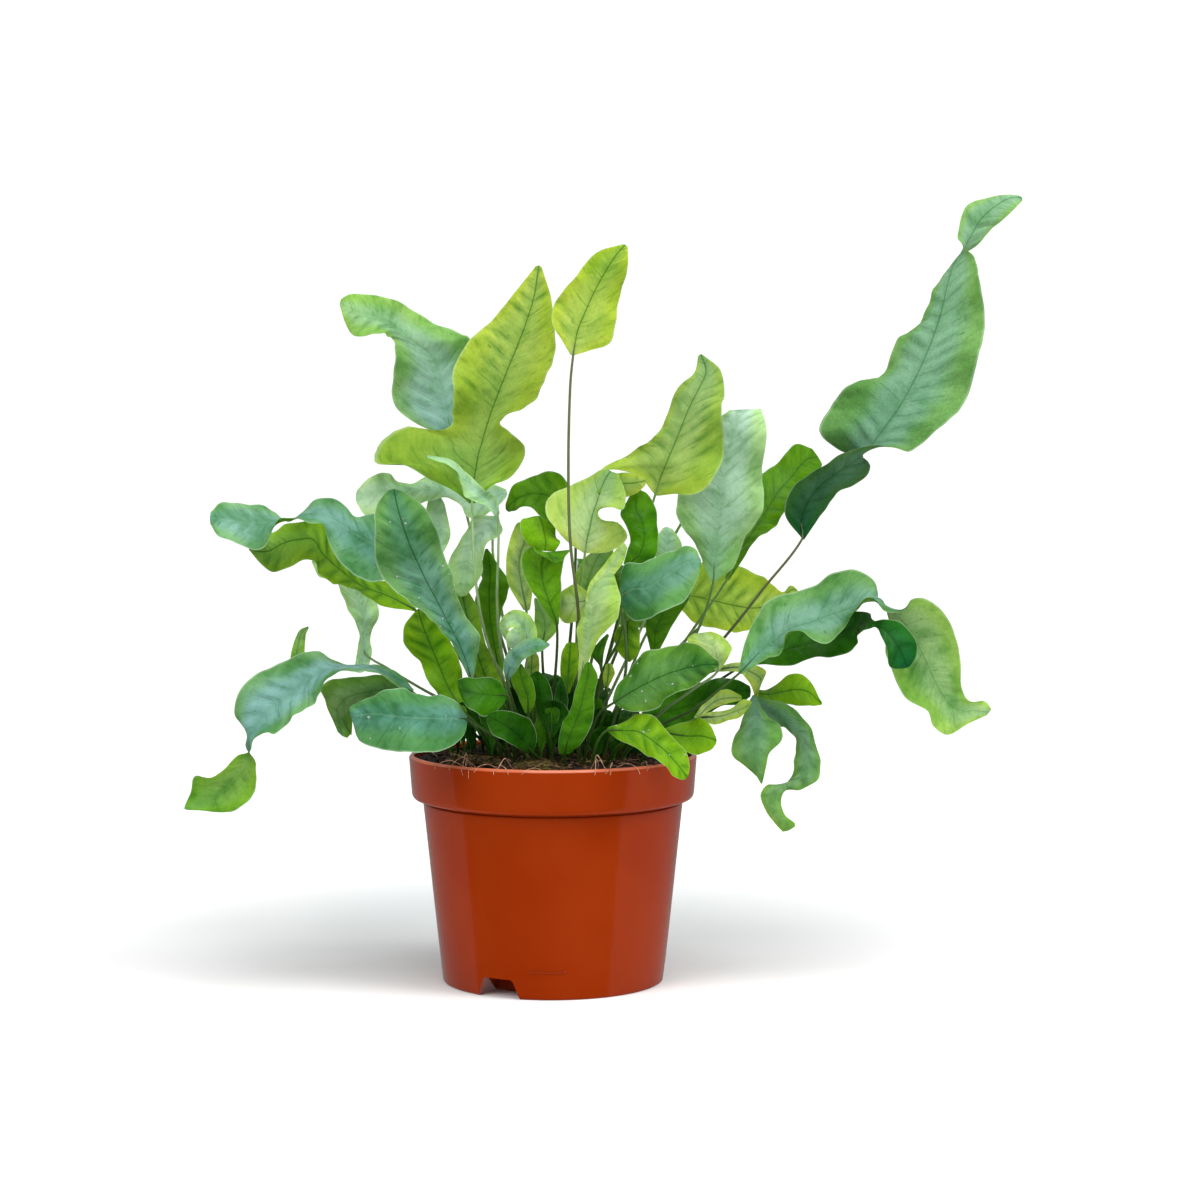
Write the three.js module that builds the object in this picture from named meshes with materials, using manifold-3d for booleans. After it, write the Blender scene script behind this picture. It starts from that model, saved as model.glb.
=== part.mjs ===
// A potted blue star fern: a nursery pot filled with soil, and about fifty waved fronds on thin stalks.
// Millimetres, +Z up. The origin is the middle of the pot's foot, on the surface that it stands on.
// The front of the plant faces -Y, and +X is to the right of somebody who looks at the front.

import * as THREE from 'three';
import { mergeVertices } from 'three/addons/utils/BufferGeometryUtils.js';
import Module from 'manifold-3d';

const wasm = await Module();
wasm.setup();

// Pot: a tapered body with a wider band around its top
const POT_HEIGHT = 95;
const RIM_RADIUS = 60;
const BAND_BOTTOM_RADIUS = 58.7;
const BAND_BOTTOM_HEIGHT = 78;
const BAND_CHAMFER_RADIUS = 57.7;
const BAND_CHAMFER_HEIGHT = 76;
const BODY_TOP_RADIUS = 54.2;
const BODY_TOP_HEIGHT = 74;
const FOOT_RADIUS = 46.5;
const FOOT_ROUNDING = 1.2;
const WALL = 1.5;
const LIP_WIDTH = 2.2;
const LIP_ROUNDING = 0.8;
const POT_SIDES = 44;

// Drain channels under the pot, open at the foot
const CHANNEL_COUNT = 3;
const CHANNEL_HEIGHT = 8;
const CHANNEL_TOP_WIDTH = 13;
const CHANNEL_FOOT_WIDTH = 20;
const CHANNEL_INNER_END = 31;
const FIRST_CHANNEL_ANGLE = -28;
const DRAIN_HOLE_RADIUS = 3;
const DRAIN_HOLE_PLACE = 38;
const DRAIN_HOLE_SIDES = 8;
const CUT_MARGIN = 1;

// Soil
const CLEARANCE = 0.3;
const SOIL_EDGE_HEIGHT = 90.5;
const SOIL_CROWN_HEIGHT = 95;
const SOIL_RINGS = 5;
const SOIL_SIDES = 22;
const SOIL_BUMP = 0.7;
const SOIL_TOP_MARGIN = 1;
const SOIL_SEED = 7;

// Stalks and blades
const STALK_FOOT_RADIUS = 0.95;
const STALK_TOP_RADIUS = 0.62;
const STALK_SIDES = 4;
const STALK_STEP = 17;
const STALK_DEPTH = 9;
const STALK_RISE = 1;
const HOLE_MARGIN = 0.45;
const BLADE_THICKNESS = 0.7;
const WIDE_BLADE = 19;
const WIDE_STRIPS = 4;
const NARROW_STRIPS = 2;
const FOLD_SHARPNESS = 1.5;
const RIPPLE_PERIOD = 2.7;
const RIPPLE_LAG = 2.1;
const NEARBY = 0.05;

// The front of the plant is drawn as an eye sees it from here. A point of the table below has its x and z in
// the upright plane through the pot's axis, and a depth: how far behind that plane it lies. It is placed on
// the line from the eye through x and z.
const EYE = new THREE.Vector3(19.6, -1150, 231);

// Every frond has a name, a colour, the place of its stalk in the soil (x, y), the points that its stalk
// passes (x, z, depth) and one or more blades. A blade is a list of stations from its base to its tip:
// left edge x, z, midrib x, z, right edge x, z, the midrib's depth, and how much deeper each edge lies.
// Left and right are as seen on the blade's upper face with its tip up. `ripple` is the height of the waves
// in its edges. The stalk runs on into the first blade, from the station given by `join`.
const FRONDS = [
  // The tall lime frond with two side lobes, left of the middle
  {
    name: 'frond_01', colour: 'lime', root: [-14, -13], ripple: 1.2,
    stalk: [[-18.5, 119, -15], [-26.5, 139, -13], [-30.6, 156, -12], [-33, 178, -10]],
    blades: [[
      [-34.6, 199, -33.5, 199.3, -32.4, 199, -8, 0, 0],
      [-42, 205, -33.2, 204.5, -26, 205, -7, -3, -1],
      [-52, 210, -32.7, 209, -19, 209.5, -6, -7, 1],
      [-63, 215.2, -32, 213, -14, 214, -5, -10, 3],
      [-74, 216, -31.3, 217, -11.5, 219, -4, -12, 2],
      [-71, 223.5, -30.8, 219.4, -12, 223, -3, -6, 0],
      [-60, 230.5, -30.3, 221.3, -15.3, 227, -2, 0, -2],
      [-50, 229.6, -29.6, 223.3, -18.5, 229.5, -1, 0, -3],
      [-42, 231.3, -28.2, 228.3, -20.5, 232, 0, -2, -3],
      [-41, 236, -25.7, 236.2, -15.5, 237.5, 1, -5, -4],
      [-42, 246, -22, 246, -6, 244.5, 3, -8, -6],
      [-40.5, 256, -18, 256, -1, 254, 6, -6, -6],
      [-35, 265.5, -14, 265.5, 1, 265, 9, -2, -5],
      [-26.5, 273.5, -10.5, 275, 0.5, 276.5, 12, 1, -3],
      [-17, 284.5, -7.5, 285, -1, 285.5, 15, 1, -2],
      [-7, 297, -5.6, 297.3, -4.4, 296.5, 19, 0, 0],
    ]],
  },
  // The arrow-shaped frond on the long thin stalk
  {
    name: 'frond_02', colour: 'lime', root: [6.5, -25], ripple: 0.6,
    stalk: [[10.8, 121, -31], [10.6, 153, -33], [7.2, 184, -33], [6.5, 216, -30], [7.3, 248, -26]],
    blades: [[
      [7.4, 260.5, 8.5, 260.3, 9.6, 260.5, -24, 0, 0],
      [3, 267.5, 9.3, 265.5, 15.5, 262.3, -23, -2, 2],
      [0.3, 272, 10.5, 271, 23, 265, -22, -4, 5],
      [0.5, 279, 13.2, 277.5, 25.8, 274, -21, -5, 6],
      [3.5, 286, 16.5, 285, 28.6, 284.5, -19, -5, 5],
      [10.5, 294.5, 20.5, 292.5, 30.3, 294, -17, -4, 3],
      [19, 303, 25.5, 300.5, 31.2, 301.5, -15, -2, 1],
      [28.8, 306, 30, 305.8, 31, 305, -13, 0, 0],
    ]],
  },
  // The pale folded strip, and the blue blade that hangs from the top of the same stalk
  {
    name: 'frond_03', colour: 'blue', root: [-11, -7], ripple: 0,
    stalk: [[-18, 122, -6], [-22, 141, -3], [-23.2, 159, -1], [-22.7, 177, 1]],
    blades: [[
      [-23.5, 193.5, -22.8, 193.8, -22, 194.6, 1, -1, 0],
      [-27, 196.5, -25.3, 198.5, -23, 200.5, -5, -5, 1],
      [-33.5, 201.5, -31.5, 204, -29, 205.5, -14, -7, 2],
      [-39, 208.5, -37, 210, -34.5, 210.8, -20, -7, 2],
      [-44, 215, -43, 216, -41.5, 216.6, -25, -4, 2],
      [-52, 218, -52.2, 218.6, -52, 219.3, -30, 0, 0],
    ], [
      [-22, 192, -22.5, 193, -23.5, 194, 1, 0, 0],
      [-21.5, 187, -27, 189, -33, 193.5, 5, -4, 4],
      [-26, 182.5, -31.5, 184, -37, 187.5, 6, -5, 4],
      [-29, 176, -35, 177, -40, 180, 7, -3, 3],
      [-30, 170, -36.5, 170.5, -43.5, 173, 6, -2, 2],
      [-32.5, 165, -37, 165, -42.5, 166, 3, 0, 0],
      [-36, 160.8, -38, 160.3, -39.5, 161, 0, 0, 0],
    ]],
  },
  // The blue frond behind the big front one, with its round lobe at the base
  {
    name: 'frond_04', colour: 'blue', root: [-6, 5], ripple: 0.8, join: 1,
    stalk: [[-14, 121, 9], [-20.5, 150, 19.5], [-25, 180, 24.5]],
    blades: [[
      [-19.5, 201.5, -18.8, 203, -19.5, 205, 23, 0, 0],
      [-24, 197, -24, 201.5, -24, 206.5, 21, -3, 3],
      [-33, 193.5, -33, 199.5, -33, 207, 18, -5, 5],
      [-42, 199, -42, 203.5, -42, 208, 14, -7, 6],
      [-51, 201.5, -51, 205, -51, 208.5, 10, -8, 8],
      [-60, 200, -60, 204.5, -60, 209, 5, -8, 8],
      [-69, 197, -69, 204, -69, 211.2, 0, -7, 6],
      [-78, 195, -77, 202.5, -76, 209.8, -5, -5, 4],
      [-81.3, 199, -81.8, 201.8, -81.3, 204.5, -7, -1, 1],
    ], [
      [-50, 176, -48.5, 175.5, -47, 176, 4, 0, 0],
      [-53, 185, -48, 184, -42.8, 184, 5, 0, 0],
      [-53, 192.5, -48, 192, -42.8, 190.5, 7, 0, 0],
      [-52, 198, -47.5, 199.5, -44.5, 197, 9, 0, 0],
      [-51.5, 204, -49.5, 204.5, -48.5, 204, 10.5, 0, 0],
    ]],
  },
  // The big blue-green frond at the front left, with drops on it
  {
    name: 'frond_05', colour: 'blue', root: [-20, -27], ripple: 1,
    stalk: [[-25, 104, -32], [-31, 117, -36]],
    blades: [[
      [-35, 126, -34.2, 126.3, -33.3, 126, -38, 0, 0],
      [-39, 134.5, -36.5, 134, -31.6, 135, -39, -3, 5],
      [-44, 143, -40, 142.5, -30.8, 143.5, -41, -5, 7],
      [-50, 151.5, -44.5, 151, -35.5, 151, -43, -8, 6],
      [-60, 157, -48.5, 159, -39.5, 159.5, -46, -9, 3],
      [-67.5, 164.5, -52.5, 166.5, -42, 168, -49, -6, 5],
      [-73, 172.5, -56, 174, -44.5, 176, -52, -2, 6],
      [-74.3, 182, -59.5, 182, -46.8, 183.5, -55, -3, 2],
      [-74, 191.5, -62.3, 190, -49, 190.5, -57, -5, 1],
      [-72.5, 199, -64.5, 197.5, -53.5, 197.8, -58, -2, 1],
      [-69, 204, -66, 205, -62, 203.8, -58, 0, 0],
    ]],
  },
  // The blue ribbon that arches out to the far left
  {
    name: 'frond_06', colour: 'blue', root: [-20, -11], ripple: 1,
    stalk: [[-26, 112, -18], [-38, 137, -24], [-50, 160, -29]],
    blades: [[
      [-57, 169.5, -57, 170.5, -56.5, 171.7, -32, 0, 0],
      [-66, 168.3, -65, 176, -63, 186, -32, -6, 5],
      [-76, 167, -74.5, 182, -74, 195, -30, -8, 7],
      [-84.5, 170, -84, 187.5, -83, 194.8, -28, -9, 7],
      [-90.5, 178, -90, 191.5, -89, 199, -26, -9, 6],
      [-94, 190.3, -96, 193.7, -96, 201.3, -25, -9, 6],
      [-102, 192.2, -102.5, 194, -102.5, 198.2, -25, -8, 7],
      [-109, 191.8, -109, 192.5, -109, 193.3, -26, -8, 8],
      [-115.5, 188.5, -116, 191.5, -116.5, 194.4, -28, -8, 7],
      [-122, 181.2, -123.5, 191, -124, 198, -31, -6, 6],
      [-131, 182, -131, 191.5, -131, 200.4, -34, -6, 6],
      [-138.5, 184.8, -138, 192.5, -138, 199.2, -37, -4, 5],
      [-142.2, 190.5, -142.4, 193, -142, 195.5, -39, 0, 1],
    ]],
  },
  // The green ribbon below it, seen from its lower side
  {
    name: 'frond_07', colour: 'green', root: [-19, -5], ripple: 0.8,
    stalk: [[-25, 112, -9], [-37, 132, -13], [-48, 147, -15]],
    blades: [[
      [-56.5, 153.8, -57, 154.6, -57, 155.6, -16, 0, 0],
      [-68.5, 156.5, -68.5, 160.5, -67.5, 166, -17, -4, 5],
      [-80, 160.5, -80, 165, -79, 170, -17, -6, 5],
      [-90, 166.7, -89, 172, -86, 179, -15, -7, 5],
      [-97.3, 169.7, -96, 178.5, -90, 188, -13, -5, 3],
      [-100, 174.5, -99.5, 184, -97, 192.3, -12, -4, 2],
      [-106.5, 174.8, -106, 184, -104.5, 190.6, -12, -4, 2],
      [-112, 172.3, -112, 182.5, -111.5, 190.5, -13, -4, 3],
      [-117, 170.2, -117.5, 179.5, -117, 187.5, -15, -3, 4],
      [-121.5, 174, -121.5, 179, -121, 184, -18, -1, 2],
      [-126.2, 179.7, -126.3, 180.4, -126, 181.2, -21, 0, 0],
    ]],
  },
  // The pale frond that stands up behind the left side
  {
    name: 'frond_08', colour: 'pale', root: [-22, 1], ripple: 0.5, join: 1,
    stalk: [[-34, 110, 12], [-55, 122, 23], [-69, 130.5, 30]],
    blades: [[
      [-83, 129, -80, 128.5, -77, 130, 34, 0, 0],
      [-81.5, 138, -78.5, 137, -75.3, 137.5, 36, -2, 1],
      [-81.3, 146, -78.8, 146, -76, 145, 38, -4, 4],
      [-84.5, 156, -79, 155, -72.5, 155.5, 39, -5, 5],
      [-90.5, 164.5, -84, 163, -76, 164, 38, -6, 6],
      [-97.5, 169.8, -94, 171, -88, 171, 36, -4, 4],
      [-100.3, 174.8, -99.5, 175.7, -98.3, 176, 34, 0, 0],
    ]],
  },
  // The blue frond that arches down at the lower left and twists before its tip
  {
    name: 'frond_09', colour: 'blue', root: [-18, -17], ripple: 1,
    stalk: [[-27, 102.5, -17], [-43, 111.5, -24]],
    blades: [[
      [-57.8, 118.8, -58.2, 120, -58, 121.5, -29, 0, 0],
      [-65, 122.7, -65, 126, -65, 129, -29, -6, 6],
      [-76, 129.6, -76, 130.6, -76, 131.5, -29, -10, 9],
      [-88, 128, -88, 131, -88, 133.5, -30, -12, 10],
      [-98, 120.8, -99, 127.5, -101, 136.4, -32, -11, 9],
      [-104, 112, -110, 119.5, -115, 133, -35, -8, 7],
      [-111, 106.2, -119, 112.5, -127, 124.5, -38, -6, 5],
      [-119, 105.6, -124.5, 106, -133, 112, -40, -7, 4],
      [-124, 101, -127, 100.8, -129.3, 103, -41, -6, 4],
      [-125.6, 96.5, -127, 96.2, -128.4, 97, -41, -6, 5],
      [-131, 93, -127.5, 91.5, -124.6, 90, -40, -4, 4],
      [-140, 86.5, -132, 85.5, -123.6, 83, -38, -2, 2],
      [-149.5, 85.3, -138.5, 78.5, -127, 74.5, -37, 2, -3],
      [-152.3, 77.5, -146, 74.5, -134, 70.2, -37, 3, -4],
      [-154.3, 71.6, -153.2, 71, -150, 70.8, -38, 0, 0],
    ], [
      [-109.5, 133, -107, 132.5, -103, 133.5, -25, 0, 0],
      [-108.8, 139, -106.3, 139.2, -103.3, 139.5, -21, 0, 0],
      [-106, 145, -104.5, 145, -102.8, 144.5, -18, 0, 0],
      [-102.6, 147.6, -102, 147.9, -101.6, 147.2, -16, 0, 0],
    ]],
  },
  // The dark leaf under that arch
  {
    name: 'frond_10', colour: 'dark', root: [-25, -8], ripple: 0.6,
    stalk: [[-34, 104, -10], [-45, 112.5, -12]],
    blades: [[
      [-56.5, 117.5, -57, 118.7, -57, 120, -12, 0, 0],
      [-66, 117, -66, 121.5, -66, 126, -10, -5, 3],
      [-76, 113, -77, 120.5, -78, 128, -10, -6, 4],
      [-83, 108, -86, 118, -90, 126, -12, -6, 4],
      [-84, 103, -90, 113, -97.3, 120.8, -16, -5, 3],
      [-84.2, 103, -89.3, 107.5, -93.8, 114, -19, -2, 2],
      [-85.8, 101.2, -88, 102, -90, 104, -22, 0, 0],
    ]],
  },
  // The blue leaf in front of the rim on the left
  {
    name: 'frond_11', colour: 'blue', root: [-9, -39], ripple: 0.7,
    stalk: [[-15, 98.5, -43], [-25, 102.5, -48]],
    blades: [[
      [-35.6, 107.9, -35.8, 109, -35.8, 110.2, -52, 0, 0],
      [-38, 101.3, -39.5, 109.3, -39.5, 114.5, -54, -4, 3],
      [-46, 96.4, -47.5, 109.3, -47, 119.7, -58, -6, 8],
      [-57, 94.3, -57, 109.5, -57, 120.7, -61, -8, 10],
      [-66, 95.8, -66, 110.3, -66, 120.7, -63, -6, 8],
      [-74, 97, -75, 111.3, -75, 119.7, -63, -4, 7],
      [-80.5, 100, -82, 110.5, -83, 116, -62, -2, 4],
      [-83.3, 107, -84.4, 110.8, -84.9, 113.6, -61, 0, 0],
    ]],
  },
  // The lime leaf behind the big front one
  {
    name: 'frond_12', colour: 'lime', root: [-21.5, -21], ripple: 0.7,
    stalk: [[-29, 104, -24]],
    blades: [[
      [-38.5, 113, -37.3, 112.5, -36, 112, -26, 0, 0],
      [-51.5, 123.5, -43, 121, -37, 120, -24, 0, 2],
      [-55, 131.8, -47, 130.5, -38.5, 130, -21, 3, 2],
      [-61, 138, -50.5, 139, -40.5, 138, -20, 4, 2],
      [-61.8, 146, -53.5, 146.5, -45, 146, -21, 3, 2],
      [-59, 152, -55.5, 152.5, -50, 152, -22, 2, 1],
      [-57, 154.5, -56, 155, -54.8, 154.5, -23, 0, 0],
    ]],
  },
  // The dark upright leaf between the two tall stalks
  {
    name: 'frond_13', colour: 'dark', root: [-13, 0], ripple: 0.5,
    stalk: [[-17.5, 108, 4]],
    blades: [[
      [-22, 123, -21, 122.7, -20, 123, 9, 0, 0],
      [-26.5, 138, -24, 138, -21.5, 138, 12, 1, 2],
      [-30, 150, -26, 150, -21.3, 150, 14, 2, 2],
      [-31.5, 162, -26.5, 162, -19.5, 161, 16, 2, 2],
      [-30.5, 170, -26, 170, -18.5, 167.5, 18, 2, 1],
      [-29, 176, -26.5, 176, -22.5, 174, 19, 1, 1],
      [-28.2, 180, -27.3, 180.3, -26.5, 179.5, 20, 0, 0],
    ]],
  },
  // The green leaf behind the stem of the big front one
  {
    name: 'frond_14', colour: 'green', root: [-17.5, -3], ripple: 0.5,
    stalk: [[-20, 104, -3]],
    blades: [[
      [-25, 112, -24, 111.7, -23, 112, -2, 0, 0],
      [-33, 123, -27, 123.5, -20, 126, 0, 0, 0],
      [-36, 134, -31, 135, -25, 134.5, 1, 0, -1],
      [-39, 146, -34.5, 147, -29, 146, 2, 0, -2],
      [-41, 157, -37, 158, -32, 157, 3, 0, -1],
      [-40.5, 164, -38.5, 165, -36, 164, 4, 0, 0],
    ]],
  },
  // The small leaf that lies open in front of the crown, left
  {
    name: 'frond_15', colour: 'green', root: [-15, -31], ripple: 0.4,
    stalk: [[-17, 106, -39]],
    blades: [[
      [-19.3, 117.5, -19, 119, -19.3, 120.7, -44, 0, 0],
      [-24, 112, -24, 119, -24, 125.5, -47, -4, 3],
      [-30, 111.2, -30, 119.5, -30, 127.2, -50, -5, 4],
      [-35.5, 113.6, -36, 120.5, -36, 127, -51, -3, 3],
      [-39, 120.5, -39.6, 122.5, -39.8, 125.5, -51, 0, 1],
    ]],
  },
  // The round leaf just above the rim, left of the middle
  {
    name: 'frond_16', colour: 'green', root: [-4, -36.5], ripple: 0.4,
    stalk: [],
    blades: [[
      [-9.8, 95, -8.8, 95.3, -7.8, 96, -43, 0, 0],
      [-15.5, 97.3, -12, 99.5, -6.5, 102, -46, -3, 2],
      [-20.5, 99.7, -16.5, 104, -9.5, 108.8, -50, -4, 4],
      [-24.3, 103, -21, 107, -15, 111.6, -53, -3, 3],
      [-27, 107, -25, 109.3, -21.5, 112.8, -55, -1, 2],
      [-27.8, 109.5, -27.2, 110.7, -25.8, 111.9, -56, 0, 0],
    ]],
  },
  // The small blue arch above it
  {
    name: 'frond_17', colour: 'blue', root: [-11, -25], ripple: 0.3,
    stalk: [[-15.5, 112, -36]],
    blades: [[
      [-19.8, 125.5, -19.2, 125.2, -18.4, 125.3, -43, 0, 0],
      [-20.5, 132, -17.8, 131, -15, 129.5, -48, 2, -1],
      [-18.5, 138.3, -15, 136.5, -12, 133.7, -52, 4, -2],
      [-12, 142.6, -10.5, 139.3, -8.3, 136.4, -55, 4, -3],
      [-6.5, 143, -5.5, 140.5, -4.3, 138.2, -58, 3, -2],
      [-2, 141, -1.3, 140.3, -1.8, 139.4, -60, 0, 0],
    ]],
  },
  // The small upright green leaf in the middle of the crown
  {
    name: 'frond_18', colour: 'green', root: [-7.5, -31], ripple: 0.3,
    stalk: [],
    blades: [[
      [-11.5, 111.6, -10.3, 111.3, -9.3, 112, -38, 0, 0],
      [-14.5, 118, -10.5, 118, -6.8, 117.5, -40, 1, -2],
      [-17.3, 124, -12.5, 124.5, -8, 123, -41, 1, -2],
      [-17, 128.5, -13.7, 129, -10.8, 128.3, -42, 0, -1],
      [-14, 131.8, -13.3, 132.3, -12.6, 131.8, -43, 0, 0],
    ]],
  },
  // The round lime leaf that curls like a scroll, with its pale inner roll
  {
    name: 'frond_19', colour: 'pale', root: [-7, -18.5], ripple: 0,
    stalk: [[-9.5, 110, -22], [-12, 123, -29.5]],
    blades: [[
      [-13, 137.5, -10.5, 137, -8, 137.5, -32, 0, 0],
      [-14.5, 143.5, -11, 144, -6.6, 145, -33, -2, 0],
      [-16, 146.5, -13.5, 149, -9.5, 152.5, -34, -3, 1],
      [-17.5, 147, -17, 150.5, -16, 155, -35, -4, 1],
      [-18.8, 146, -20, 148.8, -21, 152.5, -36, -4, 0],
      [-19.2, 143.5, -20.8, 145.5, -22.3, 148, -36, -3, 0],
      [-18.3, 141, -19.5, 142, -21, 144, -35, 0, 0],
    ], [
      [-12.8, 138.6, -11.2, 138.3, -9.6, 138.6, -32.1, 0, 0],
      [-18, 139.3, -14.5, 139, -10.2, 139.4, -36, 0, 1.5],
      [-19, 142.5, -15.5, 142, -11.5, 141.5, -40, 1, 3],
      [-18, 146, -15.2, 146, -12, 144.5, -41, 1, 2],
      [-16, 147.4, -14.8, 147.5, -13.6, 147, -41, 0, 0],
    ]],
  },
  // The dark leaf bent like an S, with its pale blue top folded over to the front
  {
    name: 'frond_20', colour: 'dark', root: [-2, -20], ripple: 0,
    stalk: [[0.5, 122, -24]],
    blades: [[
      [2.5, 148.8, 1.7, 148.5, 0.8, 148.5, -27, 0, 0],
      [3, 157.5, -1.5, 157.5, -5.5, 158, -26, 2, -1],
      [3.8, 166, -4, 165, -10, 163.7, -24, 3, -2],
      [4.5, 173, -5, 172, -12.4, 171, -22, 3, -3],
      [5.2, 177.8, -4, 177, -11.8, 177.5, -21, 2, -3],
      [6.4, 181.2, -2.6, 178.8, -9.5, 180.5, -23, 1, -1],
      [6.7, 179.8, -0.8, 176.6, -7, 179.2, -27, 1, 1],
      [4, 175.2, 0.7, 174.3, -3, 176.8, -30, 0, 1],
    ]],
  },
  // The blue-green leaf under it
  {
    name: 'frond_21', colour: 'blue', root: [-1.5, -14], ripple: 0.3,
    stalk: [[-3.5, 120, -17]],
    blades: [[
      [-6, 140.5, -4.5, 140, -3, 140.8, -20, 0, 0],
      [-7.3, 146, -3.3, 146, 1.3, 145.8, -19, -1, 1],
      [-7.8, 151, -3.8, 151.5, 1.2, 151.5, -18, -1, 1],
      [-8, 156, -6, 156, -2, 156, -17, -1, 1],
      [-7.8, 159.5, -7.2, 159.8, -6.4, 159.4, -16, 0, 0],
    ]],
  },
  // The lime leaf with its top folded over to the right
  {
    name: 'frond_22', colour: 'lime', root: [-7, -12], ripple: 0,
    stalk: [[-9, 124, -14]],
    blades: [[
      [-12.5, 155, -11, 154.3, -9.5, 155, -13, 0, 0],
      [-18.5, 165.5, -13, 165, -8, 165, -12, 0, 2],
      [-19.5, 175, -14, 175, -7, 174, -11, -1, 2],
      [-17.3, 185, -11.5, 184, -3, 183, -10, -1, 2],
      [-15, 191, -9, 190.5, 0, 189.5, -10, -1, 2],
      [-12.3, 194, -6, 193.5, 0.7, 190.7, -13, -1, 2],
      [-13.8, 190.5, -4, 188, 2.3, 186.3, -17, -1, 2],
      [-13, 185.5, -3, 183.5, 3.2, 183, -19, -1, 1],
      [-8.5, 180.3, -3.3, 179.3, 0.8, 179, -20, 0, 1],
    ]],
  },
  // The dark leaf at the back of the middle
  {
    name: 'frond_23', colour: 'dark', root: [3, -1], ripple: 0.5,
    stalk: [[6, 130, 6], [9, 165, 15], [9.5, 188, 21]],
    blades: [[
      [8.6, 199, 8.8, 200.3, 9.5, 201.5, 24, 0, 0],
      [1, 193, 1.5, 201, 3.5, 210.6, 27, -4, 5],
      [-5, 194, -5, 203, -5.5, 212.6, 30, -6, 6],
      [-10, 196.6, -11, 202.5, -12, 209.5, 33, -6, 5],
      [-15, 196.2, -16, 200, -17, 205.3, 35, -5, 3],
      [-18.3, 195.5, -19.5, 196.6, -19.6, 199, 36, 0, 0],
    ]],
  },
  // The lobed lime leaf at the top of the middle
  {
    name: 'frond_24', colour: 'lime', root: [8, -13], ripple: 0.5,
    stalk: [[9.5, 130, -15], [10.6, 158, -15]],
    blades: [[
      [12.7, 178.5, 13.4, 178.5, 14.3, 178.3, -14, 0, 0],
      [7, 182.3, 13.9, 182.5, 22, 178.8, -14, -2, -2],
      [1, 187.5, 14.5, 185.5, 28.5, 182.3, -14, -4, -3],
      [-3, 193, 15.2, 188.5, 31.2, 186, -13, -5, -4],
      [-3, 199.5, 15.9, 191.5, 27.5, 191.8, -12, -4, -5],
      [0.5, 203.5, 16.3, 193.7, 21.5, 193.3, -11, -3, -3],
      [6, 206, 17.2, 196.6, 20.2, 196, -10, -1, -2],
      [11.5, 208.5, 18.6, 200.5, 25, 197.3, -9, 0, -4],
      [16, 210.6, 20, 205, 29.7, 198, -8, 1, -4],
      [20, 213, 21.7, 209, 30, 204.5, -7, 1, -1],
      [23, 213.6, 24, 212.5, 27, 211.5, -6, 0, 0],
    ], [
      [18.3, 204, 19.3, 203, 20.3, 202, -8.7, 0, 0],
      [26, 211.5, 27.5, 207, 29.5, 201.5, -6, 1, 0],
      [32, 211.5, 33.5, 207.5, 35, 203.3, -5.5, 1, 0],
      [38, 210, 38.6, 208.5, 38.4, 206.5, -5, 0, 0],
    ]],
  },
  // The dark bean-shaped leaf right of it
  {
    name: 'frond_25', colour: 'dark', root: [13, -9.5], ripple: 0.3,
    stalk: [[21, 128, -10], [28, 155, -10]],
    blades: [[
      [29.3, 174, 31, 173, 33.5, 172.7, -10, 0, 0],
      [31, 180, 36, 178, 41, 175.5, -9, 0, 2],
      [32, 184.5, 38, 185, 44.2, 184, -7, 0, 3],
      [30.5, 190, 37, 191.5, 44.3, 191, -5, 1, 3],
      [28.5, 195, 34.5, 197, 42, 198.5, -2.5, 2, 2],
      [30.5, 199.5, 34.5, 201.5, 38.7, 203.3, -0.5, 1, 1],
      [33, 204.5, 34.3, 205.2, 35.7, 205, 0, 0, 0],
    ]],
  },
  // The small pale leaf behind the big round one
  {
    name: 'frond_26', colour: 'pale', root: [13, 4], ripple: 0.2,
    stalk: [[24, 120, 12], [39, 152, 25]],
    blades: [[
      [44.5, 169, 46, 168.7, 47.5, 169, 31, 0, 0],
      [42.5, 178, 47, 178, 53, 176, 34, 1, -1],
      [43.5, 185, 47.5, 185, 53.5, 182.5, 38, 1, -1],
      [45.7, 188.8, 47.3, 189.3, 49.5, 188.5, 40, 0, 0],
    ]],
  },
  // The big round blue leaf on the right of the crown, and the dark one under it
  {
    name: 'frond_27', colour: 'blue', root: [21, -26], ripple: 0.5,
    stalk: [[30, 127, -33], [30, 147, -37]],
    blades: [[
      [27.6, 160.2, 27.4, 159, 27.5, 157.8, -38, 0, 0],
      [29.5, 173, 32, 163, 33, 150.7, -38, 6, -5],
      [38, 173.6, 39.5, 164, 41, 151.3, -40, 9, -6],
      [45, 179.5, 46, 168, 48.5, 154.8, -41, 10, -6],
      [53, 181, 52.5, 172.5, 55, 159, -41, 9, -5],
      [59, 179.3, 58, 175, 60, 167, -41, 5, -2],
      [61.5, 175.8, 61.6, 174.5, 61.5, 172.5, -41, 0, 0],
    ]],
  },
  // The long pale leaf folded along its midrib
  {
    name: 'frond_28', colour: 'pale', root: [11, -30.5], ripple: 0.3,
    stalk: [[11, 108, -37]],
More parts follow.
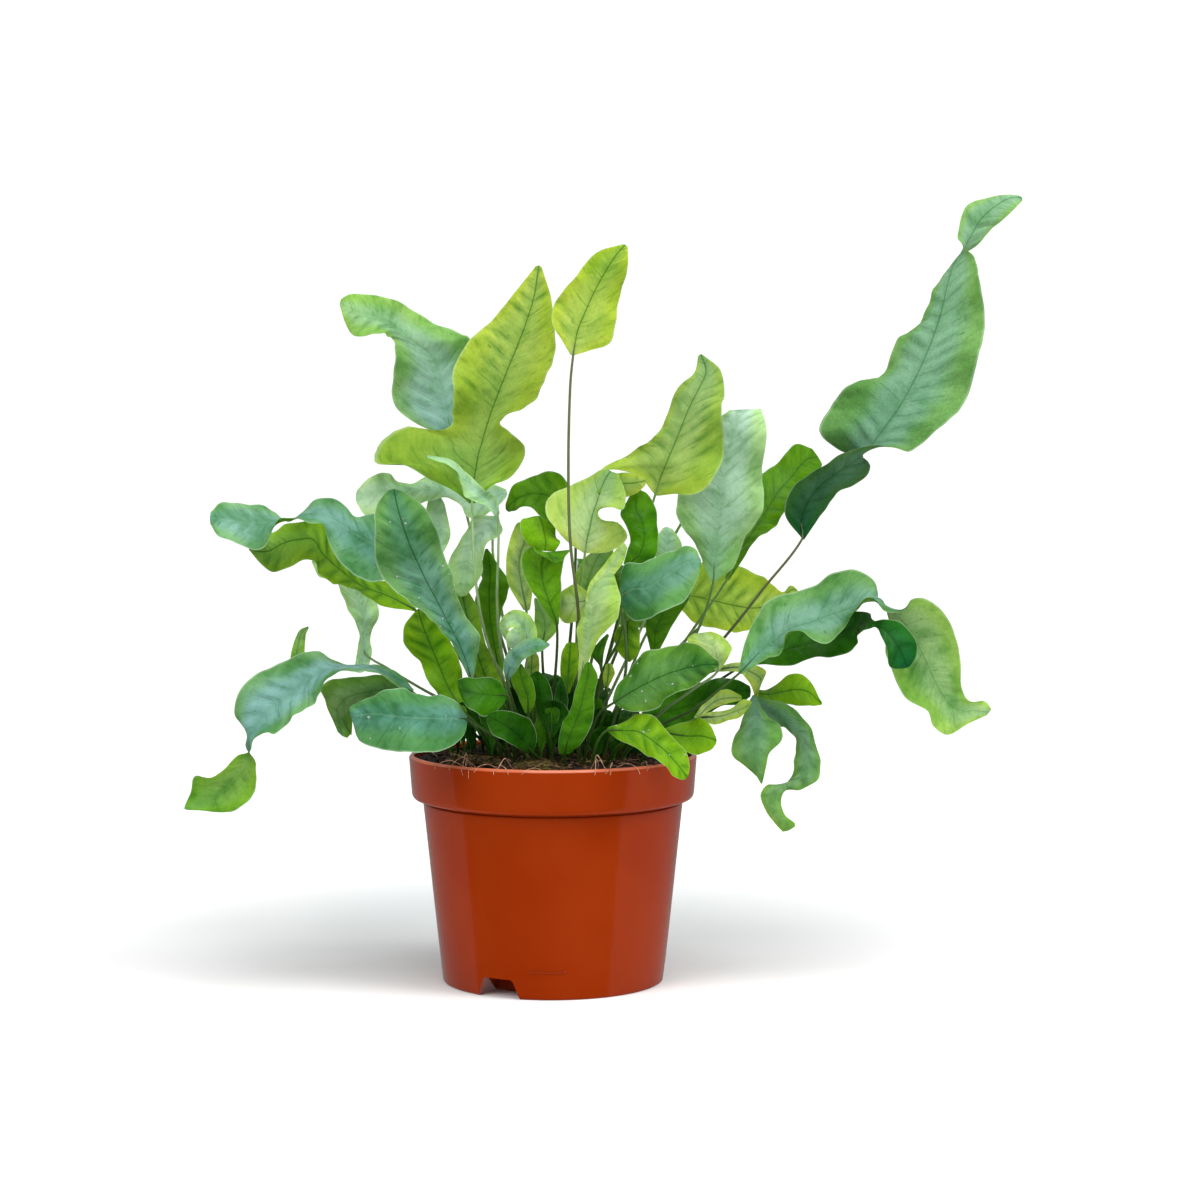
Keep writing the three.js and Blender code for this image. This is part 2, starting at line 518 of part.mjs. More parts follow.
    blades: [[
      [10.4, 123, 11.2, 122.7, 12.2, 123, -41, 0, 0],
      [10.4, 133, 12.8, 133.5, 15, 133.3, -42, 1, -1],
      [10.8, 142, 14.5, 143, 19, 143, -43, 2, -2],
      [11.2, 151, 15.8, 152, 27.3, 151, -44, 2, -3],
      [13, 159.5, 16.8, 160.5, 28.2, 159, -44, 2, -3],
      [17.5, 165, 20.5, 166.5, 26.8, 165.5, -43, 1, -1],
      [23.5, 170, 24.6, 170.3, 25.4, 169.3, -42, 0, 0],
    ], [
      [13.5, 158.5, 14.6, 157.8, 15.6, 157.2, -43.6, 0, 0],
      [15.3, 165.5, 17.5, 164.5, 20, 163.5, -38, 1, 0],
      [20, 172, 22.5, 170.5, 25.5, 169.5, -34, 1, 0],
      [25, 178.8, 27, 177, 29.3, 174.8, -31, 1, 0],
      [29, 182.8, 30, 182.3, 31, 180.5, -29, 0, 0],
    ]],
  },
  // The lime leaf behind it
  {
    name: 'frond_29', colour: 'lime', root: [7.5, -19], ripple: 0.2,
    stalk: [[14, 124, -25], [18, 145, -27]],
    blades: [[
      [17.8, 157.3, 18, 158.5, 18, 159.7, -27, 0, 0],
      [10, 150.5, 10, 158, 10, 165.6, -23, 0, 1],
      [5, 149.3, 5, 157, 5, 164.3, -20, 0, 1],
      [1.8, 154.5, 1.6, 157.5, 2, 161, -18, 0, 0],
    ]],
  },
  // The narrow waved frond at the very front
  {
    name: 'frond_30', colour: 'green', root: [5.5, -40.5], ripple: 0.7,
    stalk: [],
    blades: [[
      [2.6, 94.6, 4.8, 94.2, 7, 94.7, -43.5, 0, 0],
      [2.3, 99.5, 6, 99.5, 11.5, 99, -45, 0, 0],
      [4, 107, 9, 107, 15.8, 106, -47, 0, -1],
      [7, 113, 11.5, 114, 16.8, 113, -49, 0, -2],
      [9, 120.5, 13, 121, 17.5, 120.5, -50, -1, 0],
      [11.3, 127, 14.5, 127.5, 18.6, 127, -51, 0, 1],
      [13.3, 132.2, 14.8, 133, 16.5, 132, -52, 0, 0],
    ]],
  },
  // The green frond at the front right, with drops on it
  {
    name: 'frond_31', colour: 'green', root: [13, -36], ripple: 0.7,
    stalk: [[18.5, 110.5, -44]],
    blades: [[
      [24.8, 117, 25.2, 115.9, 26, 115, -48, 0, 0],
      [27, 125, 31, 119.5, 33, 112.3, -51, 5, -3],
      [35, 132.3, 38, 123.5, 41, 113.3, -55, 8, -5],
      [43, 138.2, 46, 127.3, 49, 118, -59, 10, -5],
      [51.5, 142, 54, 130, 57, 122, -63, 10, -4],
      [59, 140, 61, 131.5, 63.5, 127, -66, 7, -2],
      [66, 135.7, 66.5, 132, 67.3, 129.8, -68, 3, -1],
      [68.7, 133.2, 69, 132, 68.9, 130.8, -69, 0, 0],
    ]],
  },
  // The lime leaf that hangs over the rim at the front right
  {
    name: 'frond_32', colour: 'lime', root: [16.5, -41], ripple: 0.6,
    stalk: [[18.3, 99, -46]],
    blades: [[
      [22.7, 105.5, 22.7, 104.5, 23.2, 103.5, -51, 0, 0],
      [27.5, 107.5, 28.5, 104.3, 28.5, 99.8, -54, 3, -2],
      [34, 111.3, 35.5, 103.8, 35, 97.2, -58, 5, -4],
      [41.5, 109.5, 41.5, 100, 40.5, 94, -61, 6, -4],
      [48.5, 103, 47, 95.5, 45.5, 89.5, -64, 5, -4],
      [55, 97, 52, 90, 50, 85.2, -66, 4, -3],
      [57, 89.5, 55, 86, 53.5, 83.7, -67, 1, -1],
      [56.6, 85.6, 56, 84.6, 55, 83.6, -67, 0, 0],
    ]],
  },
  // The short lime leaf behind it
  {
    name: 'frond_33', colour: 'lime', root: [22.5, -33], ripple: 0.5,
    stalk: [[33, 102.5, -42]],
    blades: [[
      [45.5, 104.6, 45.5, 103.5, 46, 102.4, -46, 0, 0],
      [55, 108.7, 55.5, 102, 56, 95.3, -47, 4, -3],
      [61, 109.2, 61.5, 102, 61.5, 94.9, -48, 4, -3],
      [66, 105.8, 66, 101, 65.8, 96, -48, 2, -1],
      [68, 101.5, 68.3, 100, 67.9, 98.5, -48, 0, 0],
    ]],
  },
  // The long dark leaf in the shade on the right
  {
    name: 'frond_34', colour: 'dark', root: [31, -16], ripple: 0.6,
    stalk: [],
    blades: [[
      [33.5, 107.5, 33.7, 106.3, 34, 105.2, -19, 0, 0],
      [42, 117, 43, 111, 44, 104.5, -20, 2, -2],
      [52, 121, 53, 113.5, 54, 105.5, -20, 2, -2],
      [61, 124, 62, 117, 63, 109.5, -20, 2, -2],
      [69, 126.5, 70, 121, 71, 114.5, -20, 1, -2],
      [77, 125.5, 77.5, 121, 78, 115.5, -20, 1, -1],
      [82, 123, 82.5, 121, 82.3, 118.5, -20, 0, 0],
    ]],
  },
  // The pale round leaf behind the front right frond
  {
    name: 'frond_35', colour: 'pale', root: [28, -24], ripple: 0.4,
    stalk: [[43, 110, -33], [59, 122, -39]],
    blades: [[
      [67.5, 129.4, 68.7, 129.2, 70, 130, -40, 0, 0],
      [62, 134, 68, 136.5, 73.8, 136.5, -41, 0, 0],
      [58, 138.5, 66, 140.5, 74.9, 140, -40, 0, 1],
      [56, 142, 63, 143, 71.5, 144.2, -38, 0, 2],
      [58.5, 144.8, 61.5, 145.2, 65.5, 145.8, -36, 0, 0],
    ]],
  },
  // The broad yellow-lime frond behind the right side
  {
    name: 'frond_36', colour: 'lime', root: [19, 7], ripple: 0.8,
    stalk: [[28, 118, 16], [39, 145, 29]],
    blades: [[
      [49.5, 161, 50, 159.8, 50.2, 158.5, 37, 0, 0],
      [58, 172, 58, 160.5, 57, 151, 43, 6, -4],
      [67, 176, 67, 158.5, 66, 147.5, 49, 9, -6],
      [77, 174.3, 76, 156.5, 74.5, 145, 54, 9, -7],
      [86, 168.7, 84, 155.5, 83, 147.7, 58, 8, -6],
      [92, 164, 90.5, 157, 89.5, 150, 61, 4, -3],
      [96, 162.7, 96, 160.5, 95.5, 157, 63, 1, -1],
      [99, 165, 99.6, 163.3, 100, 161, 65, 0, 0],
      [101.2, 163.6, 101.8, 162.9, 101.8, 161.7, 66, 0, 0],
    ]],
  },
  // The big pale blue-green frond, upright on the right
  {
    name: 'frond_37', colour: 'blue', root: [19, -1], ripple: 1,
    stalk: [[36, 113, 3], [53, 133, 6], [61.5, 149, 7]],
    blades: [[
      [65.7, 166.5, 66.6, 166, 67.5, 166.5, 8, 0, 0],
      [61.5, 174.5, 67, 174.5, 75, 173, 9, 2, 2],
      [58, 184.5, 67.7, 184, 80.5, 184, 10, 3, 3],
      [51.5, 195, 68.7, 193.5, 85.5, 194, 11, 4, 3],
      [51.5, 205, 70, 204, 87.6, 205, 12, 5, 2],
      [56, 215, 71.3, 214.5, 87.2, 215.5, 14, 5, 0],
      [62, 224.5, 73, 224, 88.8, 228.5, 16, 4, -2],
      [69, 234, 75.5, 232.5, 87.5, 235, 18, 3, -3],
      [73, 237.7, 79, 238, 86.3, 238.2, 20, 0, 0],
    ]],
  },
  // The lime frond with a side lobe, right of the middle
  {
    name: 'frond_38', colour: 'lime', root: [12, -3.5], ripple: 0.9,
    stalk: [[18, 118, -2], [29, 155, 1], [37, 184, 3]],
    blades: [[
      [41.6, 203.6, 42.5, 202.6, 43.6, 202.2, 3, 0, 0],
      [36, 210, 44.3, 208.5, 51.5, 203, 2, -1, -4],
      [27, 213.2, 45.8, 212.5, 58.5, 202.5, 1, -1, -8],
      [20.3, 214, 47, 215.5, 65, 206, 0, 0, -9],
      [26, 218.6, 48.5, 219, 68.5, 213, 0, 3, -8],
      [36, 221.3, 50.2, 223, 70.2, 221, 0, 4, -7],
      [43, 227, 53.3, 230.5, 70.8, 231.5, 0, 3, -6],
      [47, 236, 56.5, 238.5, 70.5, 240, 1, 2, -5],
      [51.5, 246.3, 60.5, 246.5, 70.6, 247, 3, 1, -4],
      [58.5, 253, 63.5, 253.5, 69.5, 254.3, 6, 0, -2],
      [60.2, 260, 61.3, 260.8, 62.5, 260.3, 9, 0, 0],
    ]],
  },
  // The long frond at the top right: dark and rolled at its base, broad, then twisted to its pale tip
  {
    name: 'frond_39', colour: 'green', root: [25, -1], ripple: 1.1,
    stalk: [[46, 116, -2], [72, 144, -3], [87, 163, -2]],
    blades: [[
      [103, 185.2, 103.6, 184.3, 104.4, 184, 0, 0, 0],
      [97, 192.6, 103, 191, 108.5, 190, 0, -3, 2],
      [96.2, 197.5, 105.5, 199, 112.5, 196, -1, -4, 4],
      [100.5, 206.3, 111.5, 207, 118, 203, -2, -6, 6],
      [110.5, 214.5, 119, 212.5, 127, 207.5, -3, -8, 8],
      [122, 220.5, 126, 217.5, 131, 214.5, -4, -10, 11],
      [135, 221.3, 131, 221.3, 119.5, 220.5, -4, -10, 10],
      [146, 221.6, 135.5, 227.5, 111, 229.5, -3, -9, 8],
      [155, 226, 141, 235, 113.8, 237.5, -1, -7, 6],
      [164.5, 233, 146, 243, 118.5, 244, 2, -6, 4],
      [170.5, 241.5, 150, 250.5, 127, 248.3, 5, -6, 3],
      [175.3, 255.5, 153.7, 258.3, 136.5, 254, 8, -6, 2],
      [178, 266.5, 157.5, 268, 141.7, 264, 11, -5, 2],
      [178.3, 279, 160.7, 278, 149, 271.5, 14, -5, 2],
      [176.5, 292, 163, 288, 156, 283.5, 17, -5, 3],
      [174, 300, 165.5, 296.5, 161.8, 292.3, 20, -5, 4],
      [171, 303.3, 168.6, 302, 166.2, 300.5, 22, -5, 5],
      [168.2, 310, 172, 308.5, 177.5, 308.2, 24, -3, 4],
      [169.5, 320, 176.5, 316, 183.5, 313.8, 27, 0, 2],
      [176, 324.2, 182.5, 321.5, 188, 318.2, 30, 1, 1],
      [185, 326.4, 188.5, 324.8, 191.3, 321.3, 33, 0, 0],
      [192, 326, 193.5, 325.2, 193.6, 323.7, 35, 0, 0],
    ]],
  },
  // The blue frond that arches to the right and turns its green side out as it comes down
  {
    name: 'frond_40', colour: 'blue', root: [26, -19.5], ripple: 1,
    stalk: [[38, 103, -24], [59, 113.5, -32], [70, 122, -35]],
    blades: [[
      [77.3, 129.3, 77.8, 128.5, 78.4, 127.9, -35, 0, 0],
      [80.3, 143, 86, 137, 90, 134.6, -33, 4, -3],
      [85, 152.5, 92.5, 142, 93, 136.5, -31, 7, -6],
      [91, 159, 99, 147, 97.5, 144.6, -30, 8, -8],
      [100, 163, 107, 149.5, 105.5, 143.2, -30, 9, -8],
      [109.5, 165.5, 113.5, 152, 112.5, 141.6, -30, 9, -8],
      [117, 169.8, 119.5, 154, 118.5, 144.8, -30, 9, -7],
      [124.5, 171, 125, 156, 123.5, 150.8, -31, 9, -7],
      [132, 168.5, 130, 158.5, 128.3, 155.7, -32, 9, -7],
      [137.3, 163.5, 134.5, 159.3, 133.5, 157.6, -33, 9, -8],
      [137.5, 157.5, 138.2, 157, 139, 156.4, -33, 9, -9],
      [138, 149.5, 143, 153, 146, 156.6, -32, 9, -8],
      [138.5, 141, 148, 147.5, 153, 159, -30, 7, -6],
      [140, 133.5, 152, 140.5, 161, 155.5, -28, 4, -4],
      [143, 125, 155.8, 132.5, 167, 145, -26, 0, -1],
      [148, 117, 159.3, 125, 170, 134, -24, -3, 0],
      [155.5, 112.5, 163, 118.5, 170.3, 123, -22, -4, 0],
      [158.5, 106, 167, 114, 173, 117.3, -21, -5, 1],
      [165, 102.5, 171.5, 112.5, 178, 117, -20, -4, 2],
      [173, 107, 176.5, 112.8, 181, 116, -19, -2, 1],
      [181, 110.8, 182, 112, 182.8, 113.3, -18, 0, 0],
    ]],
  },
  // The dark frond below it, with its lobe in front of the turned tip
  {
    name: 'frond_41', colour: 'dark', root: [21, -6.5], ripple: 0.4,
    stalk: [[42, 108, -4], [64, 122, -7]],
    blades: [[
      [79.5, 132.9, 80, 132, 80.6, 131.3, -9, 0, 0],
      [88, 139, 88, 135, 88, 131.8, -10, 2, -2],
      [97, 144, 97, 138, 98, 131.8, -12, 4, -3],
      [106, 147, 106, 140.5, 107, 134, -12, 5, -4],
      [115, 149, 115, 142.5, 116.5, 134.8, -14, 5, -5],
      [122, 153, 122.5, 146.5, 124.5, 139.8, -19, 4, -5],
      [129, 154, 129.5, 149.8, 130, 145.2, -29, 2, -4],
      [133.6, 150.3, 134, 148.9, 133.8, 147.6, -40, 0, 0],
      [138.5, 150.8, 138.5, 146, 137, 143, -46, 1, -2],
      [145.5, 149.3, 142.5, 141, 138.3, 137, -49, 2, -3],
      [151.3, 142.5, 145.3, 136.3, 140, 131.5, -50, 2, -3],
      [151.5, 136, 147, 132.5, 142.5, 130, -50, 1, -1],
      [149.5, 132.2, 148.3, 131, 146.5, 130.3, -49, 0, 0],
    ]],
  },
  // The lobed frond that hangs at the lower right
  {
    name: 'frond_42', colour: 'blue', root: [26, -8], ripple: 0.6,
    stalk: [[45, 115, -12], [58, 125, -14.5]],
    blades: [[
      [68.7, 131, 68.9, 130, 69, 129, -15, 0, 0],
      [77, 133, 77, 130.8, 77, 128.6, -14, 1, -1],
      [85, 131.5, 83, 128.5, 81, 125.6, -13, 0, -2],
      [89, 128.8, 86.5, 126, 83, 122.5, -13, 0, -1],
      [87, 124, 85.5, 121.5, 83.8, 119.5, -12, 0, 0],
      [85.5, 119, 84.5, 118, 83.7, 117.2, -13, 0, 0],
    ], [
      [84, 121.5, 84.3, 120, 84.5, 118.3, -12, 0, 0],
      [89, 122, 89.5, 119.5, 90, 116.8, -8, 3, -2],
      [95, 124.7, 95.5, 120.5, 96, 116.6, -4, 4, -3],
      [101, 127.6, 101.5, 121.5, 101.5, 114.5, -1, 4, -3],
      [107, 126.6, 106.5, 120.5, 107, 114.4, 2, 3, -2],
      [110.5, 119, 110.3, 117, 110.5, 114.9, 4, 0, -1],
      [112, 116.5, 112.2, 115.7, 111.8, 115, 4, 0, 0],
    ], [
      [84.8, 118.8, 83.8, 119.3, 83, 118.8, -12, 0, 0],
      [88, 113, 84.5, 112, 80, 112.3, -20, 1, 2],
      [92.5, 107, 84.5, 105.5, 76.8, 106, -25, 3, 3],
      [95.3, 101.5, 84.3, 99.5, 75.4, 99, -28, 4, 3],
      [92, 95, 84.7, 94, 76.7, 93, -29, 3, 3],
      [89.3, 89.5, 85.5, 88.5, 80.5, 88.8, -29, 2, 2],
      [88, 84.5, 86.8, 84.3, 85, 85, -28, 0, 0],
      [87.4, 82.3, 87, 81.9, 86.6, 82.3, -28, 0, 0],
    ], [
      [84.8, 119, 84.5, 118, 84.7, 117, -12, 0, 0],
      [91, 116.8, 90, 113, 89, 110, -13, -3, 3],
      [98, 114.7, 95, 110, 92.5, 106, -15, -4, 4],
      [104, 110.3, 99.5, 106.3, 96.5, 104.5, -18, -4, 5],
      [108.5, 104.5, 104, 102, 100.8, 100.8, -20, -3, 5],
      [110.2, 97, 106, 96, 101.9, 95, -22, -2, 5],
      [112.2, 90, 106.5, 89.5, 101.3, 89.5, -23, 0, 4],
      [111, 83.5, 104.5, 85, 98.5, 85, -23, 2, 2],
      [103.5, 81.2, 99, 82.5, 93.5, 81.8, -23, 3, 1],
      [97, 79, 93, 79, 88.5, 80.5, -24, 3, 0],
      [95.6, 74.5, 91.5, 75, 86.6, 77, -25, 2, 0],
      [96.8, 69.5, 93.5, 69.5, 89.3, 70, -26, 1, 1],
      [101, 65.5, 97.5, 64.5, 93.3, 64.5, -27, 0, 1],
      [101.2, 64, 98.5, 62.3, 96, 61.8, -27, 0, 0],
    ]],
  },
  // Two small leaves under the front right frond, on one stalk
  {
    name: 'frond_43', colour: 'green', root: [36, -27], ripple: 0.3,
    stalk: [[47, 101, -31]],
    blades: [[
      [60.5, 110.3, 61, 109.6, 61.5, 108.9, -32, 0, 0],
      [67, 112.8, 68, 110, 67.5, 106.7, -34, 2, -1],
      [74, 113.5, 74, 111.5, 73, 108.8, -35, 2, -1],
      [80, 117, 80, 114, 78.5, 110.3, -36, 2, -1],
      [83, 116.5, 82.7, 115.5, 82, 114.3, -37, 0, 0],
    ], [
      [58.8, 109.9, 59.6, 109, 60.4, 108.4, -31.6, 0, 0],
      [62.5, 115.5, 63.8, 113.5, 64.8, 112.3, -29, 1, 0],
      [67, 119.6, 68.5, 117, 69.5, 114.6, -27, 1, 0],
      [73, 121.5, 74, 118, 75, 116.3, -26, 1, 0],
      [78.5, 119, 78.8, 118, 78.5, 117, -25, 0, 0],
    ]],
  },
  // The frond behind the big blue-green one: dark below, lime above
  {
    name: 'frond_44', colour: 'lime', root: [25, 7.5], ripple: 0.6,
    stalk: [[43, 124, 15], [62, 152, 22]],
    blades: [[
      [71.5, 168, 72.3, 167.2, 73.3, 167, 28, 0, 0],
      [76, 185, 79, 181, 82, 180, 35, 4, -2],
      [83, 199, 87, 193, 92, 190.8, 42, 6, -3],
      [87, 212, 93, 203, 98, 197, 48, 6, -4],
      [95, 217.8, 99.5, 210.5, 104, 204, 54, 5, -3],
      [101.5, 223.5, 105, 217, 109.5, 211, 59, 3, -2],
      [107.5, 221.8, 110, 218.5, 111.8, 215.3, 62, 0, 0],
    ]],
  },
  // The dark lime leaf that hangs under the big round one
  {
    name: 'frond_45', colour: 'green', root: [16, -17], ripple: 0.2,
    stalk: [[20, 127, -22], [27, 141, -28], [29.8, 149.3, -28.5]],
    blades: [[
      [33, 150.7, 31.3, 151.2, 29.9, 150.7, -26.5, 0, 0],
      [36, 145.5, 31, 146, 26, 146, -22.5, 0.5, 0.5],
      [36.3, 139.5, 31.2, 139, 25.5, 140, -20, 1, 1],
      [34.3, 135, 31.5, 135, 28.5, 135.3, -19, 0, 0],
      [32.5, 133.3, 31.8, 133, 31, 133.3, -19, 0, 0],
    ]],
  },
  // Two small leaves on one stalk, right of the folded pale leaf
  {
    name: 'frond_46', colour: 'green', root: [15.5, -24.5], ripple: 0,
    stalk: [[22.5, 117, -30]],
    blades: [[
      [19.3, 131.5, 19.9, 130.8, 20.6, 130.6, -33, 0, 0],
      [16, 136.5, 18.8, 136.5, 21.2, 136.5, -35, 0, 0],
      [19, 141.5, 20.5, 141.5, 22.3, 141, -36, 0, 0],
      [22.2, 144.5, 22.8, 144.8, 23.4, 144, -36, 0, 0],
    ], [
      [21.4, 122, 22.2, 121.3, 23, 122, -31, 0, 0],
      [20.8, 127.5, 23, 127.5, 25.8, 128, -34, 0, 0],
      [22, 132, 23.3, 132.6, 24.8, 132, -36, 0, 0],
    ]],
  },
  // The blue frond behind the tall lobed one, with its tip folded over to the left
  {
    name: 'frond_47', colour: 'blue', root: [-8, 11], ripple: 0.9,
    stalk: [[-16, 125, 23], [-28, 165, 40], [-37, 200, 50]],
    blades: [[
      [-43, 226.7, -41.5, 226, -40, 226.7, 54, 0, 0],
      [-57, 232.3, -43.5, 235, -36, 236, 55, -3, 3],
      [-65.5, 240, -45.5, 243.5, -34, 247, 56, -6, 4],
      [-66, 252, -48, 253, -33, 257, 56, -8, 4],
      [-65.6, 263, -51.5, 261, -33, 265, 55, -8, 3],
      [-66, 268, -58, 266, -37, 268.5, 52, -5, 7],
      [-69.5, 268.8, -65, 271.5, -50, 275, 49, -5, 10],
      [-75, 268.5, -72, 275.5, -63, 281.8, 46, -5, 9],
      [-81.5, 268.4, -79.5, 277.5, -74, 284.7, 43, -4, 7],
      [-85.5, 273.5, -85, 279.5, -83, 285.7, 41, -2, 3],
      [-87.7, 280, -87.9, 281.7, -87.3, 283.5, 40, 0, 0],
    ]],
  },
  // Small leaves in the heart of the crown
  {
    name: 'frond_48', colour: 'lime', root: [3.5, -25.5], ripple: 0.2,
    stalk: [[4, 106, -25]],
    blades: [[
      [4.2, 120, 5.5, 119.5, 7, 120, -24, 0, 0],
      [3, 129, 6.5, 129, 10, 129.5, -23, 0, 1],
      [3.5, 136.5, 7, 137, 10.6, 136.5, -22, 0, 1],
      [5.5, 140.8, 7.5, 141.3, 9.8, 141, -21, 0, 0],
    ]],
  },
  {
    name: 'frond_49', colour: 'dark', root: [0, -32.5], ripple: 0.2,
    stalk: [],
    blades: [[
      [-2.4, 102.5, -1.4, 102, -0.4, 102.5, -35, 0, 0],
      [-7, 112, -4, 111, -0.5, 111, -35, 1, 0],
      [-9, 121, -5.5, 120.5, 0, 119, -34, 2, 0],
      [-9.3, 127.5, -6.5, 126.5, -2, 125, -33, 1, 0],
      [-7.5, 129, -6.3, 129.2, -5, 128.5, -33, 0, 0],
    ], [
      [-1.6, 102, -0.5, 101.4, 0.7, 102.3, -35, 0, 0],
      [0.2, 111, 2.5, 111, 5, 110.5, -33, 0, 0],
      [0.6, 118, 3.3, 118, 6.3, 117, -31, 0, 0],
      [2, 124, 3.4, 123.7, 5.2, 122, -30, 0, 0],
      [2.7, 126.2, 3.4, 126.4, 4.2, 125.6, -29, 0, 0],
    ]],
  },
  {
    name: 'frond_50', colour: 'lime', root: [-6, -24.5], ripple: 0.2,
    stalk: [[-8, 108, -25]],
    blades: [[
      [-10, 121.5, -8.8, 121, -7.5, 121.5, -23, 0, 0],
      [-12, 128, -9, 128.5, -5.8, 128.5, -22, 0, 0],
      [-11.3, 134, -8.8, 134.5, -5.8, 134.3, -22, 0, 0],
      [-9.5, 137.2, -8.3, 137.6, -7, 137, -23, 0, 0],
    ]],
  },
  {
    name: 'frond_51', colour: 'dark', root: [9, -7.5], ripple: 0.3,
    stalk: [[9.5, 125, -7]],
    blades: [[
      [9.5, 149, 10.8, 148.5, 12.2, 149, -6, 0, 0],
      [8, 162, 13, 161, 19, 162.5, -4, 0, 0],
      [10, 171, 16, 171, 23, 171.5, -3, 0, 0],
      [14, 177, 19, 177.3, 25, 177, -3, 0, 0],
      [20, 181, 22.5, 181.7, 25, 181, -3, 0, 0],
    ]],
  },
  {
    name: 'frond_52', colour: 'dark', root: [19.5, -12], ripple: 0.4,
    stalk: [[29, 115, -11]],
    blades: [[
      [41, 136, 42, 135.5, 43.2, 136, -8, 0, 0],
      [38.5, 148.5, 43, 147, 49, 146.5, -12, 0, 0],
      [41, 156, 47, 155, 53.5, 154.5, -15, 0, 0],
      [46.5, 161.5, 51.5, 161.3, 57.3, 161, -18, 0, 0],
      [53, 166.5, 55, 166.8, 57, 166.3, -20, 0, 0],
    ]],
  },
  // Fronds at the back of the plant, where the photographed side hides them
  {
    name: 'frond_53', colour: 'blue', root: [-15, 12], ripple: 1.2,
    stalk: [[-27, 122, 30], [-40, 143, 52]],
    blades: [[
      [-46, 149.5, -47, 150.5, -48, 151.2, 62, 0, 0],
      [-43, 144, -48.5, 151, -54, 155.5, 72, -3, 3],
      [-42, 139, -49.5, 148, -57.5, 153.5, 84, -5, 3],
      [-42.5, 133, -50, 143, -58, 148, 96, -5, 2],
      [-44.5, 128, -50.5, 136.5, -55.5, 140.5, 106, -4, 0],
      [-47, 125, -50.8, 129.5, -53, 132.5, 113, -2, -1],
      [-49.2, 123.8, -50.4, 125, -51.4, 126.3, 117, 0, 0],
    ]],
  },
  {
    name: 'frond_54', colour: 'green', root: [3, 15], ripple: 1.2,
    stalk: [[10, 130, 34], [15, 157, 56]],
    blades: [[
      [17.5, 167.8, 18.5, 168, 19.5, 167.6, 66, 0, 0],
      [11, 174, 22, 174, 34, 171, 76, 6, -2],
      [10, 174, 25, 173.5, 42, 168, 88, 7, -3],
      [11, 168.5, 27, 166.5, 45, 160.5, 100, 5, -3],
      [14, 159, 29, 156, 44, 150.5, 110, 3, -2],
      [21, 153, 30.5, 150.5, 39, 148.5, 117, 1, -1],
      [28, 148.5, 30.7, 147.3, 33, 147, 121, 0, 0],
    ]],
  },
  {
    name: 'frond_55', colour: 'blue', root: [22, 16], ripple: 1.2,
    stalk: [[36, 121, 38], [53, 140, 62]],
    blades: [[
      [61, 149.7, 62, 148.8, 62.8, 148, 72, 0, 0],
      [64.5, 163, 67.5, 157, 69, 150.5, 82, 3, -2],
      [73, 169.5, 76, 160, 77, 151.5, 94, 4, -3],
      [82.5, 168, 84, 158.5, 84, 150, 106, 4, -3],
      [90, 161.5, 90.5, 154.5, 90, 149, 116, 3, -2],
      [95, 155, 95.5, 151.5, 95, 149, 123, 1, -1],
      [98, 151, 98.3, 150, 98, 149, 127, 0, 0],
    ]],
  },
  {
    name: 'frond_56', colour: 'green', root: [12, 21], ripple: 1,
    stalk: [[32, 150, 38], [54, 192, 56]],
    blades: [[
      [62.5, 206.8, 63.6, 206.5, 64.6, 206, 63, 0, 0],
      [57, 216, 67, 213, 78, 209, 68, 5, -3],
      [57.5, 226, 70.5, 221.5, 83.5, 217, 76, 6, -4],
      [60, 234, 73.5, 228, 85.8, 223.5, 86, 5, -5],
      [65.5, 236.5, 75.5, 231.5, 84, 227.5, 98, 3, -4],
      [71, 234.5, 76.5, 231.5, 80.5, 229, 108, 1, -2],
      [75, 230.5, 76.7, 229.6, 78.5, 228.8, 115, 0, 0],
    ]],
  },
];

// Rhizomes, each given by the points of its middle line: x, y and height
const RHIZOMES = {
  rhizome_left: {
    radius: 3.2,
    route: [[-41, -24, 94.5], [-35, -31, 95], [-27, -36, 95.5], [-20.5, -38.5, 95]],
  },
  rhizome_front: {
    radius: 2.8,
    route: [[-15, -46, 93.5], [-8, -47, 95], [-1, -47.5, 95], [5, -49, 93.5]],
  },
};
const RHIZOME_SIDES = 7;
const RHIZOME_STEP = 5;
const RHIZOME_TAPER = 1.2;

// A place given as the eye sees it
function seen(x, z, depth) {
  const spread = (depth - EYE.y) / -EYE.y;
  return new THREE.Vector3(EYE.x + (x - EYE.x) * spread, depth, EYE.z + (z - EYE.z) * spread);
}

// The direction of a smooth line at one of its points
function heading(points, i) {
  const before = points[Math.max(i - 1, 0)];
  const after = points[Math.min(i + 1, points.length - 1)];
  const length = before.distanceTo(points[i]) + points[i].distanceTo(after);
  return after.clone().sub(before).divideScalar(length);
}

// A point on the smooth line through the given points: `place` counts the points passed
function onLine(points, place) {
  const i = THREE.MathUtils.clamp(Math.floor(place), 0, points.length - 2);
  const t = place - i;
  const span = points[i].distanceTo(points[i + 1]);
  const out = points[i].clone().multiplyScalar(2 * t ** 3 - 3 * t ** 2 + 1);
  out.addScaledVector(points[i + 1], 3 * t ** 2 - 2 * t ** 3);
  out.addScaledVector(heading(points, i), span * (t ** 3 - 2 * t ** 2 + t));
  return out.addScaledVector(heading(points, i + 1), span * (t ** 3 - t ** 2));
}

// A solid from points and the triangles between them
function solidOf(points, triangles) {
  const vertProperties = new Float32Array(points.flatMap((p) => p.toArray()));
  const triVerts = new Uint32Array(triangles.flat());
  return new wasm.Manifold(new wasm.Mesh({ numProp: 3, vertProperties, triVerts }));
}

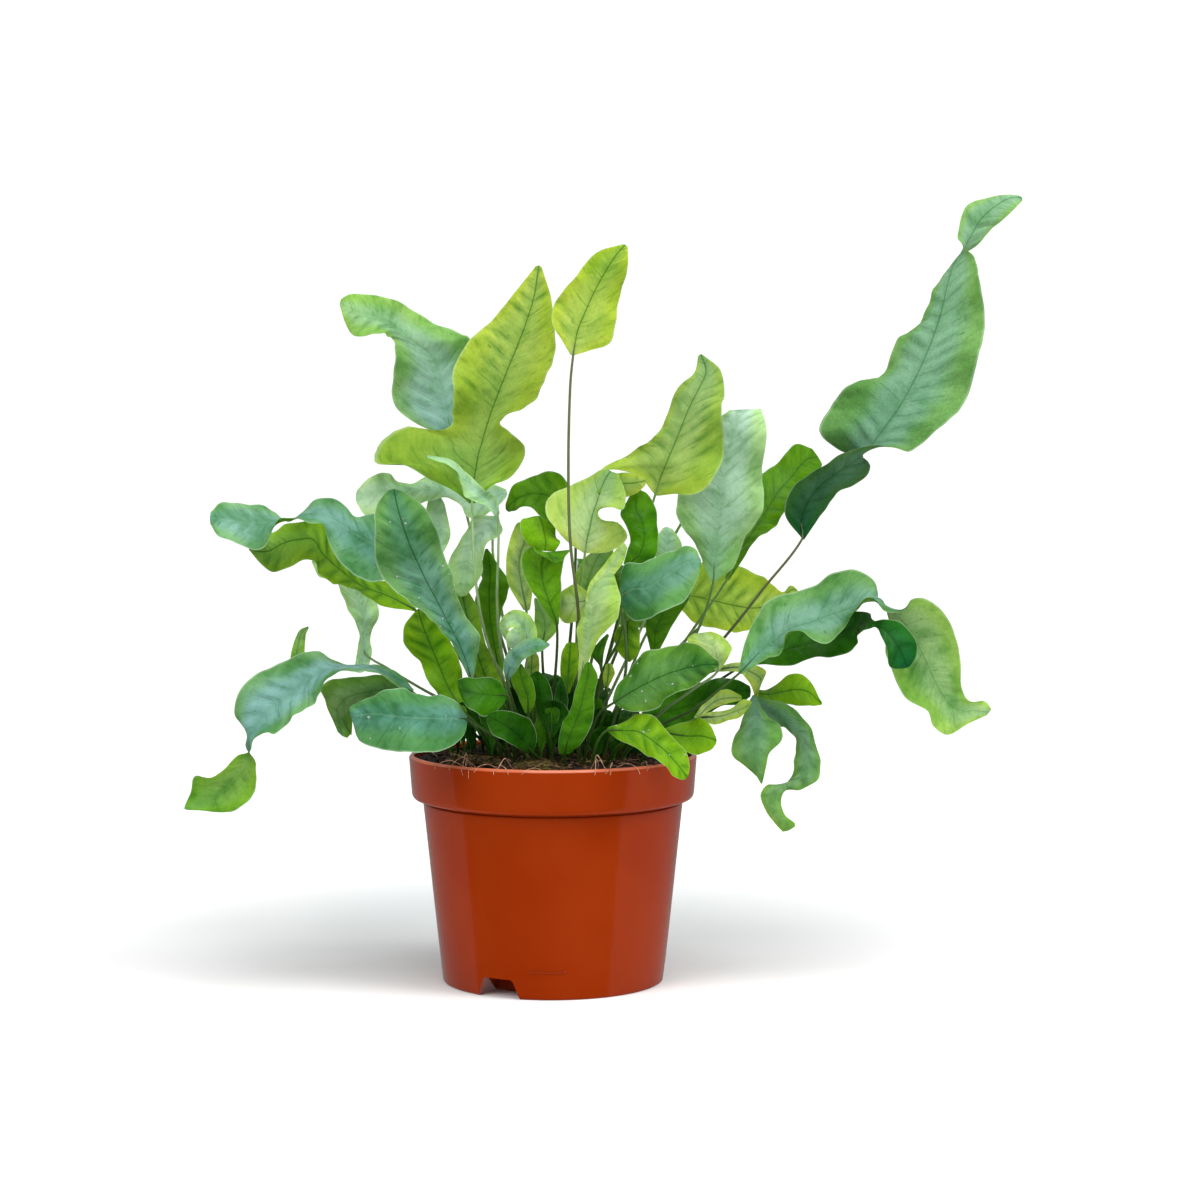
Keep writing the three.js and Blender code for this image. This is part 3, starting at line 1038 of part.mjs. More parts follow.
// A solid from a closed three.js geometry
function solidFrom(geometry) {
  const plain = new THREE.BufferGeometry();
  plain.setAttribute('position', geometry.getAttribute('position'));
  plain.setIndex(geometry.getIndex());
  const merged = mergeVertices(plain);
  const places = merged.getAttribute('position');
  const pointAt = (i) => new THREE.Vector3().fromBufferAttribute(places, i);
  const points = [...Array(places.count).keys()].map(pointAt);
  const corners = [...merged.getIndex().array];
  const triangles = [];
  for (let i = 0; i < corners.length; i += 3) {
    const triangle = corners.slice(i, i + 3);
    if (new Set(triangle).size === 3) {
      triangles.push(triangle);
    }
  }
  return solidOf(points, triangles);
}

// A closed body from rings of points: the rings are joined, and the first and last are capped
function loft(rings) {
  const sides = rings[0].length;
  const triangles = [];
  for (let r = 0; r < rings.length - 1; r += 1) {
    for (let s = 0; s < sides; s += 1) {
      const a = r * sides + s;
      const b = r * sides + (s + 1) % sides;
      triangles.push([a, b, b + sides], [a, b + sides, a + sides]);
    }
  }
  const last = (rings.length - 1) * sides;
  for (let s = 1; s < sides - 1; s += 1) {
    triangles.push([0, s + 1, s], [last, last + s, last + s + 1]);
  }
  return solidOf(rings.flat(), triangles);
}

// The angles of the corners of a regular polygon
function turns(sides) {
  return [...Array(sides).keys()].map((s) => 2 * Math.PI * s / sides);
}

// A round bar along a smooth line. Each span between two of its points is cut by its length.
function bar(points, step, sides, radiusAt) {
  const end = points.length - 1;
  const places = [0];
  for (let i = 0; i < end; i += 1) {
    const cuts = Math.max(1, Math.round(points[i].distanceTo(points[i + 1]) / step));
    for (let k = 1; k <= cuts; k += 1) {
      places.push(i + k / cuts);
    }
  }
  let across = new THREE.Vector3(1, 0, 0);
  const rings = places.map((place) => {
    const middle = onLine(points, place);
    const ahead = onLine(points, Math.min(place + NEARBY, end));
    const behind = onLine(points, Math.max(place - NEARBY, 0));
    const along = ahead.sub(behind).normalize();
    across = across.clone().addScaledVector(along, -across.dot(along)).normalize();
    const other = along.clone().cross(across);
    const radius = radiusAt(place / end);
    return turns(sides).map((angle) => middle.clone()
      .addScaledVector(across, radius * Math.cos(angle))
      .addScaledVector(other, radius * Math.sin(angle)));
  });
  return loft(rings);
}

// The middle surface of a blade without its waves: `u` counts the stations, and `v` runs from -1 at the left
// edge to 1 at the right
function calmPoint(rails, u, v) {
  const left = onLine(rails.left, u);
  const middle = onLine(rails.middle, u);
  const right = onLine(rails.right, u);
  const half = right.clone().sub(left).multiplyScalar(0.5);
  const bend = left.add(right).multiplyScalar(0.5).sub(middle);
  return middle.addScaledVector(half, v).addScaledVector(bend, Math.abs(v) ** FOLD_SHARPNESS);
}

// The same with waves that grow towards both edges
function bladePoint(rails, ripple, u, v) {
  const point = calmPoint(rails, u, v);
  const end = rails.middle.length - 1;
  const swell = Math.sin(Math.PI * u / end) * ripple * v * v;
  if (swell === 0) {
    return point;
  }
  const across = calmPoint(rails, u, v + NEARBY).sub(calmPoint(rails, u, v - NEARBY));
  const ahead = calmPoint(rails, Math.min(u + NEARBY, end), v);
  const behind = calmPoint(rails, Math.max(u - NEARBY, 0), v);
  const outward = across.cross(ahead.sub(behind)).normalize();
  const wave = Math.sin(2 * Math.PI * u / RIPPLE_PERIOD + (v < 0 ? RIPPLE_LAG : 0));
  return point.addScaledVector(outward, swell * wave);
}

// The left edge, midrib and right edge of a blade, point by point
function bladeRails(stations) {
  const rails = { left: [], middle: [], right: [] };
  for (const [leftX, leftZ, midX, midZ, rightX, rightZ, depth, leftBack, rightBack] of stations) {
    rails.left.push(seen(leftX, leftZ, depth + leftBack));
    rails.middle.push(seen(midX, midZ, depth));
    rails.right.push(seen(rightX, rightZ, depth + rightBack));
  }
  return rails;
}

// A thin closed sheet between the edges of a blade, with the same triangles on both faces
function blade(stations, ripple) {
  const rails = bladeRails(stations);
  const widest = Math.max(...rails.left.map((p, i) => p.distanceTo(rails.right[i])));
  const strips = widest > WIDE_BLADE ? WIDE_STRIPS : NARROW_STRIPS;
  const row = strips + 1;
  const end = stations.length - 1;
  const middle = [];
  const face = [];
  const rim = [];
  for (let i = 0; i <= end; i += 1) {
    for (let j = 0; j <= strips; j += 1) {
      middle.push(bladePoint(rails, ripple, i, 2 * j / strips - 1));
    }
  }
  for (let i = 0; i < end; i += 1) {
    for (let j = 0; j < strips; j += 1) {
      const a = i * row + j;
      face.push([a, a + 1, a + row + 1], [a, a + row + 1, a + row]);
    }
    rim.push([(i + 1) * row, i * row], [i * row + strips, (i + 1) * row + strips]);
  }
  for (let j = 0; j < strips; j += 1) {
    rim.push([j, j + 1], [end * row + j + 1, end * row + j]);
  }
  return thicken(middle, evenNormals(middle, face, row), face, rim);
}

// The directions in which a surface of rows of points is thickened: smoothed, and alike at its narrow ends
function evenNormals(points, face, row) {
  const surface = new THREE.BufferGeometry().setFromPoints(points);
  surface.setIndex(face.flat());
  surface.computeVertexNormals();
  const normals = surface.getAttribute('normal');
  const last = points.length - row;
  return points.map((_, i) => {
    const near = [i, i - row, i + row];
    if (i % row > 0) near.push(i - 1);
    if (i % row < row - 1) near.push(i + 1);
    for (let k = 0; k < 2 * row; k += 1) {
      if (i < row) near.push(k);
      if (i >= last) near.push(last - row + k);
    }
    const sum = new THREE.Vector3();
    for (const k of new Set(near)) {
      if (k >= 0 && k < points.length) {
        sum.add(new THREE.Vector3().fromBufferAttribute(normals, k));
      }
    }
    return sum.normalize();
  });
}

// A closed body around an open surface, with half of the blade's thickness on either side of it
function thicken(points, normals, face, rim) {
  const moved = (distance) => points.map((point, i) => point.clone().addScaledVector(normals[i], distance));
  const under = points.length;
  const triangles = [...face];
  for (const [a, b, c] of face) {
    triangles.push([under + a, under + c, under + b]);
  }
  for (const [a, b] of rim) {
    triangles.push([a, under + a, under + b], [a, under + b, b]);
  }
  return solidOf([...moved(BLADE_THICKNESS / 2), ...moved(-BLADE_THICKNESS / 2)], triangles);
}

// The stalk: straight up out of the soil, through its points, and on into the first blade as its midrib
function stalk(frond) {
  const [x, y] = frond.root;
  const ground = soilHeight(x, y);
  const points = [-STALK_DEPTH, STALK_RISE].map((rise) => new THREE.Vector3(x, y, ground + rise));
  points.push(...frond.stalk.map((place) => seen(...place)));
  const join = frond.join ?? 0;
  const { middle } = bladeRails(frond.blades[0].slice(join, join + 2));
  points.push(...middle);
  const radiusAt = (t) => THREE.MathUtils.lerp(STALK_FOOT_RADIUS, STALK_TOP_RADIUS, t);
  return bar(points, STALK_STEP, STALK_SIDES, radiusAt);
}

function frondSolid(frond) {
  return frond.blades.reduce((body, stations) => body.add(blade(stations, frond.ripple)), stalk(frond));
}

// The radii of the pot's inside, `inset` in from its outside
function insideRadii(inset) {
  const slope = (BODY_TOP_RADIUS - FOOT_RADIUS) / BODY_TOP_HEIGHT;
  return {
    foot: FOOT_RADIUS + slope * inset - inset,
    bodyTop: BODY_TOP_RADIUS - inset,
    bandBottom: BAND_CHAMFER_RADIUS - inset,
  };
}

// A solid turned about the pot's axis, from the radius and height of each corner of its profile
function turned(profile) {
  const corners = profile.map(([radius, height]) => new THREE.Vector2(radius, height));
  const lathe = new THREE.LatheGeometry(corners, POT_SIDES);
  lathe.rotateX(Math.PI / 2);
  return solidFrom(lathe);
}

// The same solid once for each drain channel, around the pot
function aroundFoot(solid) {
  let all = null;
  for (let i = 0; i < CHANNEL_COUNT; i += 1) {
    const copy = solid.rotate([0, 0, FIRST_CHANNEL_ANGLE + i * 360 / CHANNEL_COUNT]);
    all = all ? all.add(copy) : copy;
  }
  return all;
}

// The drain channels, wider and higher by `grow`
function channels(grow) {
  const foot = CHANNEL_FOOT_WIDTH / 2 + grow;
  const top = CHANNEL_TOP_WIDTH / 2 + grow;
  const section = new THREE.Shape([
    new THREE.Vector2(-foot, -CUT_MARGIN),
    new THREE.Vector2(foot, -CUT_MARGIN),
    new THREE.Vector2(top, CHANNEL_HEIGHT + grow),
    new THREE.Vector2(-top, CHANNEL_HEIGHT + grow),
  ]);
  const inner = CHANNEL_INNER_END - grow;
  const channel = new THREE.ExtrudeGeometry(section, { depth: RIM_RADIUS - inner, bevelEnabled: false });
  channel.rotateX(Math.PI / 2);
  channel.translate(0, -inner, 0);
  return aroundFoot(solidFrom(channel));
}

function drainHoles() {
  const length = CHANNEL_HEIGHT + 2 * WALL + CUT_MARGIN;
  const hole = new THREE.CylinderGeometry(DRAIN_HOLE_RADIUS, DRAIN_HOLE_RADIUS, length, DRAIN_HOLE_SIDES);
  hole.rotateX(Math.PI / 2);
  hole.translate(0, -DRAIN_HOLE_PLACE, length / 2 - CUT_MARGIN);
  return aroundFoot(solidFrom(hole));
}

function potSolid() {
  const outside = turned([
    [0, 0],
    [FOOT_RADIUS - FOOT_ROUNDING, 0],
    [FOOT_RADIUS, FOOT_ROUNDING],
    [BODY_TOP_RADIUS, BODY_TOP_HEIGHT],
    [BAND_CHAMFER_RADIUS, BAND_CHAMFER_HEIGHT],
    [BAND_BOTTOM_RADIUS, BAND_BOTTOM_HEIGHT],
    [RIM_RADIUS, POT_HEIGHT - LIP_ROUNDING],
    [RIM_RADIUS - LIP_ROUNDING, POT_HEIGHT],
    [0, POT_HEIGHT],
  ]);
  const { foot, bodyTop, bandBottom } = insideRadii(WALL);
  const inside = turned([
    [0, WALL],
    [foot, WALL],
    [bodyTop, BODY_TOP_HEIGHT],
    [bandBottom, BAND_BOTTOM_HEIGHT],
    [RIM_RADIUS - LIP_WIDTH, POT_HEIGHT - LIP_ROUNDING],
    [RIM_RADIUS - LIP_WIDTH + LIP_ROUNDING / 2, POT_HEIGHT + CUT_MARGIN],
    [0, POT_HEIGHT + CUT_MARGIN],
  ]);
  return outside.subtract(inside.subtract(channels(WALL))).subtract(channels(0)).subtract(drainHoles());
}

// The same draw of small bumps every time
function seededRandom(seed) {
  let state = seed;
  return () => {
    state = (state * 16807) % 2147483647;
    return state / 2147483647;
  };
}

function soilTopRadius() {
  const lip = POT_HEIGHT - LIP_ROUNDING;
  const rise = (SOIL_EDGE_HEIGHT - BAND_BOTTOM_HEIGHT) / (lip - BAND_BOTTOM_HEIGHT);
  return THREE.MathUtils.lerp(insideRadii(WALL).bandBottom, RIM_RADIUS - LIP_WIDTH, rise) - CLEARANCE;
}

// Height of the mound, without its bumps
function soilHeight(x, y) {
  const out = Math.min(Math.hypot(x, y) / soilTopRadius(), 1);
  return THREE.MathUtils.lerp(SOIL_CROWN_HEIGHT, SOIL_EDGE_HEIGHT, out * out);
}

function soilSolid() {
  const random = seededRandom(SOIL_SEED);
  const inset = WALL + CLEARANCE;
  const { foot, bodyTop, bandBottom } = insideRadii(inset);
  const facet = Math.cos(Math.PI / POT_SIDES);
  const ring = (radius, height, bump) => turns(SOIL_SIDES).map((angle) => new THREE.Vector3(
    radius * facet * Math.cos(angle),
    radius * facet * Math.sin(angle),
    height + bump * (2 * random() - 1),
  ));
  const rings = [
    ring(foot, inset, 0),
    ring(bodyTop, BODY_TOP_HEIGHT, 0),
    ring(bandBottom, BAND_BOTTOM_HEIGHT + CLEARANCE, 0),
    ring(soilTopRadius(), SOIL_EDGE_HEIGHT, 0),
  ];
  for (let i = 1; i < SOIL_RINGS; i += 1) {
    const radius = soilTopRadius() * (1 - i / SOIL_RINGS) + SOIL_TOP_MARGIN;
    rings.push(ring(radius, soilHeight(radius, 0), SOIL_BUMP));
  }
  let soil = loft(rings).subtract(channels(inset));
  for (const { root: [x, y] } of FRONDS) {
    const ground = soilHeight(x, y);
    const bottom = new THREE.Vector3(x, y, ground - STALK_DEPTH - CLEARANCE);
    const route = [bottom, bottom.clone().setZ(POT_HEIGHT + STALK_DEPTH)];
    soil = soil.subtract(bar(route, POT_HEIGHT, STALK_SIDES, () => STALK_FOOT_RADIUS + HOLE_MARGIN));
  }
  for (const { radius, route } of Object.values(RHIZOMES)) {
    soil = soil.subtract(rhizomeSolid(route, radius, CLEARANCE));
  }
  return soil;
}

// A creeping stem, thick in the middle and blunt at both ends, grown on all sides by `grow`
function rhizomeSolid(route, radius, grow) {
  const points = route.map((place) => new THREE.Vector3(...place));
  const [first, second] = points;
  const [beforeLast, last] = points.slice(-2);
  const back = first.clone().sub(second).setLength(grow);
  const onward = last.clone().sub(beforeLast).setLength(grow);
  first.add(back);
  last.add(onward);
  const radiusAt = (t) => radius + grow - RHIZOME_TAPER * (2 * t - 1) ** 4;
  return bar(points, RHIZOME_STEP, RHIZOME_SIDES, radiusAt);
}

// A mesh of its own for a solid, placed at the given point
function meshOf(solid, name, look, origin = new THREE.Vector3()) {
  const { vertProperties, triVerts } = solid.getMesh();
  const geometry = new THREE.BufferGeometry();
  geometry.setAttribute('position', new THREE.Float32BufferAttribute(vertProperties, 3));
  geometry.setIndex([...triVerts]);
  geometry.translate(-origin.x, -origin.y, -origin.z);
  geometry.computeVertexNormals();
  const mesh = new THREE.Mesh(geometry, look);
  mesh.name = name;
  mesh.position.copy(origin);
  return mesh;
}

function material(color, roughness) {
  return new THREE.MeshStandardMaterial({ color, roughness, metalness: 0 });
}

const potMaterial = material(0xa8431f, 0.4);
const soilMaterial = material(0x2a1a12, 1);
const rhizomeMaterial = material(0x8a7434, 0.9);
const leafMaterials = {
  blue: material(0x6f9f94, 0.55),
  green: material(0x4f8a45, 0.5),
  dark: material(0x2f6a35, 0.5),
  lime: material(0x93b62f, 0.5),
  pale: material(0xa3c583, 0.55),
};

const group = new THREE.Group();
group.add(meshOf(potSolid(), 'pot', potMaterial));
group.add(meshOf(soilSolid(), 'soil', soilMaterial));
for (const [name, { radius, route }] of Object.entries(RHIZOMES)) {
  group.add(meshOf(rhizomeSolid(route, radius, 0), name, rhizomeMaterial));
}

const fronds = new THREE.Group();
for (const frond of FRONDS) {
  const [x, y] = frond.root;
  const foot = new THREE.Vector3(x, y, soilHeight(x, y));
  fronds.add(meshOf(frondSolid(frond), frond.name, leafMaterials[frond.colour], foot));
}
group.add(fronds);

export default group;
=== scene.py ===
import math
import random
from collections import namedtuple
from types import SimpleNamespace

import bmesh
import bpy
import numpy as np
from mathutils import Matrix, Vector, noise


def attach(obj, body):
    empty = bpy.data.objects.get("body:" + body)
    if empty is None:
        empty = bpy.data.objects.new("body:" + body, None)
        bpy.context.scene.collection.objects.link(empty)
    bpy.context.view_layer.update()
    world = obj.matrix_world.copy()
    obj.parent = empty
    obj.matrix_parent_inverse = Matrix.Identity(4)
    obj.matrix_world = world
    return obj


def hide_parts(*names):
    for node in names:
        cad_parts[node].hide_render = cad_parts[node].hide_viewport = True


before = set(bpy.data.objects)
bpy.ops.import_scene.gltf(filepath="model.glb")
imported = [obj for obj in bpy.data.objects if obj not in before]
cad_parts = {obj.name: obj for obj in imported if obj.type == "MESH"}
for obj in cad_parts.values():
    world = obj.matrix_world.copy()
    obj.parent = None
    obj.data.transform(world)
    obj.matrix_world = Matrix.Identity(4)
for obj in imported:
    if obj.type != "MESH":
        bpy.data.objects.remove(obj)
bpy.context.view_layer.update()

MM = 0.001
PIECE_SHARP_ANGLE = 60
POT_SHARP_ANGLE = 32

# The materials of a frond's piece and of the soil's piece, in the order of their slots
UPPER, UNDER, STEM, WATER, SCALE = range(5)
PEAT, STRAW, ROOTLET, BARK = range(4)

# Pot. The seam left by the mould runs from SEAM_LEFT to SEAM_RIGHT, measured round the pot from its front.
POT_HEIGHT = 95
RIM_RADIUS = 60
LIP_WIDTH = 2.2
LIP_BEVEL = 1.2
SEAM_HEIGHT = 11.5
SEAM_LEFT = -9
SEAM_RIGHT = 5.5
SEAM_THICKNESS = 0.24
SEAM_POINTS = 21
STUD_RADIUS = 0.55
BAND_BOTTOM_RADIUS = 58.7
BAND_LEDGE_HEIGHT = 76
BODY_TOP_RADIUS = 54.2
BODY_TOP_HEIGHT = 74
FOOT_RADIUS = 46.5
WALL = 1.5
CLEARANCE = 0.3
POT_SIDES = 180
CHANNEL_COUNT = 3
CHANNEL_HEIGHT = 8
CHANNEL_TOP_WIDTH = 13
CHANNEL_FOOT_WIDTH = 20
CHANNEL_INNER_END = 31
FIRST_CHANNEL_ANGLE = -28
DRAIN_HOLE_RADIUS = 3
DRAIN_HOLE_PLACE = 38
DRAIN_HOLE_SIDES = 24
BODY_SLOPE = (BODY_TOP_RADIUS - FOOT_RADIUS) / BODY_TOP_HEIGHT
BAND_WALL = 1.2 * WALL
CUT_PAST = 1

# Soil, with its side as radius and height from the foot up. A crumb's radius is CRUMB_RADIUS and up to
# CRUMB_GROWTH more, and the two numbers for a straw are its least and its most.
SOIL_EDGE_HEIGHT = 92.3
SOIL_CROWN_HEIGHT = 95
SOIL_TOP_RADIUS = 57.1
SOIL_RINGS = 70
SOIL_SIDES = 220
SOIL_ROUGHNESS = 1.3
SOIL_SINK = 0.25
SOIL_SIDE = ((FOOT_RADIUS - WALL - CLEARANCE + 0.1, CHANNEL_HEIGHT + 2 * WALL + CLEARANCE),
             (BODY_TOP_RADIUS - WALL - CLEARANCE, BAND_LEDGE_HEIGHT),
             (BAND_BOTTOM_RADIUS - BAND_WALL - CLEARANCE, BAND_LEDGE_HEIGHT + 4),
             (SOIL_TOP_RADIUS, 88))
CRUMBS = 1500
CRUMB_RADIUS = 0.35
CRUMB_GROWTH = 1.5
CRUMB_SIDES = 6
CRUMB_RINGS = 3
STRAWS = 130
STRAW_STEPS = 6
STRAW_LENGTHS = (3, 11)
STRAW_RADII = (0.12, 0.3)
SEED = 11

# Rhizomes: the radius and the points of the middle line of each
RHIZOMES = {
    "rhizome_left": (2.7, [(-41, -24, 94.5), (-35, -31, 95), (-27, -36, 95.5), (-20.5, -38.5, 95)]),
    "rhizome_front": (2.3, [(-15, -46, 93.5), (-8, -47, 95), (-1, -47.5, 95), (5, -49, 93.5)]),
}
RHIZOME_TAPER = 1.2
RHIZOME_END_SHARE = 0.55
RHIZOME_SIDES = 24
RHIZOME_SCALES = 420
RHIZOME_SCALE_LENGTH = 2.4

# Pale rootlets that rise from the soil and lie over the pot's lip: the angle in degrees where each crosses
# it, how far round it has come, how high it rises and how far down it hangs
ROOTLETS = ((-140, 7, 2.5, 1.2), (-132, 5, 4.5, 0.8), (-127, -4, 6, 2.6), (-125, -8, 3.5, 3.4),
            (-119, 6, 2.5, 1), (-111, 4, 5, 1.2), (-108, -9, 2, 0.6), (-99, 8, 1.5, 0.5), (-72, 4, 4.5, 1.4),
            (-69, -3, 6.5, 0.8), (-66, 5, 3, 1.6), (-55, -5, 2.5, 1.8), (-49, 6, 2, 0.6), (60, 7, 4, 1.5),
            (118, -8, 3, 2), (170, 6, 4, 2))
ROOTLET_FOOT_RADIUS = 0.24
ROOTLET_TIP_RADIUS = 0.1
ROOTLET_SIDES = 6
ROOT_STEP = 0.8

# Young shoots in the shade of the crown, coloured dark partly as young leaves and partly as painted shade
# between the stalks. Those left of the crown's edge rise higher, and the outline gives a shoot's half width
# at shares of its height.
SHOOTS = 84
SHOOT_REACH = 45
SHOOT_BACKWARD = 6
SHOOT_HEIGHTS = (18, 34)
SHOOT_CROWN_EDGE = 14
SHOOT_CROWN_RISE = 16
SHOOT_WIDTH = 5.5
SHOOT_RIPPLE = 0.5
SHOOT_OUTLINE = ((0, 0.1), (0.22, 0.16), (0.42, 0.7), (0.66, 1), (0.88, 0.72), (1, 0.12))
SHADED_SHOOT_LOOKS = ("darkest", "darkest", "dark", "moss")

# Stalks. A stalk starts below the soil and stands upright until it is out of it, and is darker towards its
# foot, partly its own darker base and partly painted shade of the crown, until it has its full colour at
# STALK_FOOT_HEIGHT. Where it runs on into its blade it is a little thinner and tapers.
STALK_FOOT_RADIUS = 0.8
STALK_TOP_RADIUS = 0.44
STALK_SIDES = 10
STALK_STEP = 3
STALK_DEPTH = 9
STALK_RISE = 1
STALK_END_SHARE = 0.9
STALK_END_TAPER = 0.55
STALK_FOOT_HEIGHT = 90
FOOT_SCALES = 9
FOOT_SCALE_LENGTH = 1.8

# Blades: the spacing of their points, how sharply they fold at the midrib, half their thickness, how sharply
# they thin at the margin, and the rows over which they thin at their ends
ROW_STEP = 0.95
COLUMN_STEP = 0.95
FEWEST_COLUMNS = 10
MOST_COLUMNS = 34
FOLD_SHARPNESS = 1.5
SHEET_HALF = 0.2
MARGIN_SHARPNESS = 8
END_ROWS = 3

# The waves of a blade: ripples in its edges, whose period is a number of stations and whose height is in the
# fronds' table; buckles and fine frills, which are full where half the blade's width is WIDE_HALF; how much
# each lags on the left side, and how far a blade's own phase moves them
RIPPLE_PERIOD = 2.7
RIPPLE_LAG = 2.1
BUCKLE = 2.2
BUCKLE_LENGTH = 26
FRILL = 0.4
FRILL_LENGTH = 7.5
WIDE_HALF = 9
LEFT_PHASE = 1.3
PHASE_SHIFT = 9

# Side veins, how far they wander in colour, the quilting between them, which comes and goes over a length,
# and the midrib: a groove above and a ridge below that fades towards the tip
VEIN_SPACING = 7
VEIN_SLANT = 0.75
VEIN_WANDER = 2.2
QUILT = 0.6
PUCKER_LENGTH = 55
MIDRIB_GROOVE = 0.16
MIDRIB_RIDGE = 0.42
MIDRIB_WIDTH = 0.55
MIDRIB_FADE = 0.65

# Drops of water. A drop's radius is DROP_RADIUS and up to DROP_GROWTH more.
DROP_RADIUS = 0.24
DROP_GROWTH = 0.5
DROP_HEIGHT = 0.55
DROP_SINK = 0.12
DROP_SIDES = 10
DROP_RINGS = 4

# The eye that sees the plant. A point of the fronds' table has its x and z where the eye sees it against the
# upright plane through the pot's axis, and a depth: how far behind that plane it lies.
EYE = (19.6, -1150, 231)
LOOK_AT = (19.6, 0, 158)
LENS = 83.1
SENSOR = 36
SHIFT_Y = 0.0018

# The room around the plant: brightness of its sides, dark front, roof and backdrop, the edges of the dark
# front as angles from the front in degrees, and half the width of its floor in metres
SIDE_LIGHT = 0.3
FRONT_LIGHT = 0.05
ROOF_LIGHT = 0.75
BACKDROP_LIGHT = 1.1
LEFT_EDGE = -86
RIGHT_EDGE = 63
FLOOR_HALF = 3.0

# Leaf colours, as red, green and blue out of 255
ICE = (214, 242, 228)
MINT = (198, 228, 190)
SKY = (164, 200, 188)
BLOOM = (130, 174, 154)
SEA = (98, 146, 134)
JADE = (108, 156, 118)
LAGOON = (84, 136, 112)
TEAL = (66, 118, 86)
PINE = (10, 88, 46)
SPRUCE = (56, 112, 40)
FOREST = (40, 90, 10)
GREEN = (66, 126, 14)
FERN = (88, 138, 66)
MOSS = (88, 142, 16)
LEAF = (112, 164, 30)
GRASS = (132, 176, 78)
LIME = (140, 190, 30)
SUN = (172, 204, 72)
GLOW = (198, 218, 108)
CREAM = (216, 230, 164)
SAGE = (150, 186, 122)
PALE = (172, 206, 140)
MIST = (154, 198, 156)
HAZE = (134, 178, 172)
PEAR = (186, 206, 98)
OLIVE = (84, 130, 6)

# What a leaf's colour is multiplied by: where its bloom is rubbed off, on leaves with pale veins and on
# those with dark ones, then in its clouds, stains, light patches, streaks and grain, as painted shade in the
# grooves and painted highlight on the ridges of its quilting, as painted shade beside its midrib, in its
# dark veins, and where light comes through it
BARE_PALE_TINT = (0.9, 0.98, 0.36)
BARE_DARK_TINT = (1.14, 1.06, 0.48)
CLOUD_TINT = (0.58, 0.8, 0.62)
STAIN_TINT = (0.45, 0.66, 0.42)
LIT_TINT = (1.4, 1.28, 1.35)
STREAK_TINT = (0.42, 0.6, 0.42)
GRAIN_TINT = (0.4, 0.6, 0.4)
GROOVE_SHADE_TINT = (0.5, 0.68, 0.56)
RIDGE_HIGHLIGHT_TINT = (1.3, 1.22, 1.3)
MIDRIB_SHADE_TINT = (0.5, 0.7, 0.55)
VEIN_TINT = (0.2, 0.36, 0.2)
GLOW_TINT = (0.95, 1.0, 0.28)

# The colours that a leaf's pale midrib and its margin come near, out of 255. The margin's pale colour is
# partly its own pale edge and partly painted rim light.
PALE_VEIN = (190, 220, 190)
PALE_MARGIN_AND_RIM_LIGHT = (216, 236, 204)

# How strong the marks of a leaf's two faces are, the painted shade and highlight of its quilting among
# them, and how high its veins and their net stand
Face = namedtuple("Face", "streaks quilting veins net vein_height net_height")
UPPER_FACE = Face(0.55, 0.85, 0.42, 0.22, -0.8, -0.3)
UNDER_FACE = Face(0.35, 0.5, 0.55, 0.5, 0.8, 0.4)

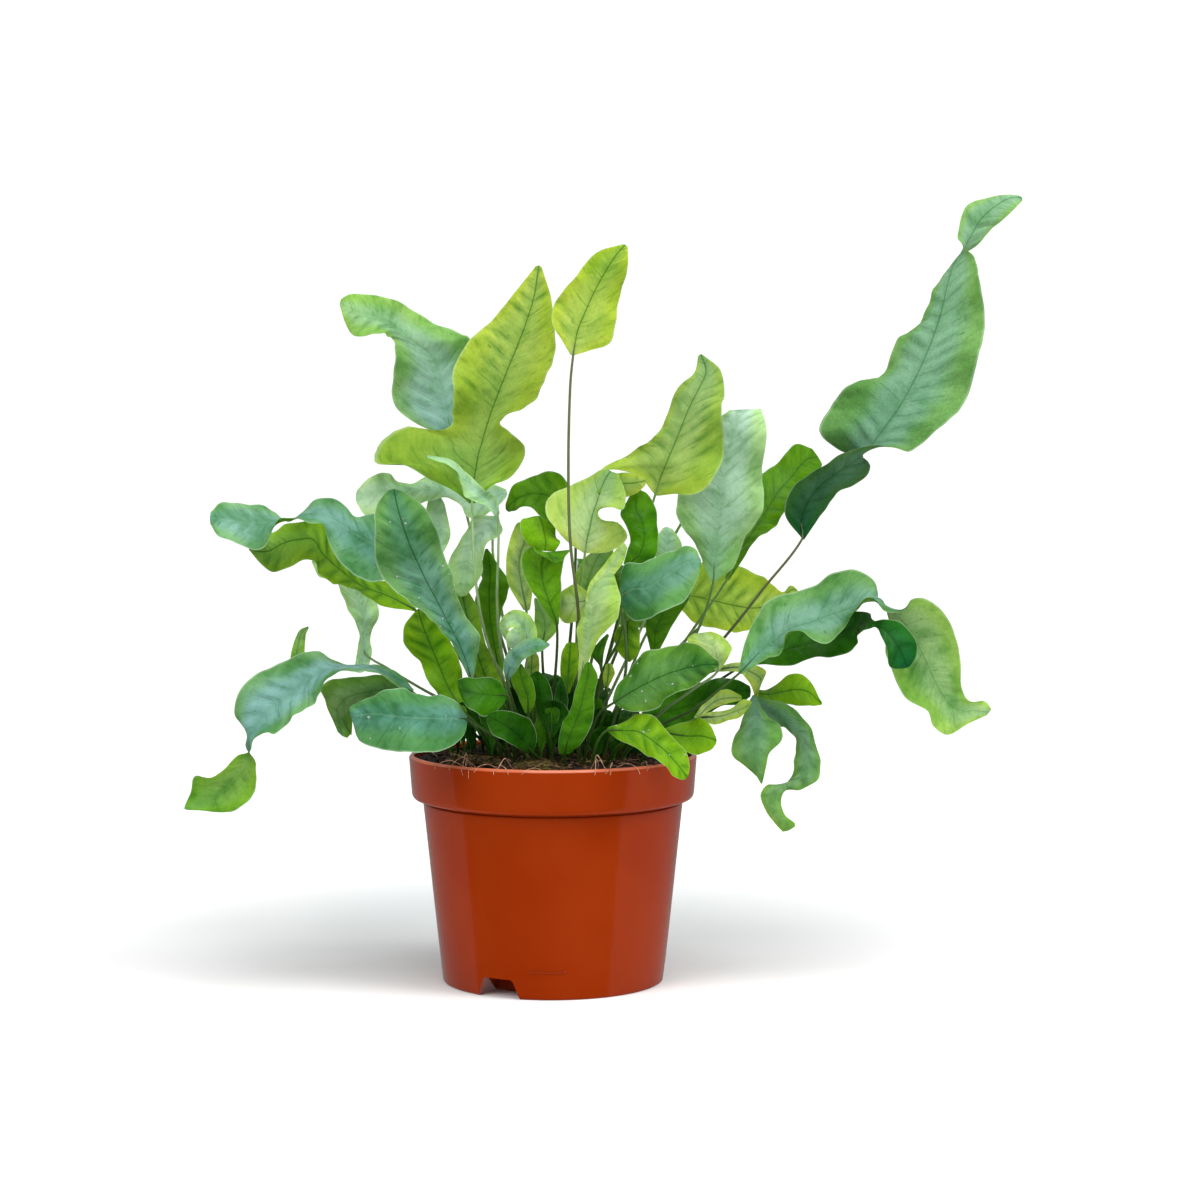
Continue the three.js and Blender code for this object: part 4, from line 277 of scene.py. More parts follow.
# The colours of a leaf: its upper face at the stalk and at the tip, its lower face at the stalk and at the
# tip; then how dark its veins are, from 0 for a pale midrib to 1 for a dark one, how much light comes
# through, and its gloss
LOOKS = {
    "ice": (ICE, MINT, MINT, PALE, 0.3, 0.25, 0.1),
    "ice to pale": (ICE, PALE, MINT, PALE, 0.3, 0.25, 0.1),
    "mint": (MINT, PALE, PALE, PALE, 0.4, 0.3, 0.2),
    "pale": (MIST, ICE, MINT, PALE, 0.35, 0.28, 0.15),
    "cream": (CREAM, PALE, PALE, CREAM, 0.3, 0.3, 0.2),
    "creamy": (CREAM, CREAM, PALE, CREAM, 0.4, 0.4, 0.2),
    "sky": (SEA, SKY, FERN, LEAF, 0.2, 0.15, 0.15),
    "haze to pale": (HAZE, PALE, GREEN, LIME, 0.3, 0.2, 0.2),
    "blue": (SEA, BLOOM, GREEN, LEAF, 0.25, 0.12, 0.15),
    "sea": (SEA, SEA, FERN, FERN, 0.3, 0.12, 0.2),
    # Its deep teal at the stalk end is painted shade where the blade folds
    "deep sea": (TEAL, BLOOM, FERN, FERN, 0.3, 0.12, 0.3),
    "haze to fern": (HAZE, SEA, GRASS, GRASS, 0.4, 0.15, 0.2),
    "bloom to grass": (BLOOM, GRASS, GRASS, LEAF, 0.4, 0.18, 0.3),
    "blue over grass": (BLOOM, SPRUCE, GREEN, PALE, 0.45, 0.15, 0.2),
    "teal": (SEA, JADE, FERN, LEAF, 0.95, 0.15, 0.4),
    # Its dark pine at the stalk end is painted shade in the blade's rolled base
    "glaucous": (PINE, MIST, LAGOON, MIST, 0.55, 0.26, 0.2),
    "fern": (FERN, FERN, FERN, GRASS, 0.8, 0.15, 0.4),
    "leafy": (GRASS, PALE, GRASS, PALE, 0.5, 0.25, 0.3),
    "dark": (GREEN, FOREST, OLIVE, OLIVE, 0.5, 0.12, 0.9),
    "dark to pine": (GREEN, PINE, OLIVE, OLIVE, 0.5, 0.12, 0.9),
    "darkest": (FOREST, FOREST, FOREST, OLIVE, 0.5, 0.1, 0.9),
    "dark to pale": (FOREST, PALE, MOSS, GRASS, 0.5, 0.2, 0.7),
    "green": (SPRUCE, GREEN, MOSS, LEAF, 0.5, 0.2, 0.7),
    "moss": (MOSS, MOSS, MOSS, MOSS, 0.5, 0.15, 0.7),
    "leaf to pale": (LEAF, PALE, MOSS, GRASS, 0.5, 0.2, 0.4),
    "leaf to moss": (LEAF, MOSS, LEAF, LEAF, 0.6, 0.25, 0.6),
    "leaf": (LEAF, LIME, GREEN, LEAF, 0.9, 0.3, 0.5),
    "lime": (GRASS, GLOW, LEAF, LIME, 1.0, 0.35, 0.4),
    "glow to sage": (GLOW, SAGE, LIME, LIME, 0.7, 0.35, 0.3),
    "grass to pear": (GRASS, PEAR, LEAF, LIME, 1.0, 0.35, 0.4),
    "glow to sun": (GLOW, SUN, LEAF, LIME, 1.0, 0.35, 0.4),
    "cream to pale": (CREAM, PALE, LIME, LIME, 0.7, 0.35, 0.3),
    "lime to grass": (LIME, GRASS, LIME, LEAF, 0.9, 0.3, 0.4),
    "bright": (CREAM, GLOW, LIME, GLOW, 1.0, 0.4, 0.4),
    "sunny": (SUN, GLOW, LIME, GLOW, 1.0, 0.4, 0.4),
    "yellow": (CREAM, GLOW, LIME, LIME, 0.6, 0.4, 0.3),
}

# The looks of a frond's blades, where they aren't the look that is named as its colour
LOOKS_OF = {
    "frond_01": ("grass to pear",),
    "frond_02": ("glow to sun",),
    "frond_03": ("ice", "ice to pale"),
    "frond_04": ("ice",),
    "frond_05": ("teal",),
    "frond_07": ("lime to grass",),
    "frond_08": ("ice to pale",),
    "frond_09": ("haze to fern", "leaf to pale"),
    "frond_10": ("dark to pale",),
    "frond_11": ("sea",),
    "frond_12": ("leaf",),
    "frond_13": ("leaf to moss",),
    "frond_14": ("lime to grass",),
    "frond_15": ("dark",),
    "frond_16": ("darkest",),
    "frond_17": ("sky",),
    "frond_18": ("leaf to moss",),
    "frond_19": ("mint", "ice to pale"),
    "frond_20": ("leaf to moss",),
    "frond_21": ("leafy",),
    "frond_22": ("yellow",),
    "frond_23": ("leaf to moss",),
    "frond_24": ("cream to pale", "lime"),
    "frond_25": ("moss",),
    "frond_27": ("deep sea",),
    "frond_28": ("cream", "creamy"),
    "frond_29": ("creamy",),
    "frond_30": ("moss",),
    "frond_31": ("fern",),
    "frond_32": ("leaf",),
    "frond_33": ("leaf",),
    "frond_35": ("creamy",),
    "frond_36": ("sunny",),
    "frond_37": ("pale",),
    "frond_38": ("glow to sage",),
    "frond_39": ("glaucous",),
    "frond_40": ("blue over grass",),
    "frond_41": ("dark to pine",),
    "frond_42": ("bright", "leaf", "bloom to grass", "bloom to grass"),
    "frond_43": ("yellow",),
    "frond_44": ("leaf to moss",),
    "frond_45": ("leaf",),
    "frond_46": ("moss", "sunny"),
    "frond_47": ("haze to pale",),
    "frond_48": ("leaf",),
    "frond_49": ("darkest",),
    "frond_51": ("leaf to pale",),
    "frond_52": ("moss",),
}

# Stalks: the colour at the foot, which is partly painted shade of the crown, the colour above by the frond's
# own, and the fronds whose stalk differs
STALK_FOOT_COLOR_AND_SHADE = (34, 58, 14)
STALK_SHADES = {"blue": (100, 136, 74), "green": (84, 122, 50), "dark": (56, 96, 24), "lime": (122, 158, 78),
                "pale": (162, 194, 134), "brown": (96, 102, 66)}
STALKS_OF = {"frond_01": "pale", "frond_02": "brown", "frond_03": "pale", "frond_04": "pale",
             "frond_39": "brown"}

# The colour of a point that has none of its own
GREY = (0.5, 0.5, 0.5, 1)

# The fronds whose upper faces carry drops of water, and how many
DROPS = {"frond_05": 22, "frond_31": 12, "frond_32": 5, "frond_11": 5}

# Every frond has a name, a colour, the place of its stalk in the soil (x, y), the height of the waves in its
# edges, the station where its stalk joins its first blade, the points that its stalk passes (x, z, depth),
# and one or more blades. A blade is a list of stations from its base to its tip: left edge x, z, midrib x,
# z, right edge x, z, the midrib's depth, and how much deeper each edge lies.
FRONDS = [
    # The tall lime frond with two side lobes, left of the middle
    ("frond_01", "lime", (-14, -13), 1.2, 0,
     [(-18.5, 119, -15), (-26.5, 139, -13), (-30.6, 156, -12), (-33, 178, -10)],
     [[
        (-34.6, 199, -33.5, 199.3, -32.4, 199, -8, 0, 0), (-42, 205, -33.2, 204.5, -26, 205, -7, -3, -1),
        (-52, 210, -32.7, 209, -19, 209.5, -6, -7, 1), (-63, 215.2, -32, 213, -14, 214, -5, -10, 3),
        (-74, 216, -31.3, 217, -11.5, 219, -4, -12, 2), (-71, 223.5, -30.8, 219.4, -12, 223, -3, -6, 0),
        (-60, 230.5, -30.3, 221.3, -15.3, 227, -2, 0, -2),
        (-50, 229.6, -29.6, 223.3, -18.5, 229.5, -1, 0, -3),
        (-42, 231.3, -28.2, 228.3, -20.5, 232, 0, -2, -3),
        (-41, 236, -25.7, 236.2, -15.5, 237.5, 1, -5, -4), (-42, 246, -22, 246, -6, 244.5, 3, -8, -6),
        (-40.5, 256, -18, 256, -1, 254, 6, -6, -6), (-35, 265.5, -14, 265.5, 1, 265, 9, -2, -5),
        (-26.5, 273.5, -10.5, 275, 0.5, 276.5, 12, 1, -3), (-17, 284.5, -7.5, 285, -1, 285.5, 15, 1, -2),
        (-7, 297, -5.6, 297.3, -4.4, 296.5, 19, 0, 0),
     ]]),
    # The arrow-shaped frond on the long thin stalk
    ("frond_02", "lime", (6.5, -25), 0.6, 0,
     [(10.8, 121, -31), (10.6, 153, -33), (7.2, 184, -33), (6.5, 216, -30), (7.3, 248, -26)],
     [[
        (7.4, 260.5, 8.5, 260.3, 9.6, 260.5, -24, 0, 0), (3, 267.5, 9.3, 265.5, 15.5, 262.3, -23, -2, 2),
        (0.3, 272, 10.5, 271, 23, 265, -22, -4, 5), (0.5, 279, 13.2, 277.5, 25.8, 274, -21, -5, 6),
        (3.5, 286, 16.5, 285, 28.6, 284.5, -19, -5, 5), (10.5, 294.5, 20.5, 292.5, 30.3, 294, -17, -4, 3),
        (19, 303, 25.5, 300.5, 31.2, 301.5, -15, -2, 1), (28.8, 306, 30, 305.8, 31, 305, -13, 0, 0),
     ]]),
    # The pale folded strip, and the blue blade that hangs from the top of the same stalk
    ("frond_03", "blue", (-11, -7), 0, 0,
     [(-18, 122, -6), (-22, 141, -3), (-23.2, 159, -1), (-22.7, 177, 1)],
     [[
        (-23.5, 193.5, -22.8, 193.8, -22, 194.6, 1, -1, 0),
        (-27, 196.5, -25.3, 198.5, -23, 200.5, -5, -5, 1),
        (-33.5, 201.5, -31.5, 204, -29, 205.5, -14, -7, 2),
        (-39, 208.5, -37, 210, -34.5, 210.8, -20, -7, 2), (-44, 215, -43, 216, -41.5, 216.6, -25, -4, 2),
        (-52, 218, -52.2, 218.6, -52, 219.3, -30, 0, 0),
     ], [
        (-22, 192, -22.5, 193, -23.5, 194, 1, 0, 0), (-21.5, 187, -27, 189, -33, 193.5, 5, -4, 4),
        (-26, 182.5, -31.5, 184, -37, 187.5, 6, -5, 4), (-29, 176, -35, 177, -40, 180, 7, -3, 3),
        (-30, 170, -36.5, 170.5, -43.5, 173, 6, -2, 2), (-32.5, 165, -37, 165, -42.5, 166, 3, 0, 0),
        (-36, 160.8, -38, 160.3, -39.5, 161, 0, 0, 0),
     ]]),
    # The blue frond behind the big front one, with its round lobe at the base
    ("frond_04", "blue", (-6, 5), 0.8, 1,
     [(-14, 121, 9), (-20.5, 150, 19.5), (-25, 180, 24.5)],
     [[
        (-19.5, 201.5, -18.8, 203, -19.5, 205, 23, 0, 0), (-24, 197, -24, 201.5, -24, 206.5, 21, -3, 3),
        (-33, 193.5, -33, 199.5, -33, 207, 18, -5, 5), (-42, 199, -42, 203.5, -42, 208, 14, -7, 6),
        (-51, 201.5, -51, 205, -51, 208.5, 10, -8, 8), (-60, 200, -60, 204.5, -60, 209, 5, -8, 8),
        (-69, 197, -69, 204, -69, 211.2, 0, -7, 6), (-78, 195, -77, 202.5, -76, 209.8, -5, -5, 4),
        (-81.3, 199, -81.8, 201.8, -81.3, 204.5, -7, -1, 1),
     ], [
        (-50, 176, -48.5, 175.5, -47, 176, 4, 0, 0), (-53, 185, -48, 184, -42.8, 184, 5, 0, 0),
        (-53, 192.5, -48, 192, -42.8, 190.5, 7, 0, 0), (-52, 198, -47.5, 199.5, -44.5, 197, 9, 0, 0),
        (-51.5, 204, -49.5, 204.5, -48.5, 204, 10.5, 0, 0),
     ]]),
    # The big blue-green frond at the front left, with drops on it
    ("frond_05", "blue", (-20, -27), 1, 0,
     [(-25, 104, -32), (-31, 117, -36)],
     [[
        (-35, 126, -34.2, 126.3, -33.3, 126, -38, 0, 0), (-39, 134.5, -36.5, 134, -31.6, 135, -39, -3, 5),
        (-44, 143, -40, 142.5, -30.8, 143.5, -41, -5, 7), (-50, 151.5, -44.5, 151, -35.5, 151, -43, -8, 6),
        (-60, 157, -48.5, 159, -39.5, 159.5, -46, -9, 3),
        (-67.5, 164.5, -52.5, 166.5, -42, 168, -49, -6, 5), (-73, 172.5, -56, 174, -44.5, 176, -52, -2, 6),
        (-74.3, 182, -59.5, 182, -46.8, 183.5, -55, -3, 2),
        (-74, 191.5, -62.3, 190, -49, 190.5, -57, -5, 1),
        (-72.5, 199, -64.5, 197.5, -53.5, 197.8, -58, -2, 1), (-69, 204, -66, 205, -62, 203.8, -58, 0, 0),
     ]]),
    # The blue ribbon that arches out to the far left
    ("frond_06", "blue", (-20, -11), 1, 0,
     [(-26, 112, -18), (-38, 137, -24), (-50, 160, -29)],
     [[
        (-57, 169.5, -57, 170.5, -56.5, 171.7, -32, 0, 0), (-66, 168.3, -65, 176, -63, 186, -32, -6, 5),
        (-76, 167, -74.5, 182, -74, 195, -30, -8, 7), (-84.5, 170, -84, 187.5, -83, 194.8, -28, -9, 7),
        (-90.5, 178, -90, 191.5, -89, 199, -26, -9, 6), (-94, 190.3, -96, 193.7, -96, 201.3, -25, -9, 6),
        (-102, 192.2, -102.5, 194, -102.5, 198.2, -25, -8, 7),
        (-109, 191.8, -109, 192.5, -109, 193.3, -26, -8, 8),
        (-115.5, 188.5, -116, 191.5, -116.5, 194.4, -28, -8, 7),
        (-122, 181.2, -123.5, 191, -124, 198, -31, -6, 6),
        (-131, 182, -131, 191.5, -131, 200.4, -34, -6, 6),
        (-138.5, 184.8, -138, 192.5, -138, 199.2, -37, -4, 5),
        (-142.2, 190.5, -142.4, 193, -142, 195.5, -39, 0, 1),
     ]]),
    # The green ribbon below it, seen from its lower side
    ("frond_07", "green", (-19, -5), 0.8, 0,
     [(-25, 112, -9), (-37, 132, -13), (-48, 147, -15)],
     [[
        (-56.5, 153.8, -57, 154.6, -57, 155.6, -16, 0, 0),
        (-68.5, 156.5, -68.5, 160.5, -67.5, 166, -17, -4, 5), (-80, 160.5, -80, 165, -79, 170, -17, -6, 5),
        (-90, 166.7, -89, 172, -86, 179, -15, -7, 5), (-97.3, 169.7, -96, 178.5, -90, 188, -13, -5, 3),
        (-100, 174.5, -99.5, 184, -97, 192.3, -12, -4, 2),
        (-106.5, 174.8, -106, 184, -104.5, 190.6, -12, -4, 2),
        (-112, 172.3, -112, 182.5, -111.5, 190.5, -13, -4, 3),
        (-117, 170.2, -117.5, 179.5, -117, 187.5, -15, -3, 4),
        (-121.5, 174, -121.5, 179, -121, 184, -18, -1, 2),
        (-126.2, 179.7, -126.3, 180.4, -126, 181.2, -21, 0, 0),
     ]]),
    # The pale frond that stands up behind the left side
    ("frond_08", "pale", (-22, 1), 0.5, 1,
     [(-34, 110, 12), (-55, 122, 23), (-69, 130.5, 30)],
     [[
        (-83, 129, -80, 128.5, -77, 130, 34, 0, 0), (-81.5, 138, -78.5, 137, -75.3, 137.5, 36, -2, 1),
        (-81.3, 146, -78.8, 146, -76, 145, 38, -4, 4), (-84.5, 156, -79, 155, -72.5, 155.5, 39, -5, 5),
        (-90.5, 164.5, -84, 163, -76, 164, 38, -6, 6), (-97.5, 169.8, -94, 171, -88, 171, 36, -4, 4),
        (-100.3, 174.8, -99.5, 175.7, -98.3, 176, 34, 0, 0),
     ]]),
    # The blue frond that arches down at the lower left and twists before its tip
    ("frond_09", "blue", (-18, -17), 1, 0,
     [(-27, 102.5, -17), (-43, 111.5, -24)],
     [[
        (-57.8, 118.8, -58.2, 120, -58, 121.5, -29, 0, 0), (-65, 122.7, -65, 126, -65, 129, -29, -6, 6),
        (-76, 129.6, -76, 130.6, -76, 131.5, -29, -10, 9), (-88, 128, -88, 131, -88, 133.5, -30, -12, 10),
        (-98, 120.8, -99, 127.5, -101, 136.4, -32, -11, 9), (-104, 112, -110, 119.5, -115, 133, -35, -8, 7),
        (-111, 106.2, -119, 112.5, -127, 124.5, -38, -6, 5),
        (-119, 105.6, -124.5, 106, -133, 112, -40, -7, 4),
        (-124, 101, -127, 100.8, -129.3, 103, -41, -6, 4),
        (-125.6, 96.5, -127, 96.2, -128.4, 97, -41, -6, 5),
        (-131, 93, -127.5, 91.5, -124.6, 90, -40, -4, 4), (-140, 86.5, -132, 85.5, -123.6, 83, -38, -2, 2),
        (-149.5, 85.3, -138.5, 78.5, -127, 74.5, -37, 2, -3),
        (-152.3, 77.5, -146, 74.5, -134, 70.2, -37, 3, -4),
        (-154.3, 71.6, -153.2, 71, -150, 70.8, -38, 0, 0),
     ], [
        (-109.5, 133, -107, 132.5, -103, 133.5, -25, 0, 0),
        (-108.8, 139, -106.3, 139.2, -103.3, 139.5, -21, 0, 0),
        (-106, 145, -104.5, 145, -102.8, 144.5, -18, 0, 0),
        (-102.6, 147.6, -102, 147.9, -101.6, 147.2, -16, 0, 0),
     ]]),
    # The dark leaf under that arch
    ("frond_10", "dark", (-25, -8), 0.6, 0,
     [(-34, 104, -10), (-45, 112.5, -12)],
     [[
        (-56.5, 117.5, -57, 118.7, -57, 120, -12, 0, 0), (-66, 117, -66, 121.5, -66, 126, -10, -5, 3),
        (-76, 113, -77, 120.5, -78, 128, -10, -6, 4), (-83, 108, -86, 118, -90, 126, -12, -6, 4),
        (-84, 103, -90, 113, -97.3, 120.8, -16, -5, 3), (-84.2, 103, -89.3, 107.5, -93.8, 114, -19, -2, 2),
        (-85.8, 101.2, -88, 102, -90, 104, -22, 0, 0),
     ]]),
    # The blue leaf in front of the rim on the left
    ("frond_11", "blue", (-9, -39), 0.7, 0,
     [(-15, 98.5, -43), (-25, 102.5, -48)],
     [[
        (-35.6, 107.9, -35.8, 109, -35.8, 110.2, -52, 0, 0),
        (-38, 101.3, -39.5, 109.3, -39.5, 114.5, -54, -4, 3),
        (-46, 96.4, -47.5, 109.3, -47, 119.7, -58, -6, 8), (-57, 94.3, -57, 109.5, -57, 120.7, -61, -8, 10),
        (-66, 95.8, -66, 110.3, -66, 120.7, -63, -6, 8), (-74, 97, -75, 111.3, -75, 119.7, -63, -4, 7),
        (-80.5, 100, -82, 110.5, -83, 116, -62, -2, 4), (-83.3, 107, -84.4, 110.8, -84.9, 113.6, -61, 0, 0),
     ]]),
    # The lime leaf behind the big front one
    ("frond_12", "lime", (-21.5, -21), 0.7, 0,
     [(-29, 104, -24)],
     [[
        (-38.5, 113, -37.3, 112.5, -36, 112, -26, 0, 0), (-51.5, 123.5, -43, 121, -37, 120, -24, 0, 2),
        (-55, 131.8, -47, 130.5, -38.5, 130, -21, 3, 2), (-61, 138, -50.5, 139, -40.5, 138, -20, 4, 2),
        (-61.8, 146, -53.5, 146.5, -45, 146, -21, 3, 2), (-59, 152, -55.5, 152.5, -50, 152, -22, 2, 1),
        (-57, 154.5, -56, 155, -54.8, 154.5, -23, 0, 0),
     ]]),
    # The dark upright leaf between the two tall stalks
    ("frond_13", "dark", (-13, 0), 0.5, 0,
     [(-17.5, 108, 4)],
     [[
        (-22, 123, -21, 122.7, -20, 123, 9, 0, 0), (-26.5, 138, -24, 138, -21.5, 138, 12, 1, 2),
        (-30, 150, -26, 150, -21.3, 150, 14, 2, 2), (-31.5, 162, -26.5, 162, -19.5, 161, 16, 2, 2),
        (-30.5, 170, -26, 170, -18.5, 167.5, 18, 2, 1), (-29, 176, -26.5, 176, -22.5, 174, 19, 1, 1),
        (-28.2, 180, -27.3, 180.3, -26.5, 179.5, 20, 0, 0),
     ]]),
    # The green leaf behind the stem of the big front one
    ("frond_14", "green", (-17.5, -3), 0.5, 0,
     [(-20, 104, -3)],
     [[
        (-25, 112, -24, 111.7, -23, 112, -2, 0, 0), (-33, 123, -27, 123.5, -20, 126, 0, 0, 0),
        (-36, 134, -31, 135, -25, 134.5, 1, 0, -1), (-39, 146, -34.5, 147, -29, 146, 2, 0, -2),
        (-41, 157, -37, 158, -32, 157, 3, 0, -1), (-40.5, 164, -38.5, 165, -36, 164, 4, 0, 0),
     ]]),
    # The small leaf that lies open in front of the crown, left
    ("frond_15", "green", (-15, -31), 0.4, 0,
     [(-17, 106, -39)],
     [[
        (-19.3, 117.5, -19, 119, -19.3, 120.7, -44, 0, 0), (-24, 112, -24, 119, -24, 125.5, -47, -4, 3),
        (-30, 111.2, -30, 119.5, -30, 127.2, -50, -5, 4), (-35.5, 113.6, -36, 120.5, -36, 127, -51, -3, 3),
        (-39, 120.5, -39.6, 122.5, -39.8, 125.5, -51, 0, 1),
     ]]),
    # The round leaf just above the rim, left of the middle
    ("frond_16", "green", (-4, -36.5), 0.4, 0,
     [],
     [[
        (-9.8, 95, -8.8, 95.3, -7.8, 96, -43, 0, 0), (-15.5, 97.3, -12, 99.5, -6.5, 102, -46, -3, 2),
        (-20.5, 99.7, -16.5, 104, -9.5, 108.8, -50, -4, 4), (-24.3, 103, -21, 107, -15, 111.6, -53, -3, 3),
        (-27, 107, -25, 109.3, -21.5, 112.8, -55, -1, 2),
        (-27.8, 109.5, -27.2, 110.7, -25.8, 111.9, -56, 0, 0),
     ]]),
    # The small blue arch above it
    ("frond_17", "blue", (-11, -25), 0.3, 0,
     [(-15.5, 112, -36)],
     [[
        (-19.8, 125.5, -19.2, 125.2, -18.4, 125.3, -43, 0, 0),
        (-20.5, 132, -17.8, 131, -15, 129.5, -48, 2, -1),
        (-18.5, 138.3, -15, 136.5, -12, 133.7, -52, 4, -2),
        (-12, 142.6, -10.5, 139.3, -8.3, 136.4, -55, 4, -3),
        (-6.5, 143, -5.5, 140.5, -4.3, 138.2, -58, 3, -2), (-2, 141, -1.3, 140.3, -1.8, 139.4, -60, 0, 0),
     ]]),
    # The small upright green leaf in the middle of the crown
    ("frond_18", "green", (-7.5, -31), 0.3, 0,
     [],
     [[
        (-11.5, 111.6, -10.3, 111.3, -9.3, 112, -38, 0, 0),
        (-14.5, 118, -10.5, 118, -6.8, 117.5, -40, 1, -2), (-17.3, 124, -12.5, 124.5, -8, 123, -41, 1, -2),
        (-17, 128.5, -13.7, 129, -10.8, 128.3, -42, 0, -1),
        (-14, 131.8, -13.3, 132.3, -12.6, 131.8, -43, 0, 0),
     ]]),
    # The round lime leaf that curls like a scroll, with its pale inner roll
    ("frond_19", "pale", (-7, -18.5), 0, 0,
     [(-9.5, 110, -22), (-12, 123, -29.5)],
     [[
        (-13, 137.5, -10.5, 137, -8, 137.5, -32, 0, 0), (-14.5, 143.5, -11, 144, -6.6, 145, -33, -2, 0),
        (-16, 146.5, -13.5, 149, -9.5, 152.5, -34, -3, 1), (-17.5, 147, -17, 150.5, -16, 155, -35, -4, 1),
        (-18.8, 146, -20, 148.8, -21, 152.5, -36, -4, 0),
        (-19.2, 143.5, -20.8, 145.5, -22.3, 148, -36, -3, 0), (-18.3, 141, -19.5, 142, -21, 144, -35, 0, 0),
     ], [
        (-12.8, 138.6, -11.2, 138.3, -9.6, 138.6, -32.1, 0, 0),
        (-18, 139.3, -14.5, 139, -10.2, 139.4, -36, 0, 1.5),
        (-19, 142.5, -15.5, 142, -11.5, 141.5, -40, 1, 3), (-18, 146, -15.2, 146, -12, 144.5, -41, 1, 2),
        (-16, 147.4, -14.8, 147.5, -13.6, 147, -41, 0, 0),
     ]]),
    # The dark leaf bent like an S, with its pale blue top folded over to the front
    ("frond_20", "dark", (-2, -20), 0, 0,
     [(0.5, 122, -24)],
     [[
        (2.5, 148.8, 1.7, 148.5, 0.8, 148.5, -27, 0, 0), (3, 157.5, -1.5, 157.5, -5.5, 158, -26, 2, -1),
        (3.8, 166, -4, 165, -10, 163.7, -24, 3, -2), (4.5, 173, -5, 172, -12.4, 171, -22, 3, -3),
        (5.2, 177.8, -4, 177, -11.8, 177.5, -21, 2, -3), (6.4, 181.2, -2.6, 178.8, -9.5, 180.5, -23, 1, -1),
        (6.7, 179.8, -0.8, 176.6, -7, 179.2, -27, 1, 1), (4, 175.2, 0.7, 174.3, -3, 176.8, -30, 0, 1),
     ]]),
    # The blue-green leaf under it
    ("frond_21", "blue", (-1.5, -14), 0.3, 0,
     [(-3.5, 120, -17)],
     [[
        (-6, 140.5, -4.5, 140, -3, 140.8, -20, 0, 0), (-7.3, 146, -3.3, 146, 1.3, 145.8, -19, -1, 1),
        (-7.8, 151, -3.8, 151.5, 1.2, 151.5, -18, -1, 1), (-8, 156, -6, 156, -2, 156, -17, -1, 1),
        (-7.8, 159.5, -7.2, 159.8, -6.4, 159.4, -16, 0, 0),
     ]]),
    # The lime leaf with its top folded over to the right
    ("frond_22", "lime", (-7, -12), 0, 0,
     [(-9, 124, -14)],
     [[
        (-12.5, 155, -11, 154.3, -9.5, 155, -13, 0, 0), (-18.5, 165.5, -13, 165, -8, 165, -12, 0, 2),
        (-19.5, 175, -14, 175, -7, 174, -11, -1, 2), (-17.3, 185, -11.5, 184, -3, 183, -10, -1, 2),
        (-15, 191, -9, 190.5, 0, 189.5, -10, -1, 2), (-12.3, 194, -6, 193.5, 0.7, 190.7, -13, -1, 2),
        (-13.8, 190.5, -4, 188, 2.3, 186.3, -17, -1, 2), (-13, 185.5, -3, 183.5, 3.2, 183, -19, -1, 1),
        (-8.5, 180.3, -3.3, 179.3, 0.8, 179, -20, 0, 1),
     ]]),
    # The dark leaf at the back of the middle
    ("frond_23", "dark", (3, -1), 0.5, 0,
     [(6, 130, 6), (9, 165, 15), (9.5, 188, 21)],
     [[
        (8.6, 199, 8.8, 200.3, 9.5, 201.5, 24, 0, 0), (1, 193, 1.5, 201, 3.5, 210.6, 27, -4, 5),
        (-5, 194, -5, 203, -5.5, 212.6, 30, -6, 6), (-10, 196.6, -11, 202.5, -12, 209.5, 33, -6, 5),
        (-15, 196.2, -16, 200, -17, 205.3, 35, -5, 3), (-18.3, 195.5, -19.5, 196.6, -19.6, 199, 36, 0, 0),
     ]]),
    # The lobed lime leaf at the top of the middle
    ("frond_24", "lime", (8, -13), 0.5, 0,
     [(9.5, 130, -15), (10.6, 158, -15)],
     [[
        (12.7, 178.5, 13.4, 178.5, 14.3, 178.3, -14, 0, 0), (7, 182.3, 13.9, 182.5, 22, 178.8, -14, -2, -2),
        (1, 187.5, 14.5, 185.5, 28.5, 182.3, -14, -4, -3), (-3, 193, 15.2, 188.5, 31.2, 186, -13, -5, -4),
        (-3, 199.5, 15.9, 191.5, 27.5, 191.8, -12, -4, -5),
        (0.5, 203.5, 16.3, 193.7, 21.5, 193.3, -11, -3, -3), (6, 206, 17.2, 196.6, 20.2, 196, -10, -1, -2),
        (11.5, 208.5, 18.6, 200.5, 25, 197.3, -9, 0, -4), (16, 210.6, 20, 205, 29.7, 198, -8, 1, -4),
        (20, 213, 21.7, 209, 30, 204.5, -7, 1, -1), (23, 213.6, 24, 212.5, 27, 211.5, -6, 0, 0),
     ], [
        (18.3, 204, 19.3, 203, 20.3, 202, -8.7, 0, 0), (26, 211.5, 27.5, 207, 29.5, 201.5, -6, 1, 0),
        (32, 211.5, 33.5, 207.5, 35, 203.3, -5.5, 1, 0), (38, 210, 38.6, 208.5, 38.4, 206.5, -5, 0, 0),
     ]]),
    # The dark bean-shaped leaf right of it
    ("frond_25", "dark", (13, -9.5), 0.3, 0,
     [(21, 128, -10), (28, 155, -10)],
     [[
        (29.3, 174, 31, 173, 33.5, 172.7, -10, 0, 0), (31, 180, 36, 178, 41, 175.5, -9, 0, 2),
        (32, 184.5, 38, 185, 44.2, 184, -7, 0, 3), (30.5, 190, 37, 191.5, 44.3, 191, -5, 1, 3),
        (28.5, 195, 34.5, 197, 42, 198.5, -2.5, 2, 2), (30.5, 199.5, 34.5, 201.5, 38.7, 203.3, -0.5, 1, 1),
        (33, 204.5, 34.3, 205.2, 35.7, 205, 0, 0, 0),
     ]]),
    # The small pale leaf behind the big round one
    ("frond_26", "pale", (13, 4), 0.2, 0,
     [(24, 120, 12), (39, 152, 25)],
     [[
        (44.5, 169, 46, 168.7, 47.5, 169, 31, 0, 0), (42.5, 178, 47, 178, 53, 176, 34, 1, -1),
